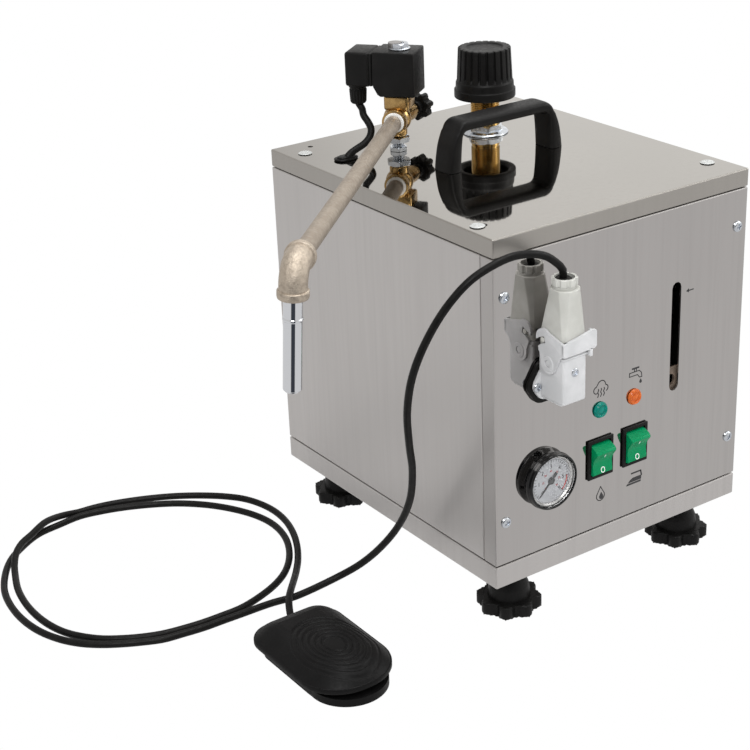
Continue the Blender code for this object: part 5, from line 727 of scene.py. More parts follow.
# Case: the CAD's own sheets, dressed, with the small screws and plugs
CORNERS = {"front_left": (-1, -1), "front_right": (1, -1), "rear_right": (1, 1), "rear_left": (-1, 1)}
LID_PLUG_INSET = 0.015
LID_PLUG_END = 0.031
LID_PLUG_RADIUS = 0.0062
LID_PLUG_RISE = 0.0012
LID_PLUG_ASIDE = 0.0045
PANEL_SCREW_X = 0.01
PANEL_SCREW_TOP = 0.0315
PANEL_SCREW_LOW = 0.0375
SCREW_RADIUS = 0.0045
SCREW_RISE = 0.0023
SCREW_CROSS = (0.005, 0.0011, 0.0013)
LID_HEIGHT = 0.0148
TRAY_HEIGHT = 0.019
FOLD = 0.0007                            # the sheets' folds, and their rims
RIM_BAND = 0.0015
RIM_LOW = 0.0008
RIM_TOP = 0.0004


def wear(look, *nodes):
    """Gives CAD nodes a look, in every slot."""
    for name in nodes:
        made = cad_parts[name]
        if not made.data.materials:
            made.data.materials.append(look.material)
        for slot in made.material_slots:
            slot.material = look.material


def pan_screw(radius, rise, cross, turned=0.0):
    """A pan-head screw with a cross recess, its head up along Z."""
    dome = [(0, rise)]
    for index in range(1, 7):
        around = math.radians(90 * index / 6)
        dome.append((radius * math.sin(around), rise * (0.35 + 0.65 * math.cos(around))))
    head = lathe([*dome, (radius, 0), (0, 0)], steps=40)
    length, width, depth = cross
    arms = []
    for quarter in (0, 90):
        arms.append(box((-length / 2, -width / 2, rise - depth), (length / 2, width / 2, rise + 0.002), 0.0,
            turn_about("Z", turned + quarter)))
    return carved(head, arms)


def fold(made):
    """Soft folds on a CAD sheet."""
    bevel = made.modifiers.new("fold", "BEVEL")
    bevel.width = FOLD
    bevel.segments = 3
    bevel.limit_method = "ANGLE"
    bevel.angle_limit = math.radians(40)


def sheet(name, look, node):
    """A panel in its CAD shape, its low and top rims drawn back so that the joints show as dark lines."""
    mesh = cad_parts[node].data.copy()
    heights = [point.co.z for point in mesh.vertices]
    low = min(heights)
    high = max(heights)
    for point in mesh.vertices:
        if point.co.z < low + RIM_BAND:
            point.co.z += RIM_LOW
        elif point.co.z > high - RIM_BAND:
            point.co.z -= RIM_TOP
    fold(piece(name, mesh, look, -MIDDLE, node))


def case():
    """Sheets, plugs in the lid's holes, and screws on the front."""
    wear(SHADE_DARKENED_LID_STEEL, "lid")
    wear(SATIN, "base_tray")
    fold(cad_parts["lid"])
    fold(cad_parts["base_tray"])
    sheet("front_sheet", SHADE_DARKENED_FRONT_STEEL, "front_panel")
    sheet("wrap_sheet", SATIN, "wrap_panel")
    reach_x = SIDE - LID_PLUG_INSET
    reach_y = REAR - LID_PLUG_END
    for name, (x, y) in CORNERS.items():
        profile = [(0, LID_PLUG_RISE), (LID_PLUG_RADIUS * 0.7, LID_PLUG_RISE), (LID_PLUG_RADIUS, 0.0002),
            (0.0037, 0.0002), (0.0037, -0.003), (0, -0.003)]
        piece("lid_plug_" + name, turned(profile, 0.0006), NYLON,
            (x * reach_x - (LID_PLUG_ASIDE if name == "front_left" else 0), y * reach_y, LID_TOP + GAP))
    low = FLOOR_GAP + TRAY_HEIGHT + GAP + PANEL_SCREW_LOW
    top = LID_TOP - LID_HEIGHT - GAP - PANEL_SCREW_TOP
    for name, x, z, turned_by in (("low_left", -1, low, 20), ("low_right", 1, low, 62),
            ("top_right", 1, top, 8), ("top_left", -1, top, 40)):
        screw = pan_screw(SCREW_RADIUS, SCREW_RISE, SCREW_CROSS, turned_by)
        piece("panel_screw_" + name, moved(screw, TO_FRONT), ZINC, (x * (SIDE - PANEL_SCREW_X), FRONT, z))


case()


# Feet
FOOT_RADIUS = 0.0265
FOOT_RIM = 0.011
FOOT_LOBES = 8
FOOT_LOBE_CUT = 0.0062
FOOT_HUB_RADIUS = 0.0175
FOOT_NECK_RADIUS = 0.0115
FOOT_HUB_HEIGHT = 0.027
FOOT_TOP_CLEAR = 0.0003
FOOT_ROUND = 0.0022


def feet():
    """A star knob with a hub on each foot."""
    top = FLOOR_GAP - FOOT_TOP_CLEAR
    for name in CORNERS:
        spot = middle_of("foot_knob_" + name)
        rim = slab(star(FOOT_RADIUS, FOOT_LOBES, FOOT_LOBE_CUT), 0.0, FOOT_RIM, FOOT_ROUND)
        hub = turned([(0, top), (FOOT_NECK_RADIUS, top), (FOOT_NECK_RADIUS, FOOT_HUB_HEIGHT + 0.003),
            (FOOT_NECK_RADIUS + 0.0022, FOOT_HUB_HEIGHT), (FOOT_HUB_RADIUS - 0.0012, FOOT_HUB_HEIGHT - 0.0065),
            (FOOT_HUB_RADIUS, FOOT_RIM + 0.0008), (FOOT_HUB_RADIUS, FOOT_RIM / 2), (0, FOOT_RIM / 2)], 0.001)
        piece("foot_grip_" + name, merged(rim, hub), BLACK, (spot.x, spot.y, 0), "foot_knob_" + name,
            "foot_knob_" + name)
        wear(BARE, "foot_stud_" + name)


feet()


# Carrying handle
HANDLE_Y = 0.003
HANDLE_DEPTH = 0.0235
HANDLE_SPAN = 0.119
HANDLE_HEIGHT = 0.0405
HANDLE_BAR = 0.009
HANDLE_LEG = 0.014
HANDLE_WINDOW_CORNER = 0.005
HANDLE_TOP_SPAN = 0.08
HANDLE_SQUARE = 0.52
HANDLE_RINGS = 110
HANDLE_SIDES = 48
HANDLE_CORNER = 0.01


def handle_outline():
    """The right half of the bow's side outline, as its outer and its inner edge."""
    half = HANDLE_SPAN / 2
    top = HANDLE_TOP_SPAN / 2
    shoulder = HANDLE_HEIGHT - HANDLE_CORNER
    outer = [(half, 0), (half - HANDLE_BAR / 10, HANDLE_HEIGHT / 5),
        (half - HANDLE_LEG / 4.5, HANDLE_HEIGHT / 2), (half - HANDLE_LEG * 0.55, shoulder)]
    outer += arc((top, shoulder), HANDLE_CORNER, 12, 90, 12)
    inside = HANDLE_HEIGHT - HANDLE_BAR
    window = half - HANDLE_LEG
    inner = [(window, 0), (window - 0.0004, HANDLE_HEIGHT / 3)]
    inner += arc((window - 0.0012 - HANDLE_WINDOW_CORNER, inside - HANDLE_WINDOW_CORNER), HANDLE_WINDOW_CORNER,
        4, 90, 12)
    return [[tuple(point) for point in eased(edge, 0.012, 4)] for edge in (outer, inner)]


def carry_handle():
    """A bow whose section is a soft rectangle from its outer to its inner edge."""
    sides = [spaced(mirrored(side), HANDLE_RINGS) for side in handle_outline()]
    rings = []
    for outside, inside in zip(*sides):
        middle = (outside + inside) / 2
        half = (outside - inside) / 2
        ring = []
        for number in range(HANDLE_SIDES):
            across = math.cos(TURN * number / HANDLE_SIDES)
            deep = math.sin(TURN * number / HANDLE_SIDES)
            across = math.copysign(abs(across) ** HANDLE_SQUARE, across)
            deep = math.copysign(abs(deep) ** HANDLE_SQUARE, deep)
            ring.append((middle.x + half.x * across, deep * HANDLE_DEPTH / 2, middle.y + half.y * across))
        rings.append(ring)
    piece("handle_bow", loft(rings), BLACK, (0, HANDLE_Y, LID_TOP + GAP), "carry_handle")


carry_handle()


# Filler: neck, ring nut, plug and cap
FILLER_PLACE = (0.0377, 0.0695)
NECK_RADIUS = 0.01235
NECK_BORE = 0.0082
NECK_RISE = 0.044
NECK_THREAD = (0.0016, 0.0008)
RING_NUT_RADIUS = 0.0156
RING_NUT_LOW = 0.003
RING_NUT_HEIGHT = 0.005
RING_WASHER_RADIUS = 0.0198
CAP_RISE = 0.0318
CAP_TOP = 0.074
CAP_SKIRT_RADIUS = 0.0261
CAP_SKIRT = 0.0132
CAP_STEP = 0.007
CAP_BODY_RADIUS = 0.0237
CAP_CROWN_RADIUS = 0.0223
CAP_WALL = 0.0045
CAP_EDGE = 0.0024
CAP_GROOVES = 22
CAP_GROOVE_DEPTH = 0.0017
CAP_GROOVE_SHARE = 0.34
CAP_GROOVE_FADE = 0.003
CAP_FACET = 0.0016
CAP_INSIDE = 0.0536
PLUG_FLANGE_RADIUS = 0.0165
PLUG_FLANGE = 0.009


def cap_wave(around, radius, height):
    """How far the cap's side is drawn in at a groove: nothing on a flat rib or near the skirt's step."""
    low = CAP_RISE + CAP_SKIRT + 0.0016
    high = CAP_TOP - 0.0002
    if radius < CAP_CROWN_RADIUS - CAP_EDGE or not low < height < high + 0.001:
        return 0.0
    fade = min(1.0, (height - low) / CAP_GROOVE_FADE)
    return CAP_GROOVE_DEPTH * fade * notched(around, CAP_GROOVES, CAP_GROOVE_SHARE)


def filler():
    """Threaded neck in its nut, the plug's flange, and the ribbed cap over both."""
    place = (*FILLER_PLACE, LID_TOP)
    profile = [(NECK_BORE, NECK_RISE), (NECK_RADIUS - 0.0008, NECK_RISE)]
    profile += threads(NECK_RADIUS, RING_NUT_LOW + RING_NUT_HEIGHT + 0.003, NECK_RISE - 0.0014, *NECK_THREAD)
    profile += [(NECK_RADIUS - 0.0001, RING_NUT_LOW + RING_NUT_HEIGHT + 0.0022), (NECK_RADIUS - 0.0001, -0.02),
        (NECK_BORE, -0.02)]
    piece("neck_thread", lathe(profile, closed=True), BRIGHT_BRASS, place, "filler_neck")
    washer = turned([(NECK_RADIUS + GAP, 0.0034), (RING_NUT_RADIUS, 0.0034),
        (RING_WASHER_RADIUS - 0.0012, 0.0021), (RING_WASHER_RADIUS, 0.0009), (RING_WASHER_RADIUS, 0.0003),
        (NECK_RADIUS + GAP, 0.0003)], 0.0004)
    nut = hexagon(RING_NUT_RADIUS, RING_NUT_LOW, RING_NUT_LOW + RING_NUT_HEIGHT, 0.0016)
    nut = carved(nut, [rod(NECK_RADIUS + GAP, -0.02, 0.02)])
    piece("neck_nut", merged(nut, washer), ZINC, place, "filler_ring_nut")
    flange = turned([(0, PLUG_FLANGE), (PLUG_FLANGE_RADIUS, PLUG_FLANGE), (PLUG_FLANGE_RADIUS, 0),
        (NECK_BORE - GAP, 0), (NECK_BORE - GAP, -0.018), (0, -0.018)], 0.0006)
    piece("plug_flange", flange, BRASS, (*FILLER_PLACE, LID_TOP + NECK_RISE + GAP), "filler_plug",
        "filler_plug")

    step_low = CAP_RISE + CAP_STEP
    skirt_top = CAP_RISE + CAP_SKIRT
    outside = [(0, CAP_TOP - 0.0011), (0.015, CAP_TOP - 0.0011), (0.016, CAP_TOP), (CAP_CROWN_RADIUS, CAP_TOP),
        (CAP_CROWN_RADIUS + 0.0002, CAP_TOP - 0.004), (CAP_BODY_RADIUS - 0.0002, skirt_top + 0.005),
        (CAP_BODY_RADIUS, skirt_top + 0.0012), (CAP_BODY_RADIUS + 0.0009, skirt_top),
        (CAP_BODY_RADIUS + 0.0012, step_low), (CAP_SKIRT_RADIUS, step_low), (CAP_SKIRT_RADIUS, CAP_RISE),
        (CAP_SKIRT_RADIUS - CAP_WALL, CAP_RISE), (CAP_BODY_RADIUS - CAP_WALL, CAP_RISE + 0.002),
        (CAP_BODY_RADIUS - CAP_WALL, CAP_INSIDE), (0, CAP_INSIDE)]
    profile = eased(outside, 0.001, 3)
    fine = []
    for before, after in zip(profile, profile[1:]):
        pieces = max(1, int((after - before).length / CAP_FACET)) if before.x > 0.02 and after.x > 0.02 else 1
        fine += [before.lerp(after, index / pieces) for index in range(pieces)]
    fine.append(profile[-1])
    cap = lathe(fine, None, CAP_GROOVES * 16, cap_wave, angle=40)
    piece("cap_shell", cap, BLACK, place, "filler_cap", "filler_cap")


filler()


# Steam valve, flow knob, coil, plug and lead
VALVE_PLACE = (-0.0494, 0.0761)
PIPE_RISE = 0.0274
PIPE_HEADING = -136.6
COIL_HEADING = -52.5
KNOB_HEADING = 27.0
LOCKNUT_RADIUS = 0.0078
LOCKNUT_HEIGHT = 0.0036
NIPPLE_RADIUS = 0.005
NIPPLE_BORE = 0.003
NIPPLE_THREAD = (0.0012, 0.0006)
NIPPLE_NUT_RADIUS = 0.0106
NIPPLE_NUT_LOW = 0.0078
NIPPLE_NUT_TOP = 0.0122
VALVE_LOW = 0.0126
VALVE_STEM_RADIUS = 0.008
VALVE_BOSS_RADIUS = 0.0104
VALVE_BOSS_REACH = 0.0145
BALL_RADIUS = 0.0118
RIB_REACH = 0.0098
RIB_HALF = 0.006
VALVE_HEAD = 0.0212
VALVE_HEAD_SHIFT = 0.0022
VALVE_HEAD_LOW = 0.0362
VALVE_TOP = 0.0486
KNOB_BOSS_RADIUS = 0.0075
KNOB_BOSS_REACH = 0.027
KNOB_STEM_RADIUS = 0.003
KNOB_REACH = 0.0355
KNOB_RADIUS = 0.0116
KNOB_THICK = 0.0095
KNOB_LOBES = 7
KNOB_LOBE_CUT = 0.0034
COIL_LOW = 0.0492
COIL_TOP = 0.0858
COIL_FRONT = 0.0195
COIL_BACK = 0.016
COIL_DEPTH = 0.032
COIL_CUT = (0.005, 0.009)
COIL_SHIFT = 0.004
COIL_EDGE = 0.0012
CORE_RADIUS = 0.006
COIL_NUT_RADIUS = 0.0077
COIL_WASHER_RADIUS = 0.0088
COIL_WASHER = 0.0012
COIL_NUT_TOP = 0.0912
PLUG_BLOCK = 0.0235
PLUG_BLOCK_DEPTH = 0.031
PLUG_BLOCK_LOW = 0.0566
PLUG_BLOCK_TOP = 0.085
PLUG_RECESS = 0.003
PLUG_GLAND_LOW = 0.039
PLUG_GLAND_X = -0.0335
LEAD_RADIUS = 0.003
LEAD_INSIDE = 0.0037
LEAD_ROUTE = [(0.028, 0.015, 0.0345), (0.0266, 0.011, 0.03), (0.0278, 0.0067, 0.025), (0.0275, 0.002, 0.0198),
    (0.0243, -0.0005, 0.0147), (0.0186, -0.001, 0.0101), (0.0111, 0.0, 0.0066), (0.0048, 0.0, 0.004),
    (0.0006, 0.0, 0.0004), (0.0, 0.0, -0.005), (0.0, -0.001, -0.015)]
LEAD_END = -0.033
LEAD_END_RUN = 0.025
PRESSURE_SWITCH_PLACE = (-0.06, 0.015)
PRESSURE_SWITCH_RADIUS = 0.017
GROMMET_PLACE = (-0.097, 0.084)
GROMMET_LENGTH = 0.0215
GROMMET_WIDTH = 0.0136
GROMMET_RISE = 0.0026


def valve():
    """Locknut, nipple, valve body with its boss for the pipe, and the flow knob."""
    place = (*VALVE_PLACE, LID_TOP)
    bore = rod(NIPPLE_RADIUS + GAP, -0.1, 0.1, None, 32)
    locknut = carved(hexagon(LOCKNUT_RADIUS, GAP, LOCKNUT_HEIGHT, 0.001), [bore])
    piece("lid_locknut", locknut, ZINC, place, "nipple_locknut")
    thread = threads(NIPPLE_RADIUS, -0.004, VALVE_LOW - 0.0006, *NIPPLE_THREAD)
    thread = [(NIPPLE_BORE, VALVE_LOW - GAP), *thread, (NIPPLE_RADIUS, -0.004), (NIPPLE_RADIUS, -0.04),
        (NIPPLE_BORE, -0.04)]
    nipple = lathe(thread, closed=True, steps=48)
    collar = hexagon(NIPPLE_NUT_RADIUS, NIPPLE_NUT_LOW, NIPPLE_NUT_TOP, 0.0008, under=True)
    piece("nipple", merged(nipple, collar), ZINC, place, "steam_nipple")

    to_port = turn_about("Z", PIPE_HEADING)
    port_along = to_port @ shift(z=PIPE_RISE) @ SIDEWAYS
    knob_along = turn_about("Z", KNOB_HEADING) @ shift(z=PIPE_RISE) @ SIDEWAYS
    stem = turned([(0, VALVE_HEAD_LOW + 0.002), (VALVE_STEM_RADIUS + 0.0022, VALVE_HEAD_LOW + 0.002),
        (VALVE_STEM_RADIUS, VALVE_HEAD_LOW - 0.004), (VALVE_STEM_RADIUS, VALVE_LOW + 0.0015),
        (VALVE_STEM_RADIUS - 0.0012, VALVE_LOW), (0, VALVE_LOW)], 0.0008)
    half = VALVE_HEAD / 2
    head_at = turn_about("Z", COIL_HEADING) @ shift(VALVE_HEAD_SHIFT)
    head = box((-half, -half, VALVE_HEAD_LOW), (half, half, VALVE_TOP), 0.0022, head_at)
    ball = [(BALL_RADIUS * math.sin(math.radians(a)), BALL_RADIUS * math.cos(math.radians(a)))
        for a in range(15, 180, 15)]
    ball = lathe([(0, BALL_RADIUS), *ball, (0, -BALL_RADIUS)], shift(z=PIPE_RISE))
    boss = turned([(0, VALVE_BOSS_REACH), (VALVE_BOSS_RADIUS, VALVE_BOSS_REACH),
        (VALVE_BOSS_RADIUS, VALVE_BOSS_REACH - 0.0065), (VALVE_BOSS_RADIUS - 0.0014, VALVE_BOSS_REACH - 0.0085),
        (VALVE_BOSS_RADIUS - 0.0014, -0.004), (0, -0.004)], 0.0008, port_along)
    flats = [(-RIB_REACH, -RIB_HALF), (RIB_REACH, -RIB_HALF), (RIB_REACH, RIB_HALF), (-RIB_REACH, RIB_HALF)]
    rib = slab(flats, VALVE_LOW + 0.008, VALVE_HEAD_LOW + 0.001, 0.0016, to_port)
    knob_boss = turned([(0, KNOB_BOSS_REACH), (KNOB_BOSS_RADIUS - 0.0015, KNOB_BOSS_REACH),
        (KNOB_BOSS_RADIUS - 0.0015, 0.0225), (KNOB_BOSS_RADIUS, 0.022), (KNOB_BOSS_RADIUS, 0), (0, 0)], 0.0005,
        knob_along)
    packing = hexagon(KNOB_BOSS_RADIUS + 0.0002, 0.014, 0.0205, 0.0008, knob_along, under=True)
    piece("valve_casting", merged(stem, head, ball, boss, rib, knob_boss, packing), BRASS, place, "valve_body")
    tape = turned([(0.007, VALVE_BOSS_REACH + 0.0022), (0.0079, VALVE_BOSS_REACH + 0.0022),
        (0.0086, VALVE_BOSS_REACH + GAP), (0.007, VALVE_BOSS_REACH + GAP)], 0.0004, port_along)
    piece("port_tape", tape, TAPE, place)

    knob = slab(star(KNOB_RADIUS, KNOB_LOBES, KNOB_LOBE_CUT), KNOB_REACH, KNOB_REACH + KNOB_THICK, 0.0016,
        knob_along)
    face = turned([(0, KNOB_REACH + KNOB_THICK + 0.0008), (0.0052, KNOB_REACH + KNOB_THICK + 0.0008),
        (0.0058, KNOB_REACH + KNOB_THICK - 0.001), (0, KNOB_REACH + KNOB_THICK - 0.001)], 0.0006, knob_along)
    neck = turned([(0, KNOB_REACH + 0.001), (0.0062, KNOB_REACH + 0.001), (0.0054, KNOB_REACH - 0.004),
        (KNOB_STEM_RADIUS + GAP, KNOB_REACH - 0.004)], 0.0006, knob_along)
    piece("flow_knob", merged(knob, face, neck), BLACK, place, "regulator_knob", "regulator_knob")
    wear(BARE, "regulator_stem", "armature_tube", "armature")
    spring("armature_coil_spring", "armature_spring")


valve()


def coil():
    """Coil block with its nut, and the plug that faces away from it."""
    place = (*VALVE_PLACE, LID_TOP)
    to_coil = turn_about("Z", COIL_HEADING) @ shift(COIL_SHIFT)
    half = COIL_DEPTH / 2
    wide, tall = COIL_CUT
    side = [(-COIL_FRONT + wide, COIL_LOW), (COIL_BACK, COIL_LOW), (COIL_BACK, COIL_TOP),
        (-COIL_FRONT, COIL_TOP), (-COIL_FRONT, COIL_LOW + tall)]
    block = slab(eased(side, 0.0016, 3, True), -half, half, COIL_EDGE, to_coil @ TO_FRONT)
    piece("coil_shell", block, BLACK, place, "solenoid_coil")

    nut_low = COIL_TOP + COIL_WASHER
    washer = turned([(CORE_RADIUS, nut_low), (COIL_WASHER_RADIUS, nut_low),
        (COIL_WASHER_RADIUS, COIL_TOP + GAP), (CORE_RADIUS, COIL_TOP + GAP)], 0.0003, to_coil)
    nut = hexagon(COIL_NUT_RADIUS, nut_low, COIL_NUT_TOP - GAP, 0.001, to_coil)
    dimple = lathe([(0, COIL_NUT_TOP + 0.002), (0.0042, COIL_NUT_TOP + 0.002), (0.0034, COIL_NUT_TOP - 0.0016),
        (0, COIL_NUT_TOP - 0.002)], to_coil, 40)
    piece("coil_top_nut", merged(carved(nut, [dimple]), washer), ZINC, place, "coil_nut")

    near = -COIL_FRONT - GAP
    far = near - PLUG_BLOCK
    deep = PLUG_BLOCK_DEPTH / 2
    body = box((far, -deep, PLUG_BLOCK_LOW), (near - 0.0024, deep, PLUG_BLOCK_TOP), 0.0022, to_coil, 4)
    lid = box((near - 0.0028, -deep + 0.0006, PLUG_BLOCK_LOW + 0.0006),
        (near - 0.0004, deep - 0.0006, PLUG_BLOCK_TOP - 0.0006), 0.0007, to_coil)
    gland_at = turn_about("Z", COIL_HEADING) @ shift(PLUG_GLAND_X)
    gland = turned([(0, PLUG_BLOCK_LOW + 0.002), (0.0078, PLUG_BLOCK_LOW + 0.002),
        (0.0078, PLUG_BLOCK_LOW - 0.0035), (0.007, PLUG_BLOCK_LOW - 0.0042), (0.007, PLUG_BLOCK_LOW - 0.0052),
        (0.0074, PLUG_BLOCK_LOW - 0.0058), (0.0068, PLUG_GLAND_LOW + 0.0016), (0.0056, PLUG_GLAND_LOW),
        (LEAD_RADIUS + GAP, PLUG_GLAND_LOW)], 0.0005, None, 96,
        ridged(16, 0.0005, PLUG_GLAND_LOW + 0.001, PLUG_BLOCK_LOW - 0.005))
    middle = (PLUG_BLOCK_LOW + PLUG_BLOCK_TOP) / 2
    recess = rod(PLUG_RECESS, -PLUG_RECESS, PLUG_RECESS, to_coil @ shift(far, 0, middle) @ SIDEWAYS, 32)
    piece("coil_plug", merged(carved(body, [recess]), lid, moved(gland, gland_at)), BLACK, place, "din_plug")
    spot = to_coil @ Vector((far + PLUG_RECESS, 0, middle))
    screw = pan_screw(0.0026, 0.0012, (0.003, 0.0007, 0.0008), 15)
    piece("coil_plug_screw", moved(screw, to_coil @ turn_about("Y", -90)), ZINC, Vector(place) + spot)


coil()


def lead():
    """The coil's lead, on the solid's own route to the pressure switch, and its oval grommet."""
    to_coil = turn_about("Z", COIL_HEADING)
    gland = to_coil @ Vector((PLUG_GLAND_X, 0, 0)) + Vector((*VALVE_PLACE, LID_TOP))
    hole = Vector((*GROMMET_PLACE, LID_TOP))
    knots = [gland + Vector((0, 0, PLUG_GLAND_LOW + LEAD_INSIDE)), gland + Vector((0, 0, PLUG_GLAND_LOW))]
    knots += [hole + Vector(step) for step in LEAD_ROUTE]
    capsule = Vector((*PRESSURE_SWITCH_PLACE, hole.z + LEAD_END))
    outward = Vector((hole.x - capsule.x, hole.y - capsule.y, 0)).normalized()
    end = capsule + outward * (PRESSURE_SWITCH_RADIUS + GAP)
    knots += [end + outward * LEAD_END_RUN, end + outward * 0.003, end]
    piece("coil_lead", tube(smooth_path(knots, 0.0015), LEAD_RADIUS, 24), RUBBER, (0, 0, 0), "solenoid_lead")
    over = slab(oval(GROMMET_LENGTH, GROMMET_WIDTH), 0.0, GROMMET_RISE * 0.55, 0.0009)
    lip = slab(oval(GROMMET_LENGTH - 0.0055, GROMMET_WIDTH - 0.0045), 0.0005, GROMMET_RISE, 0.001)
    piece("grommet", merged(over, lip), RUBBER, (*GROMMET_PLACE, LID_TOP + GAP), "lid_grommet")


lead()


# Steam pipe, elbow and nozzle
PIPE_RADIUS = 0.00675
PIPE_BORE = 0.0045
PIPE_RUN = 0.3506
ELBOW_REACH = 0.0222
ELBOW_RADIUS = 0.0098
ELBOW_LEAN = -3.8
ELBOW_BEND = 0.0135
ELBOW_COLLAR_RADIUS = 0.011
ELBOW_COLLAR = 0.0055
ELBOW_SOCKET = 0.01
NOZZLE_RADIUS = 0.0066
NOZZLE_RING_RADIUS = 0.0072
NOZZLE_RING_DROP = 0.0148
NOZZLE_LENGTH = 0.068
NOZZLE_BORE = 0.0045
NOZZLE_CHAMFER = 0.0019
PIPE_THREAD = (0.0013, 0.0006)


def steam_line():
    """Threaded pipe, leaning elbow and nozzle."""
    place = (*VALVE_PLACE, LID_TOP + PIPE_RISE)
    port = turn_about("Z", PIPE_HEADING)
    near = VALVE_BOSS_REACH - 0.0087
    far = PIPE_RUN - ELBOW_REACH + ELBOW_SOCKET - GAP
    far_thread = far - 0.017
    side = [(PIPE_BORE, far), (PIPE_RADIUS - 0.0006, far)]
    side += threads(PIPE_RADIUS - 0.0001, far_thread, far - 0.0004, *PIPE_THREAD)
    side += [(PIPE_RADIUS, far_thread - 0.001)]
    side += [(PIPE_RADIUS, far_thread - step * 0.012) for step in range(1, 24)]
    side += [(PIPE_RADIUS, near + 0.018)]
    side += threads(PIPE_RADIUS - 0.0001, near, near + 0.0175, *PIPE_THREAD)
    side += [(PIPE_BORE, near)]
    piece("pipe", lathe(side, port @ SIDEWAYS, 48, closed=True), PIPE, place, "steam_pipe")

    bend = port @ shift(PIPE_RUN) @ turn_about("X", ELBOW_LEAN)
    path = [(x, 0, z) for x, z in arc((-ELBOW_BEND, -ELBOW_BEND), ELBOW_BEND, 90, 0, 20)]
    path = [(-ELBOW_REACH + GAP, 0, 0), *path, (0, 0, -ELBOW_REACH + GAP)]
    throat = tube(path, ELBOW_RADIUS, 40, bend)
    collars = []
    for turn in (turn_about("Y", -90), turn_about("X", 180)):
        profile = eased([(0, ELBOW_REACH), (ELBOW_COLLAR_RADIUS - 0.0004, ELBOW_REACH),
            (ELBOW_COLLAR_RADIUS, ELBOW_REACH - 0.0016), (ELBOW_COLLAR_RADIUS, ELBOW_REACH - ELBOW_COLLAR),
            (ELBOW_RADIUS - 0.001, ELBOW_REACH - ELBOW_COLLAR - 0.0008),
            (0, ELBOW_REACH - ELBOW_COLLAR - 0.0008)], 0.0006)
        collar = lathe(profile, bend @ turn, 64)
        mouth = rod(NOZZLE_RADIUS + GAP, ELBOW_REACH - ELBOW_SOCKET, ELBOW_REACH + 0.01, bend @ turn)
        collars.append(carved(collar, [mouth]))
    piece("elbow", merged(throat, *collars), CAST, place, "pipe_elbow")

    top = -(ELBOW_REACH - ELBOW_SOCKET + GAP)
    low = -(ELBOW_REACH + NOZZLE_LENGTH)
    ring = -ELBOW_REACH - NOZZLE_RING_DROP
    slope = NOZZLE_RING_RADIUS - NOZZLE_RADIUS
    profile = eased([(NOZZLE_BORE, top), (NOZZLE_RADIUS, top), (NOZZLE_RADIUS, ring + 2 * slope),
        (NOZZLE_RING_RADIUS, ring + slope), (NOZZLE_RING_RADIUS, ring - slope),
        (NOZZLE_RADIUS, ring - 2 * slope), (NOZZLE_RADIUS, low + NOZZLE_CHAMFER),
        (NOZZLE_RADIUS - NOZZLE_CHAMFER, low), (NOZZLE_BORE, low)], 0.0005, 3, True)
    piece("nozzle", lathe(profile, bend, 64, closed=True), CHROME, place, "steam_nozzle")


steam_line()


# Front face: gauge, lamps, switches
GAUGE_PLACE = (-0.0786, 0.1233)
GAUGE_FOOT = 0.0216
GAUGE_BEZEL = 0.024
GAUGE_PROUD = 0.01
GAUGE_BODY = 0.0215
GAUGE_BODY_DEPTH = 0.024
GAUGE_WINDOW = 0.0212
GAUGE_DIAL = 0.0205
GAUGE_DIAL_FACE = 0.0049
NUMBERS = (0.0121, 0.0047)                 # radius of their ring, height of a figure
SMALL_NUMBERS = (0.008, 0.0024)
FIGURE_THICK = 0.00015
TICKS = 30
TICK_RADIUS = 0.0175
TICK_RISE = 0.00012
TICK_LONG = (0.003, 0.00052)
TICK_SHORT = (0.0019, 0.00026)
RED_ZONE = (0.016, 0.0012)
NEEDLE_LENGTH = 0.016
NEEDLE_TAIL = 0.0075
NEEDLE_REST = 225.0
NEEDLE_SWEEP = 270.0
LAMPS = {"green": ((-0.0243, 0.1658), GREEN_LENS), "orange": ((0.0114, 0.1666), ORANGE_LENS)}
LAMP_RADIUS = 0.0068
LAMP_PROUD = 0.0032
LAMP_BODY = 0.005
LAMP_DEPTH = 0.02
ROCKER_PLACES = {"left": -0.0253, "right": 0.01135}
ROCKER_Z = 0.1242
BEZEL_WIDTH = 0.0264
BEZEL_ASIDE = 0.0013
BEZEL_HEIGHT = 0.0344
BEZEL_PROUD = 0.0022
SWITCH_HALF = 0.01125
SWITCH_HEIGHT = 0.0302
SWITCH_DEPTH = 0.023
SWITCH_TABS = 0.01007
ROCKER_WIDTH = 0.0198
ROCKER_OPENING = 0.029
ROCKER_HALF = 0.0134
ROCKER_CROWN = 0.0076
ROCKER_RIDGE = 0.0098
ROCKER_SADDLE = 0.004
ROCKER_PIVOT = 0.004
ROCKER_KEEL = 0.01
ROCKER_TILT = 13.0


def figure(text, size, matrix):
    """Plain numbers as a thin raised mesh in XY, centred."""
    curve = bpy.data.curves.new("figure", "FONT")
    curve.body = text
    curve.size = size
    curve.align_x = "CENTER"
    curve.align_y = "CENTER"
    curve.extrude = FIGURE_THICK / 2
    helper = shown("figure", curve)
    mesh = baked(helper)
    mesh.materials.clear()
    return moved(mesh, matrix @ shift(z=FIGURE_THICK / 2))


def band(radius, width, start, end, low, high, matrix=None, count=48):
    """A flat arc-shaped strip in XY."""
    outline = arc((0, 0), radius + width / 2, start, end, count)
    outline += reversed(arc((0, 0), radius - width / 2, start, end, count))
    return slab(outline, low, high, 0.0, matrix)


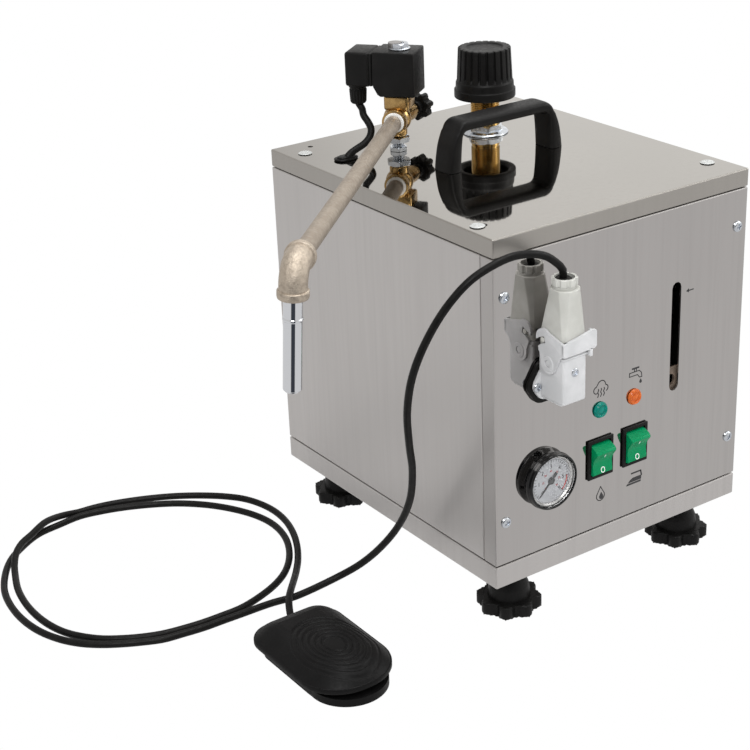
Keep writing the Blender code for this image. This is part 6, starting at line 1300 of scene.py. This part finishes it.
def gauge():
    """Case, ring, dial with plain numbers, and needle."""
    x, z = GAUGE_PLACE
    place = (x, FRONT, z)
    floor = 0.0038
    case = eased([(GAUGE_DIAL + GAP, floor), (GAUGE_DIAL + GAP, 0.0071), (GAUGE_WINDOW + GAP, 0.0071),
        (GAUGE_WINDOW + GAP, GAUGE_PROUD), (GAUGE_BEZEL - 0.0013, GAUGE_PROUD),
        (GAUGE_BEZEL - 0.0007, GAUGE_PROUD - 0.0008), (GAUGE_BEZEL - 0.0007, GAUGE_PROUD * 0.62),
        (GAUGE_BEZEL, GAUGE_PROUD * 0.54), (GAUGE_BEZEL - 0.0004, GAUGE_PROUD * 0.4), (GAUGE_FOOT, GAP),
        (GAUGE_BODY, -GAUGE_BODY_DEPTH), (0.006, -GAUGE_BODY_DEPTH), (0.006, -0.038), (0, -0.038)], 0.0005)
    case = [(0, floor)] + [tuple(point) for point in case]
    piece("gauge_bezel", lathe(case, TO_FRONT, 96), GLOSS_BLACK, place, "gauge_case")
    ring = eased([(GAUGE_DIAL - 0.0016, 0.0056), (GAUGE_DIAL - 0.0006, 0.0068), (GAUGE_DIAL + 0.0001, 0.0068),
        (GAUGE_DIAL + 0.0001, 0.0051), (GAUGE_DIAL - 0.0016, 0.0051)], 0.0002)
    piece("gauge_ring", lathe(ring, TO_FRONT, 96, closed=True), SATIN, place)
    wear(DIAL, "gauge_dial")
    wear(GLASS, "gauge_lens")
    face = TO_FRONT @ shift(z=GAUGE_DIAL_FACE)
    ticks = []
    for number in range(TICKS + 1):
        length, wide = TICK_SHORT if number % 5 else TICK_LONG
        turn = turn_about("Z", NEEDLE_REST - NEEDLE_SWEEP * number / TICKS)
        ticks.append(box((TICK_RADIUS - length, -wide / 2, 0), (TICK_RADIUS, wide / 2, TICK_RISE), 0.0,
            face @ turn))
    ticks.append(moved(band(0.0176, 0.0002, NEEDLE_REST - NEEDLE_SWEEP, NEEDLE_REST, 0, 0.0001), face))
    piece("dial_ticks", merged(*ticks), INK, place)
    scales = ([], NUMBERS, 1), ([], SMALL_NUMBERS, 15)
    for number in range(7):
        around = math.radians(NEEDLE_REST - NEEDLE_SWEEP * number / 6)
        for found, (radius, size), step in scales:
            spot = shift(radius * math.cos(around), radius * math.sin(around))
            found.append(figure(str(number * step), size, face @ spot))
    piece("dial_numbers", merged(*scales[0][0]), INK, place)
    piece("dial_small_numbers", merged(*scales[1][0]), RED_INK, place)
    piece("dial_red_zone", moved(band(*RED_ZONE, NEEDLE_REST - NEEDLE_SWEEP, 0, 0, 0.00013), face), RED_INK,
        place)
    blade = [(-NEEDLE_TAIL, -0.0014), (-NEEDLE_TAIL + 0.003, -0.0012), (0.002, -0.00085),
        (NEEDLE_LENGTH - 0.0008, -0.0004), (NEEDLE_LENGTH, 0), (NEEDLE_LENGTH - 0.0008, 0.0004),
        (0.002, 0.00085), (-NEEDLE_TAIL + 0.003, 0.0012), (-NEEDLE_TAIL, 0.0014)]
    needle_face = TO_FRONT @ shift(z=GAUGE_DIAL_FACE + GAP)
    pointer = slab(blade, 0.0, 0.0005, 0.0, needle_face @ turn_about("Z", NEEDLE_REST))
    hub = turned([(0, 0.0013), (0.0026, 0.0013), (0.0032, 0.0007), (0.0032, 0), (0, 0)], 0.0003, needle_face,
        40)
    piece("needle", merged(pointer, hub), INK, place, "gauge_needle", "gauge_needle")


gauge()


def lamps():
    """Lenses with a ring groove."""
    for name, ((x, z), look) in LAMPS.items():
        profile = eased([(0, LAMP_PROUD - 0.0006), (0.0022, LAMP_PROUD - 0.0007), (0.0035, LAMP_PROUD - 0.0013),
            (0.0041, LAMP_PROUD - 0.0012), (0.0046, LAMP_PROUD - 0.0001), (0.0054, LAMP_PROUD),
            (0.0061, LAMP_PROUD - 0.001), (LAMP_RADIUS, LAMP_PROUD - 0.0021), (LAMP_RADIUS, GAP),
            (LAMP_BODY, GAP), (LAMP_BODY, -LAMP_DEPTH), (0, -LAMP_DEPTH)], 0.0005)
        piece("lens_" + name, lathe(profile, TO_FRONT, 64), look, (x, FRONT, z), "lamp_" + name)


lamps()


def rockers():
    """Each switch: a frame with its body and tabs, a saddled rocker and its two marks."""
    for side, x in ROCKER_PLACES.items():
        x += BEZEL_ASIDE
        place = (x, FRONT, ROCKER_Z)
        bezel = box((-BEZEL_WIDTH / 2, -BEZEL_PROUD, -BEZEL_HEIGHT / 2),
            (BEZEL_WIDTH / 2, -GAP, BEZEL_HEIGHT / 2), 0.0008)
        body = box((-SWITCH_HALF, -BEZEL_PROUD / 2, -SWITCH_HEIGHT / 2),
            (SWITCH_HALF, SWITCH_DEPTH, SWITCH_HEIGHT / 2), 0.0006)
        half = ROCKER_WIDTH / 2 + GAP
        pocket = box((-half, -0.02, -ROCKER_OPENING / 2), (half, 0.015, ROCKER_OPENING / 2), 0.0012)
        frame_body = carved(carved(bezel, [body], "UNION"), [pocket])
        tabs = [box((-0.0024, 0.019, rise - 0.0004), (0.0024, 0.031, rise + 0.0004), 0.0002)
            for rise in (-SWITCH_TABS, 0, SWITCH_TABS)]
        piece("switch_frame_" + side, merged(frame_body, *tabs), BLACK, place, "rocker_frame_" + side)

        edge = [(ROCKER_RIDGE + 0.0003, ROCKER_CROWN - 0.0003), (ROCKER_RIDGE + 0.0012, ROCKER_CROWN - 0.001),
            (ROCKER_RIDGE + 0.0019, ROCKER_CROWN - 0.002), (ROCKER_RIDGE + 0.0022, ROCKER_CROWN - 0.0034),
            (ROCKER_HALF - GAP, 0), (ROCKER_HALF, -ROCKER_PIVOT), (ROCKER_HALF * 0.65, -ROCKER_KEEL)]
        dip = [(ROCKER_RIDGE * share, ROCKER_SADDLE + (ROCKER_CROWN - ROCKER_SADDLE) * share ** 1.5)
            for share in (0.2, 0.4, 0.6, 0.8, 0.9)]
        lower = [(-z, rise) for z, rise in dip + edge]
        outline = [*reversed(edge), *reversed(dip), (0, ROCKER_SADDLE), *lower]
        outline = [(-(rise + ROCKER_PIVOT), z) for z, rise in outline]
        tilt = turn_about("X", ROCKER_TILT)
        side_on = tilt @ shift(-ROCKER_WIDTH / 2) @ turn_about("Z", 90) @ turn_about("X", 90)
        button = slab(outline, 0, ROCKER_WIDTH, 0.0005, side_on, 3, 40)
        axis = (x, FRONT + ROCKER_PIVOT, ROCKER_Z)
        piece("rocker_button_" + side, button, GREEN, axis, "rocker_" + side, "rocker_" + side)
        mark = tilt @ shift(y=-ROCKER_PIVOT) @ TO_FRONT
        bar_at = mark @ shift(0, 0.006, 0.0058) @ turn_about("X", 21)
        bar = slab(oval(0.0036, 0.0006, 6), -0.0012, 0.00012, 0.0, bar_at @ turn_about("Z", 90))
        loop_at = mark @ shift(0, -0.0074, 0.0064) @ turn_about("X", -23)
        loop = carved(slab(oval(0.005, 0.0041, 12), -0.0014, 0.00016), [slab(oval(0.0038, 0.0029, 12), -1, 1)])
        loop = moved(loop, loop_at @ turn_about("Z", 90))
        piece("rocker_marks_" + side, merged(bar, loop), WHITE_MARK, axis, body="rocker_" + side)


rockers()


# Level glass behind its slot
SLOT_X = 0.0547
SLOT_LOW = 0.159
SIGHT_BACK = 0.022
SIGHT_BORE = 0.0052


def sight_glass():
    """The tube's fittings, nut, seal and flange."""
    wear(GLASS, "sight_tube")
    wear(BRASS, "sight_fitting_low", "sight_fitting_top")
    spot = (SLOT_X, FRONT + SIGHT_BACK, SLOT_LOW)
    nut = turned([(SIGHT_BORE, 0.012), (0.0066, 0.012), (0.007, 0.0105), (0.007, 0.003), (0.0064, 0.001),
        (SIGHT_BORE, 0.001)], 0.0006, None, 48, closed=True)
    piece("sight_nut", nut, BLACK, spot)
    ring = turned([(SIGHT_BORE, 0.015), (0.0062, 0.015), (0.0062, 0.0122), (SIGHT_BORE, 0.0122)], 0.0003, None,
        48, closed=True)
    piece("sight_seal", ring, RED_INK, spot)
    flange = box((-0.0085, 0.0035, -0.003), (0.0085, 0.0055, 0.0195), 0.0006)
    port = rod(SIGHT_BORE, -0.01, 0.01, shift(-0.0012, 0.0045, 0.0085) @ TO_FRONT, 32)
    piece("sight_flange", carved(flange, [port]), TAN, (SLOT_X, FRONT, SLOT_LOW))


sight_glass()


# Plug-in connector
HOUSING_WIDTH = 0.0225
HOUSING_BACK = 0.0035
HOUSING_FRONT = 0.032
HOUSING_LOW = 0.1988
HOUSING_TOP = 0.24
HOUSING_EDGE = 0.002
HOUSING_SCREW_Z = 0.224
FLANGE_HALF = 0.019
FLANGE_LOW = 0.195
FLANGE_TOP = 0.2229
FLANGE_MIDDLE = 0.2068
FLANGE_SHOULDER_LOW = 0.0106
FLANGE_SHOULDER_TOP = 0.0084
FLANGE_THICK = 0.0028
GASKET_THICK = 0.003
GASKET_BORDER = 0.0038
HOOD_LOW = 0.2403
HOOD_TOP = 0.2885
HOOD_STRAIGHT = 0.011
HOOD_TOP_WIDTH = 0.0205
HOOD_FACET = 0.0056
HOOD_COLLAR = 0.0099
HOOD_NECK = 0.0092
HOOD_BORE = 0.0076
COLLAR_NOTCHES = 8
COLLAR_NOTCH_DEEP = 0.0012
COLLAR_NOTCH_SHARE = 0.42
LEVER_DEPTH = 0.017
LEVER_RISE = 0.23
LEVER_DISC = 0.0085
LEVER_PLATE = 0.002
LEVER_BAND = 0.0026
LEVER_BAND_LOW = 0.0095
LEVER_BAND_TOP = 0.0215
LEVER_HOOK_TOP = 0.0262
LEVER_DIP = 0.0009
LEVER_TAIL = 0.005
LEVER_FLARE = 0.0034
LEVER_PIN = 0.0025
PEG_RADIUS = 0.002
PEG_OUT = 0.0024
PEG_DEPTH = 0.0105
PEG_RISE = 0.247


def flange_outline(border):
    """The six-cornered flange, and the gasket where there is a border."""
    tall = FLANGE_TOP - FLANGE_LOW
    middle = FLANGE_MIDDLE - FLANGE_LOW - tall / 2
    top = tall / 2 + border
    slope = border / 2
    points = [(-FLANGE_HALF - border, middle), (-FLANGE_SHOULDER_LOW - slope, -top),
        (FLANGE_SHOULDER_LOW + slope, -top), (FLANGE_HALF + border, middle), (FLANGE_SHOULDER_TOP + slope, top),
        (-FLANGE_SHOULDER_TOP - slope, top)]
    return eased(points, 0.0045, 5, True)


def facet_ring(height, wide, back, front, facet):
    """A level outline with cut corners."""
    corners = [(-wide + facet, -back), (-wide, -back - facet), (-wide, -front + facet), (-wide + facet, -front)]
    return [(x, y, height) for x, y in eased(mirrored(corners), 0.0007, 2, True)]


def studs(radius, half, out, y, z):
    """Round studs that stand out from both sides."""
    profile = [(0, half + out), (radius, half + out), (radius, half - 0.003), (0, half - 0.003)]
    return [turned(profile, 0.0005, shift(0, y, z) @ turn_about("Y", 90 * side)) for side in (-1, 1)]


def connector():
    """Housing on its gasket, screws, hood with a notched collar, and the lever."""
    centre = (FLANGE_TOP + FLANGE_LOW) / 2
    gasket = slab(flange_outline(GASKET_BORDER), GAP, GASKET_THICK, 0.0006, TO_FRONT)
    piece("gasket", gasket, RUBBER, (CONNECTOR_X, FRONT, centre), "connector_gasket")
    half = HOUSING_WIDTH / 2
    place = (CONNECTOR_X, FRONT, 0)
    body = box((-half, -HOUSING_FRONT, HOUSING_LOW), (half, -HOUSING_BACK + GAP, HOUSING_TOP), HOUSING_EDGE,
        None, 4)
    flange = slab(flange_outline(0.0), GASKET_THICK + GAP, GASKET_THICK + GAP + FLANGE_THICK, 0.0009,
        shift(z=centre) @ TO_FRONT)
    well = box((-half + 0.0022, -HOUSING_FRONT + 0.0022, HOUSING_TOP - 0.015),
        (half - 0.0022, -HOUSING_BACK - 0.0022, HOUSING_TOP + 0.004), 0.0005)
    lip = box((-half - 0.0007, -HOUSING_FRONT - 0.0007, HOUSING_TOP - 0.0042),
        (half + 0.0007, -HOUSING_BACK, HOUSING_TOP - 0.0024), 0.0006)
    lip = carved(lip, [box((-half + 0.003, -HOUSING_FRONT + 0.003, 0),
        (half - 0.003, -HOUSING_BACK - 0.003, 1))])
    foot = box((-half + 0.001, -HOUSING_FRONT + 0.004, HOUSING_LOW - 0.0016),
        (half - 0.001, -HOUSING_BACK - 0.003, HOUSING_LOW + 0.002), 0.0008)
    pins = studs(LEVER_PIN, half, LEVER_PLATE + 0.0006, -LEVER_DEPTH, LEVER_RISE)
    piece("socket_housing", merged(carved(body, [well]), flange, lip, foot, *pins), LIGHT_GREY, place,
        "connector_housing")
    for name, x, turned_by in (("left", -1, 70), ("right", 1, 25)):
        spot = (CONNECTOR_X + x * (FLANGE_HALF - 0.0042), FRONT - GASKET_THICK - GAP - FLANGE_THICK,
            FLANGE_MIDDLE)
        screw = pan_screw(0.0036, 0.0019, (0.0042, 0.0009, 0.001), turned_by)
        piece("flange_screw_" + name, moved(screw, TO_FRONT), ZINC, spot)
    screw = pan_screw(0.0034, 0.0013, (0.0042, 0.001, 0.0009), 40)
    piece("housing_screw", moved(screw, TO_FRONT), ZINC, (CONNECTOR_X, FRONT - HOUSING_FRONT + GAP,
        HOUSING_SCREW_Z))

    wide = HOOD_TOP_WIDTH / 2
    rings = [facet_ring(HOOD_LOW, half - 0.0004, HOUSING_BACK + 0.0004, HOUSING_FRONT - 0.0004, HOUSING_EDGE),
        facet_ring(HOOD_LOW + 0.0006, half, HOUSING_BACK, HOUSING_FRONT, HOUSING_EDGE),
        facet_ring(HOOD_LOW + HOOD_STRAIGHT, half, HOUSING_BACK, HOUSING_FRONT, HOUSING_EDGE),
        facet_ring(HOOD_TOP - 0.0006, wide, HOOD_TOP_BACK + HOOD_LEAN, HOOD_TOP_FRONT + HOOD_LEAN, HOOD_FACET),
        facet_ring(HOOD_TOP, wide - 0.0005, HOOD_TOP_BACK + HOOD_LEAN + 0.0005,
        HOOD_TOP_FRONT + HOOD_LEAN - 0.0005, HOOD_FACET)]
    shell = loft(rings)
    low_band = loft([facet_ring(HOOD_LOW + 0.008, half + 0.0006, HOUSING_BACK, HOUSING_FRONT + 0.0006, 0.0018),
        facet_ring(HOOD_LOW + 0.0096, half + 0.0006, HOUSING_BACK, HOUSING_FRONT + 0.0006, 0.0018)])
    collar_at = shift(0, -(HOOD_TOP_BACK + HOOD_TOP_FRONT) / 2 - HOOD_LEAN * 0.8, 0)
    notch = turned([(HOOD_BORE, HOOD_COLLAR_TOP), (HOOD_COLLAR, HOOD_COLLAR_TOP),
        (HOOD_COLLAR, HOOD_TOP + 0.0024), (HOOD_NECK, HOOD_TOP + 0.002), (HOOD_NECK, HOOD_TOP - 0.002),
        (HOOD_BORE, HOOD_TOP - 0.002)], 0.0006, collar_at, COLLAR_NOTCHES * 16, collar_wave, closed=True)
    pegs = studs(PEG_RADIUS, half, PEG_OUT, -PEG_DEPTH, PEG_RISE)
    piece("plug_hood", merged(shell, low_band, notch, *pegs), GREY, place, "connector_hood")
    lever(half)


def collar_wave(around, radius, height):
    """How far the hood's collar is drawn in at a notch."""
    if radius < HOOD_COLLAR - 0.0009 or not HOOD_TOP + 0.0021 < height:
        return 0.0
    return COLLAR_NOTCH_DEEP * notched(around, COLLAR_NOTCHES, COLLAR_NOTCH_SHARE)


def lever(half):
    """Two cheeks with hooked slots round the hood's pegs, and the front band that joins them."""
    peg = Vector((LEVER_DEPTH - PEG_DEPTH, PEG_RISE - LEVER_RISE))
    reach = HOUSING_FRONT + GAP - LEVER_DEPTH
    cheek = arc((0, 0), LEVER_DISC, 165, 335, 20)
    front = reach + LEVER_BAND - 0.0005
    top = LEVER_BAND_TOP - LEVER_DIP
    cheek += [(reach - 0.003, LEVER_BAND_LOW - 0.003), (reach, LEVER_BAND_LOW), (front, LEVER_BAND_LOW),
        (front, top), (reach - LEVER_BAND / 2, top)]
    cheek += arc((-peg.x + LEVER_DIP, peg.y + LEVER_DIP), LEVER_HOOK_TOP - peg.y - LEVER_DIP, 50, 200, 18)
    inner = half + GAP
    out = inner + LEVER_PLATE
    wide = 2 * out
    side_on = shift(wide / 2) @ turn_about("Z", -90) @ turn_about("X", 90)
    made = slab(eased(cheek, 0.0009, 3, True), 0, wide, 0.0006, side_on)
    gape = LEVER_HOOK_TOP + 0.004
    pin = rod(LEVER_PIN + GAP, -0.05, 0.05, SIDEWAYS, 32)
    start = math.degrees(math.atan2(peg.y, -peg.x))
    slot = band(peg.length, 2 * (PEG_RADIUS + 0.0006), start - 9, start + 60, -0.004, wide + 0.004, side_on, 24)
    made = carved(made, [box((-inner, -reach, -gape), (inner, gape, gape)), pin, slot])
    left = -out
    right = out + LEVER_TAIL
    flare = LEVER_BAND_TOP + LEVER_FLARE
    strap = [(left, LEVER_BAND_LOW), (right, LEVER_BAND_LOW + 0.001), (right, flare), (right - 0.004, flare),
        (left + 0.006, top), (left, top)]
    strap = slab(eased(strap, 0.0014, 4, True), reach, reach + LEVER_BAND, 0.0007, TO_FRONT)
    tail = box((right - 0.002, -reach - 0.001, LEVER_BAND_LOW + 0.0016),
        (right, -reach + 0.005, flare - 0.0012), 0.0007)
    catch = box((out - 0.0014, -reach - LEVER_BAND, LEVER_BAND_LOW - 0.0052),
        (out + 0.0014, -reach + 0.002, LEVER_BAND_LOW + 0.002), 0.0006)
    disc = [(LEVER_PIN + 0.0004, out + 0.0006), (LEVER_DISC - 0.0028, out + 0.0006),
        (LEVER_DISC - 0.0022, out - 0.0004), (LEVER_PIN + 0.0004, out - 0.0004)]
    discs = [turned(disc, 0.0004, turn_about("Y", 90 * side), 48, closed=True) for side in (-1, 1)]
    piece("lever", merged(made, strap, tail, catch, *discs), LIGHT_GREY,
        (CONNECTOR_X, FRONT - LEVER_DEPTH, LEVER_RISE), "locking_lever", "locking_lever")


connector()


# Foot pedal
PEDAL_X = -0.2605
PEDAL_WIDTH = 0.0775
PEDAL_REAR = -0.0455
PEDAL_FRONT = -0.1635
PEDAL_REAR_ROUND = 0.022
PEDAL_FRONT_ROUND = 0.036
PEDAL_RIM = 0.0115
PEDAL_TOP = 0.0275
PEDAL_SHOULDER = 0.015
PEDAL_WALL = 0.0025
PEDAL_LIP_X = -0.26
PEDAL_LIP_Y = -0.134
PEDAL_LIP_RADIUS = 0.0315
PEDAL_LIP_HEIGHT = 0.0065
PEDAL_BASE_INSET = 0.0045
PEDAL_BASE_WALL = 0.007
PEDAL_GRIP_X = -0.26
PEDAL_GRIP_Y = -0.118
GRIP_RINGS = 6
GRIP_FIRST = 0.0085
GRIP_STEP = 0.0043
GRIP_DEEP = 0.0008
GRIP_WIDE = 0.0012
GRIP_STRETCH = 1.35
HINGE_Y = -0.06
HINGE_Z = 0.0125
EAR_ASIDE = 0.026
EAR_HALF = 0.002
EAR_RADIUS = 0.0048
CREASE_Z = 0.0156
CREASE_INSET = 0.001
DOME_HOLLOW = ((0.02, 0.0247), (0.012, 0.0222), (0.007, 0.019), (0.0035, 0.0155))
DOME_INSET = 0.027
DOME_POWER = 2.4
DOME_ROWS = 120
COVER_RAYS = 192


def pedal_outline(inset):
    """The pedal's plan, drawn in by an inset."""
    half = PEDAL_WIDTH / 2
    toe = PEDAL_FRONT_ROUND
    heel = PEDAL_REAR_ROUND
    outline = []
    corners = [(half - toe, PEDAL_FRONT + toe, toe, -90), (half - heel, PEDAL_REAR - heel, heel, 0),
        (-half + heel, PEDAL_REAR - heel, heel, 90), (-half + toe, PEDAL_FRONT + toe, toe, 180)]
    for x, y, radius, start in corners:
        outline += arc((PEDAL_X + x, y), max(radius - inset, 0.002), start, start + 90, 12)
    return outline


def cover_rays():
    """Even directions from the middle of the grip rings, stretched as the rings are."""
    turns = [TURN * index / COVER_RAYS for index in range(COVER_RAYS)]
    return [Vector((math.cos(around), GRIP_STRETCH * math.sin(around))) for around in turns]


def rays_to(outline):
    """The outline's points on those rays."""
    corners = [Vector((x - PEDAL_GRIP_X, y - PEDAL_GRIP_Y)) for x, y in outline]
    found = []
    for ray in cover_rays():
        best = 0.0
        for start, end in zip(corners, corners[1:] + corners[:1]):
            side = end - start
            across = ray.x * side.y - ray.y * side.x
            if abs(across) < 1e-12:
                continue
            reach = (start.x * side.y - start.y * side.x) / across
            share = (start.x * ray.y - start.y * ray.x) / across
            if reach > 0 and -1e-9 <= share <= 1 + 1e-9:
                best = max(best, reach)
        found.append((PEDAL_GRIP_X + ray.x * best, PEDAL_GRIP_Y + ray.y * best))
    return found


def grip_height(reach):
    """How far the crown is sunk at a distance from the middle of the oval rings."""
    for number in range(GRIP_RINGS):
        away = abs(reach - GRIP_FIRST - GRIP_STEP * number) / GRIP_WIDE
        if away < 1:
            return -GRIP_DEEP * math.cos(away * math.pi / 2) ** 0.7
    return 0.0


def dome_height(profile, reach):
    """The cover's height at a distance from the middle, between the profile's steps."""
    for (outer, low), (inner, high) in zip(profile, profile[1:]):
        if reach >= inner:
            return low + (high - low) * (outer - reach) / (outer - inner)
    return profile[-1][1]


def pedal():
    """The domed cover, hollow underneath, and the base with its lip, wall, clamp and ears."""
    levels = [*DOME_HOLLOW, (PEDAL_WALL, PEDAL_SHOULDER), (PEDAL_WALL, PEDAL_RIM), (0.0004, PEDAL_RIM),
        (0, PEDAL_RIM + 0.0006), (0, CREASE_Z - 0.0008), (0.0003, CREASE_Z), (CREASE_INSET, CREASE_Z)]
    rings = [[(x, y, height) for x, y in rays_to(pedal_outline(inset))] for inset, height in levels]
    middle = Vector((PEDAL_GRIP_X, PEDAL_GRIP_Y))
    steps = []
    for number in range(13):
        share = number / 12
        inset = CREASE_INSET + (DOME_INSET - CREASE_INSET) * share
        height = CREASE_Z + (PEDAL_TOP - CREASE_Z) * (1 - (1 - share) ** DOME_POWER)
        steps.append((rays_to(pedal_outline(inset)), height))
    rays = cover_rays()
    profiles = [[((Vector(outline[index]) - middle).length / ray.length, height) for outline, height in steps]
        for index, ray in enumerate(rays)]
    for row in range(1, DOME_ROWS + 1):
        ring = []
        for ray, profile in zip(rays, profiles):
            reach = profile[0][0] * (1 - row / (DOME_ROWS + 2))
            height = dome_height(profile, reach)
            fade = min(1.0, max(0.0, (height - CREASE_Z) / 0.0022))
            ring.append((middle.x + ray.x * reach, middle.y + ray.y * reach,
                height + grip_height(reach) * fade))
        rings.append(ring)
    piece("pedal_shell", loft(rings, 50), PEDAL_BLACK, (0, 0, 0), "pedal_cover", "pedal_cover")

    lip = [(PEDAL_LIP_X + x, PEDAL_LIP_Y + y) for x, y in arc((0, 0), PEDAL_LIP_RADIUS, 0, 357, 119)]
    foot = slab(lip, 0.0, PEDAL_LIP_HEIGHT, 0.0016)
    inset = PEDAL_WALL + PEDAL_BASE_INSET + 2 * GAP
    wall = slab(pedal_outline(inset), 0.0, PEDAL_BASE_WALL, 0.0006)
    clamp = box((-0.258, -0.0602, 0.0015), (-0.246, -0.0528, 0.0135), 0.001)
    ears = []
    for x in (PEDAL_X - EAR_ASIDE, PEDAL_X + EAR_ASIDE):
        eye = turned([(0, EAR_HALF), (EAR_RADIUS, EAR_HALF), (EAR_RADIUS, -EAR_HALF), (0, -EAR_HALF)], 0.0004,
            shift(x, HINGE_Y, HINGE_Z) @ SIDEWAYS)
        ears.append(merged(eye, box((x - EAR_HALF, HINGE_Y - EAR_RADIUS, 0.0015),
            (x + EAR_HALF, HINGE_Y + EAR_RADIUS, HINGE_Z), 0.0004)))
    piece("pedal_foot", merged(foot, wall, clamp, *ears), PEDAL_BLACK, (0, 0, 0), "pedal_base")
    spring("pedal_coil_spring", "pedal_spring")
    wear(BLACK, "pedal_switch")
    wear(GREY, "switch_plunger")


pedal()


# Inside and at the rear
MAINS_PLACE = (0.085, 0.085)


def inside():
    """Looks of the hidden parts, and the mains gland."""
    wear(BARE, "boiler_shell")
    wear(BRASS, "heating_element")
    wear(ZINC, "pressure_switch")
    x, z = MAINS_PLACE
    dome = turned([(0.0045, 0.018), (0.0066, 0.018), (0.0078, 0.0165), (0.0096, 0.01), (0.0105, 0.008),
        (0.0105, 0.006), (0.0045, 0.006)], 0.0006, TO_REAR, 96, ridged(18, 0.0006, 0.007, 0.016), closed=True)
    nut = hexagon(0.0118, GAP, 0.0062, 0.001, TO_REAR)
    inner = hexagon(0.012, -0.0068, -0.0018, 0.0008, TO_REAR)
    thread = lathe([(0.0045, 0.006), *threads(0.008, -0.014, 0.0055, 0.0015, 0.0007), (0.0045, -0.014)],
        TO_REAR, closed=True)
    piece("cable_gland", merged(dome, nut, inner, thread), BLACK, (x, REAR, z), "mains_gland")


inside()


# Plain pictures printed on the front, from strokes
STROKE = 0.00075
PRINT_LOW = -0.0001
PRINT_HIGH = 0.00012


def stroke(points, width=STROKE, closed=False):
    """A line of even width through points in XY, as a flat print."""
    points = [Vector(point) for point in points]
    meshes = []
    ends = points + [points[0]] if closed else points
    for start, end in zip(ends, ends[1:]):
        along = (end - start).normalized() * width * 0.25
        across = Vector((-along.y, along.x)).normalized() * width / 2
        start = start - along
        end = end + along
        outline = [start + across, start - across, end - across, end + across]
        meshes.append(slab([tuple(point) for point in outline], PRINT_LOW, PRINT_HIGH))
    return meshes


def print_on(name, meshes, x, z):
    piece(name, moved(merged(*meshes), TO_FRONT), INK, (x, FRONT, z))


def pictures():
    """A cloud, a tap, a flame and an iron beside what they stand for, and the arrow at the level slot."""
    cloud = []
    for puff in (((-0.0044, -0.0004), 0.0029, 95, 285, 10), ((0.0006, 0.0026), 0.0042, 15, 155, 12),
            ((0.0048, -0.0006), 0.0027, -70, 80, 10)):
        cloud += reversed(arc(*puff))
    marks = stroke(cloud)
    for x in (-0.0026, 0.0004, 0.0034):
        marks += stroke([(x + 0.0005 * math.sin(step * 1.6), 0.0002 - step * 0.001) for step in range(8)])
    print_on("print_cloud", marks, -0.0236, 0.1836)
    tap = [(-0.0068, -0.0006), (0.0016, -0.0006), (0.004, -0.0034), (0.0064, -0.0034), (0.0058, 0.0004),
        (0.0034, 0.0026), (-0.0068, 0.0026)]
    marks = stroke(tap, closed=True)
    for x in (-0.0016, 0.0004):
        marks += stroke([(x, 0.0028), (x, 0.005)])
    marks += stroke([(-0.004, 0.0056), (0.003, 0.0056)], 0.0014)
    marks.append(slab(drop_outline(0.0052, -0.0074, 0.0013), PRINT_LOW, PRINT_HIGH))
    print_on("print_tap", marks, 0.0132, 0.1852)
    marks = stroke(drop_outline(0.0, -0.003, 0.0042), closed=True)
    marks.append(slab(drop_outline(0.0008, -0.004, 0.0022), PRINT_LOW, PRINT_HIGH))
    print_on("print_flame", marks, -0.0222, 0.0916)
    sole = [(-0.0086, -0.005), (0.007, -0.005), (0.0072, -0.0034), (-0.0078, -0.0034)]
    body = [(-0.007, -0.0028), (0.0074, -0.0028), (0.0076, 0.0008), (-0.0016, 0.0008), (-0.0046, -0.0006)]
    marks = [slab(sole, PRINT_LOW, PRINT_HIGH), slab(body, PRINT_LOW, PRINT_HIGH)]
    marks += stroke([(-0.0034, 0.005), (0.0068, 0.005), (0.0078, 0.0006)], 0.0013)
    print_on("print_iron", marks, 0.0142, 0.0926)
    arrow = [slab([(-0.004, 0.0), (-0.001, 0.0017), (-0.001, -0.0017)], PRINT_LOW, PRINT_HIGH)]
    arrow += stroke([(-0.0012, 0.0), (0.004, 0.0)], 0.0009)
    print_on("print_arrow", arrow, 0.0689, 0.2426)


def drop_outline(x, y, radius):
    """A drop with its point up."""
    points = arc((x, y), radius, 150, 390, 16)
    return points + [(x + radius * 0.25, y + radius * 1.5), (x, y + radius * 2.0)]


pictures()
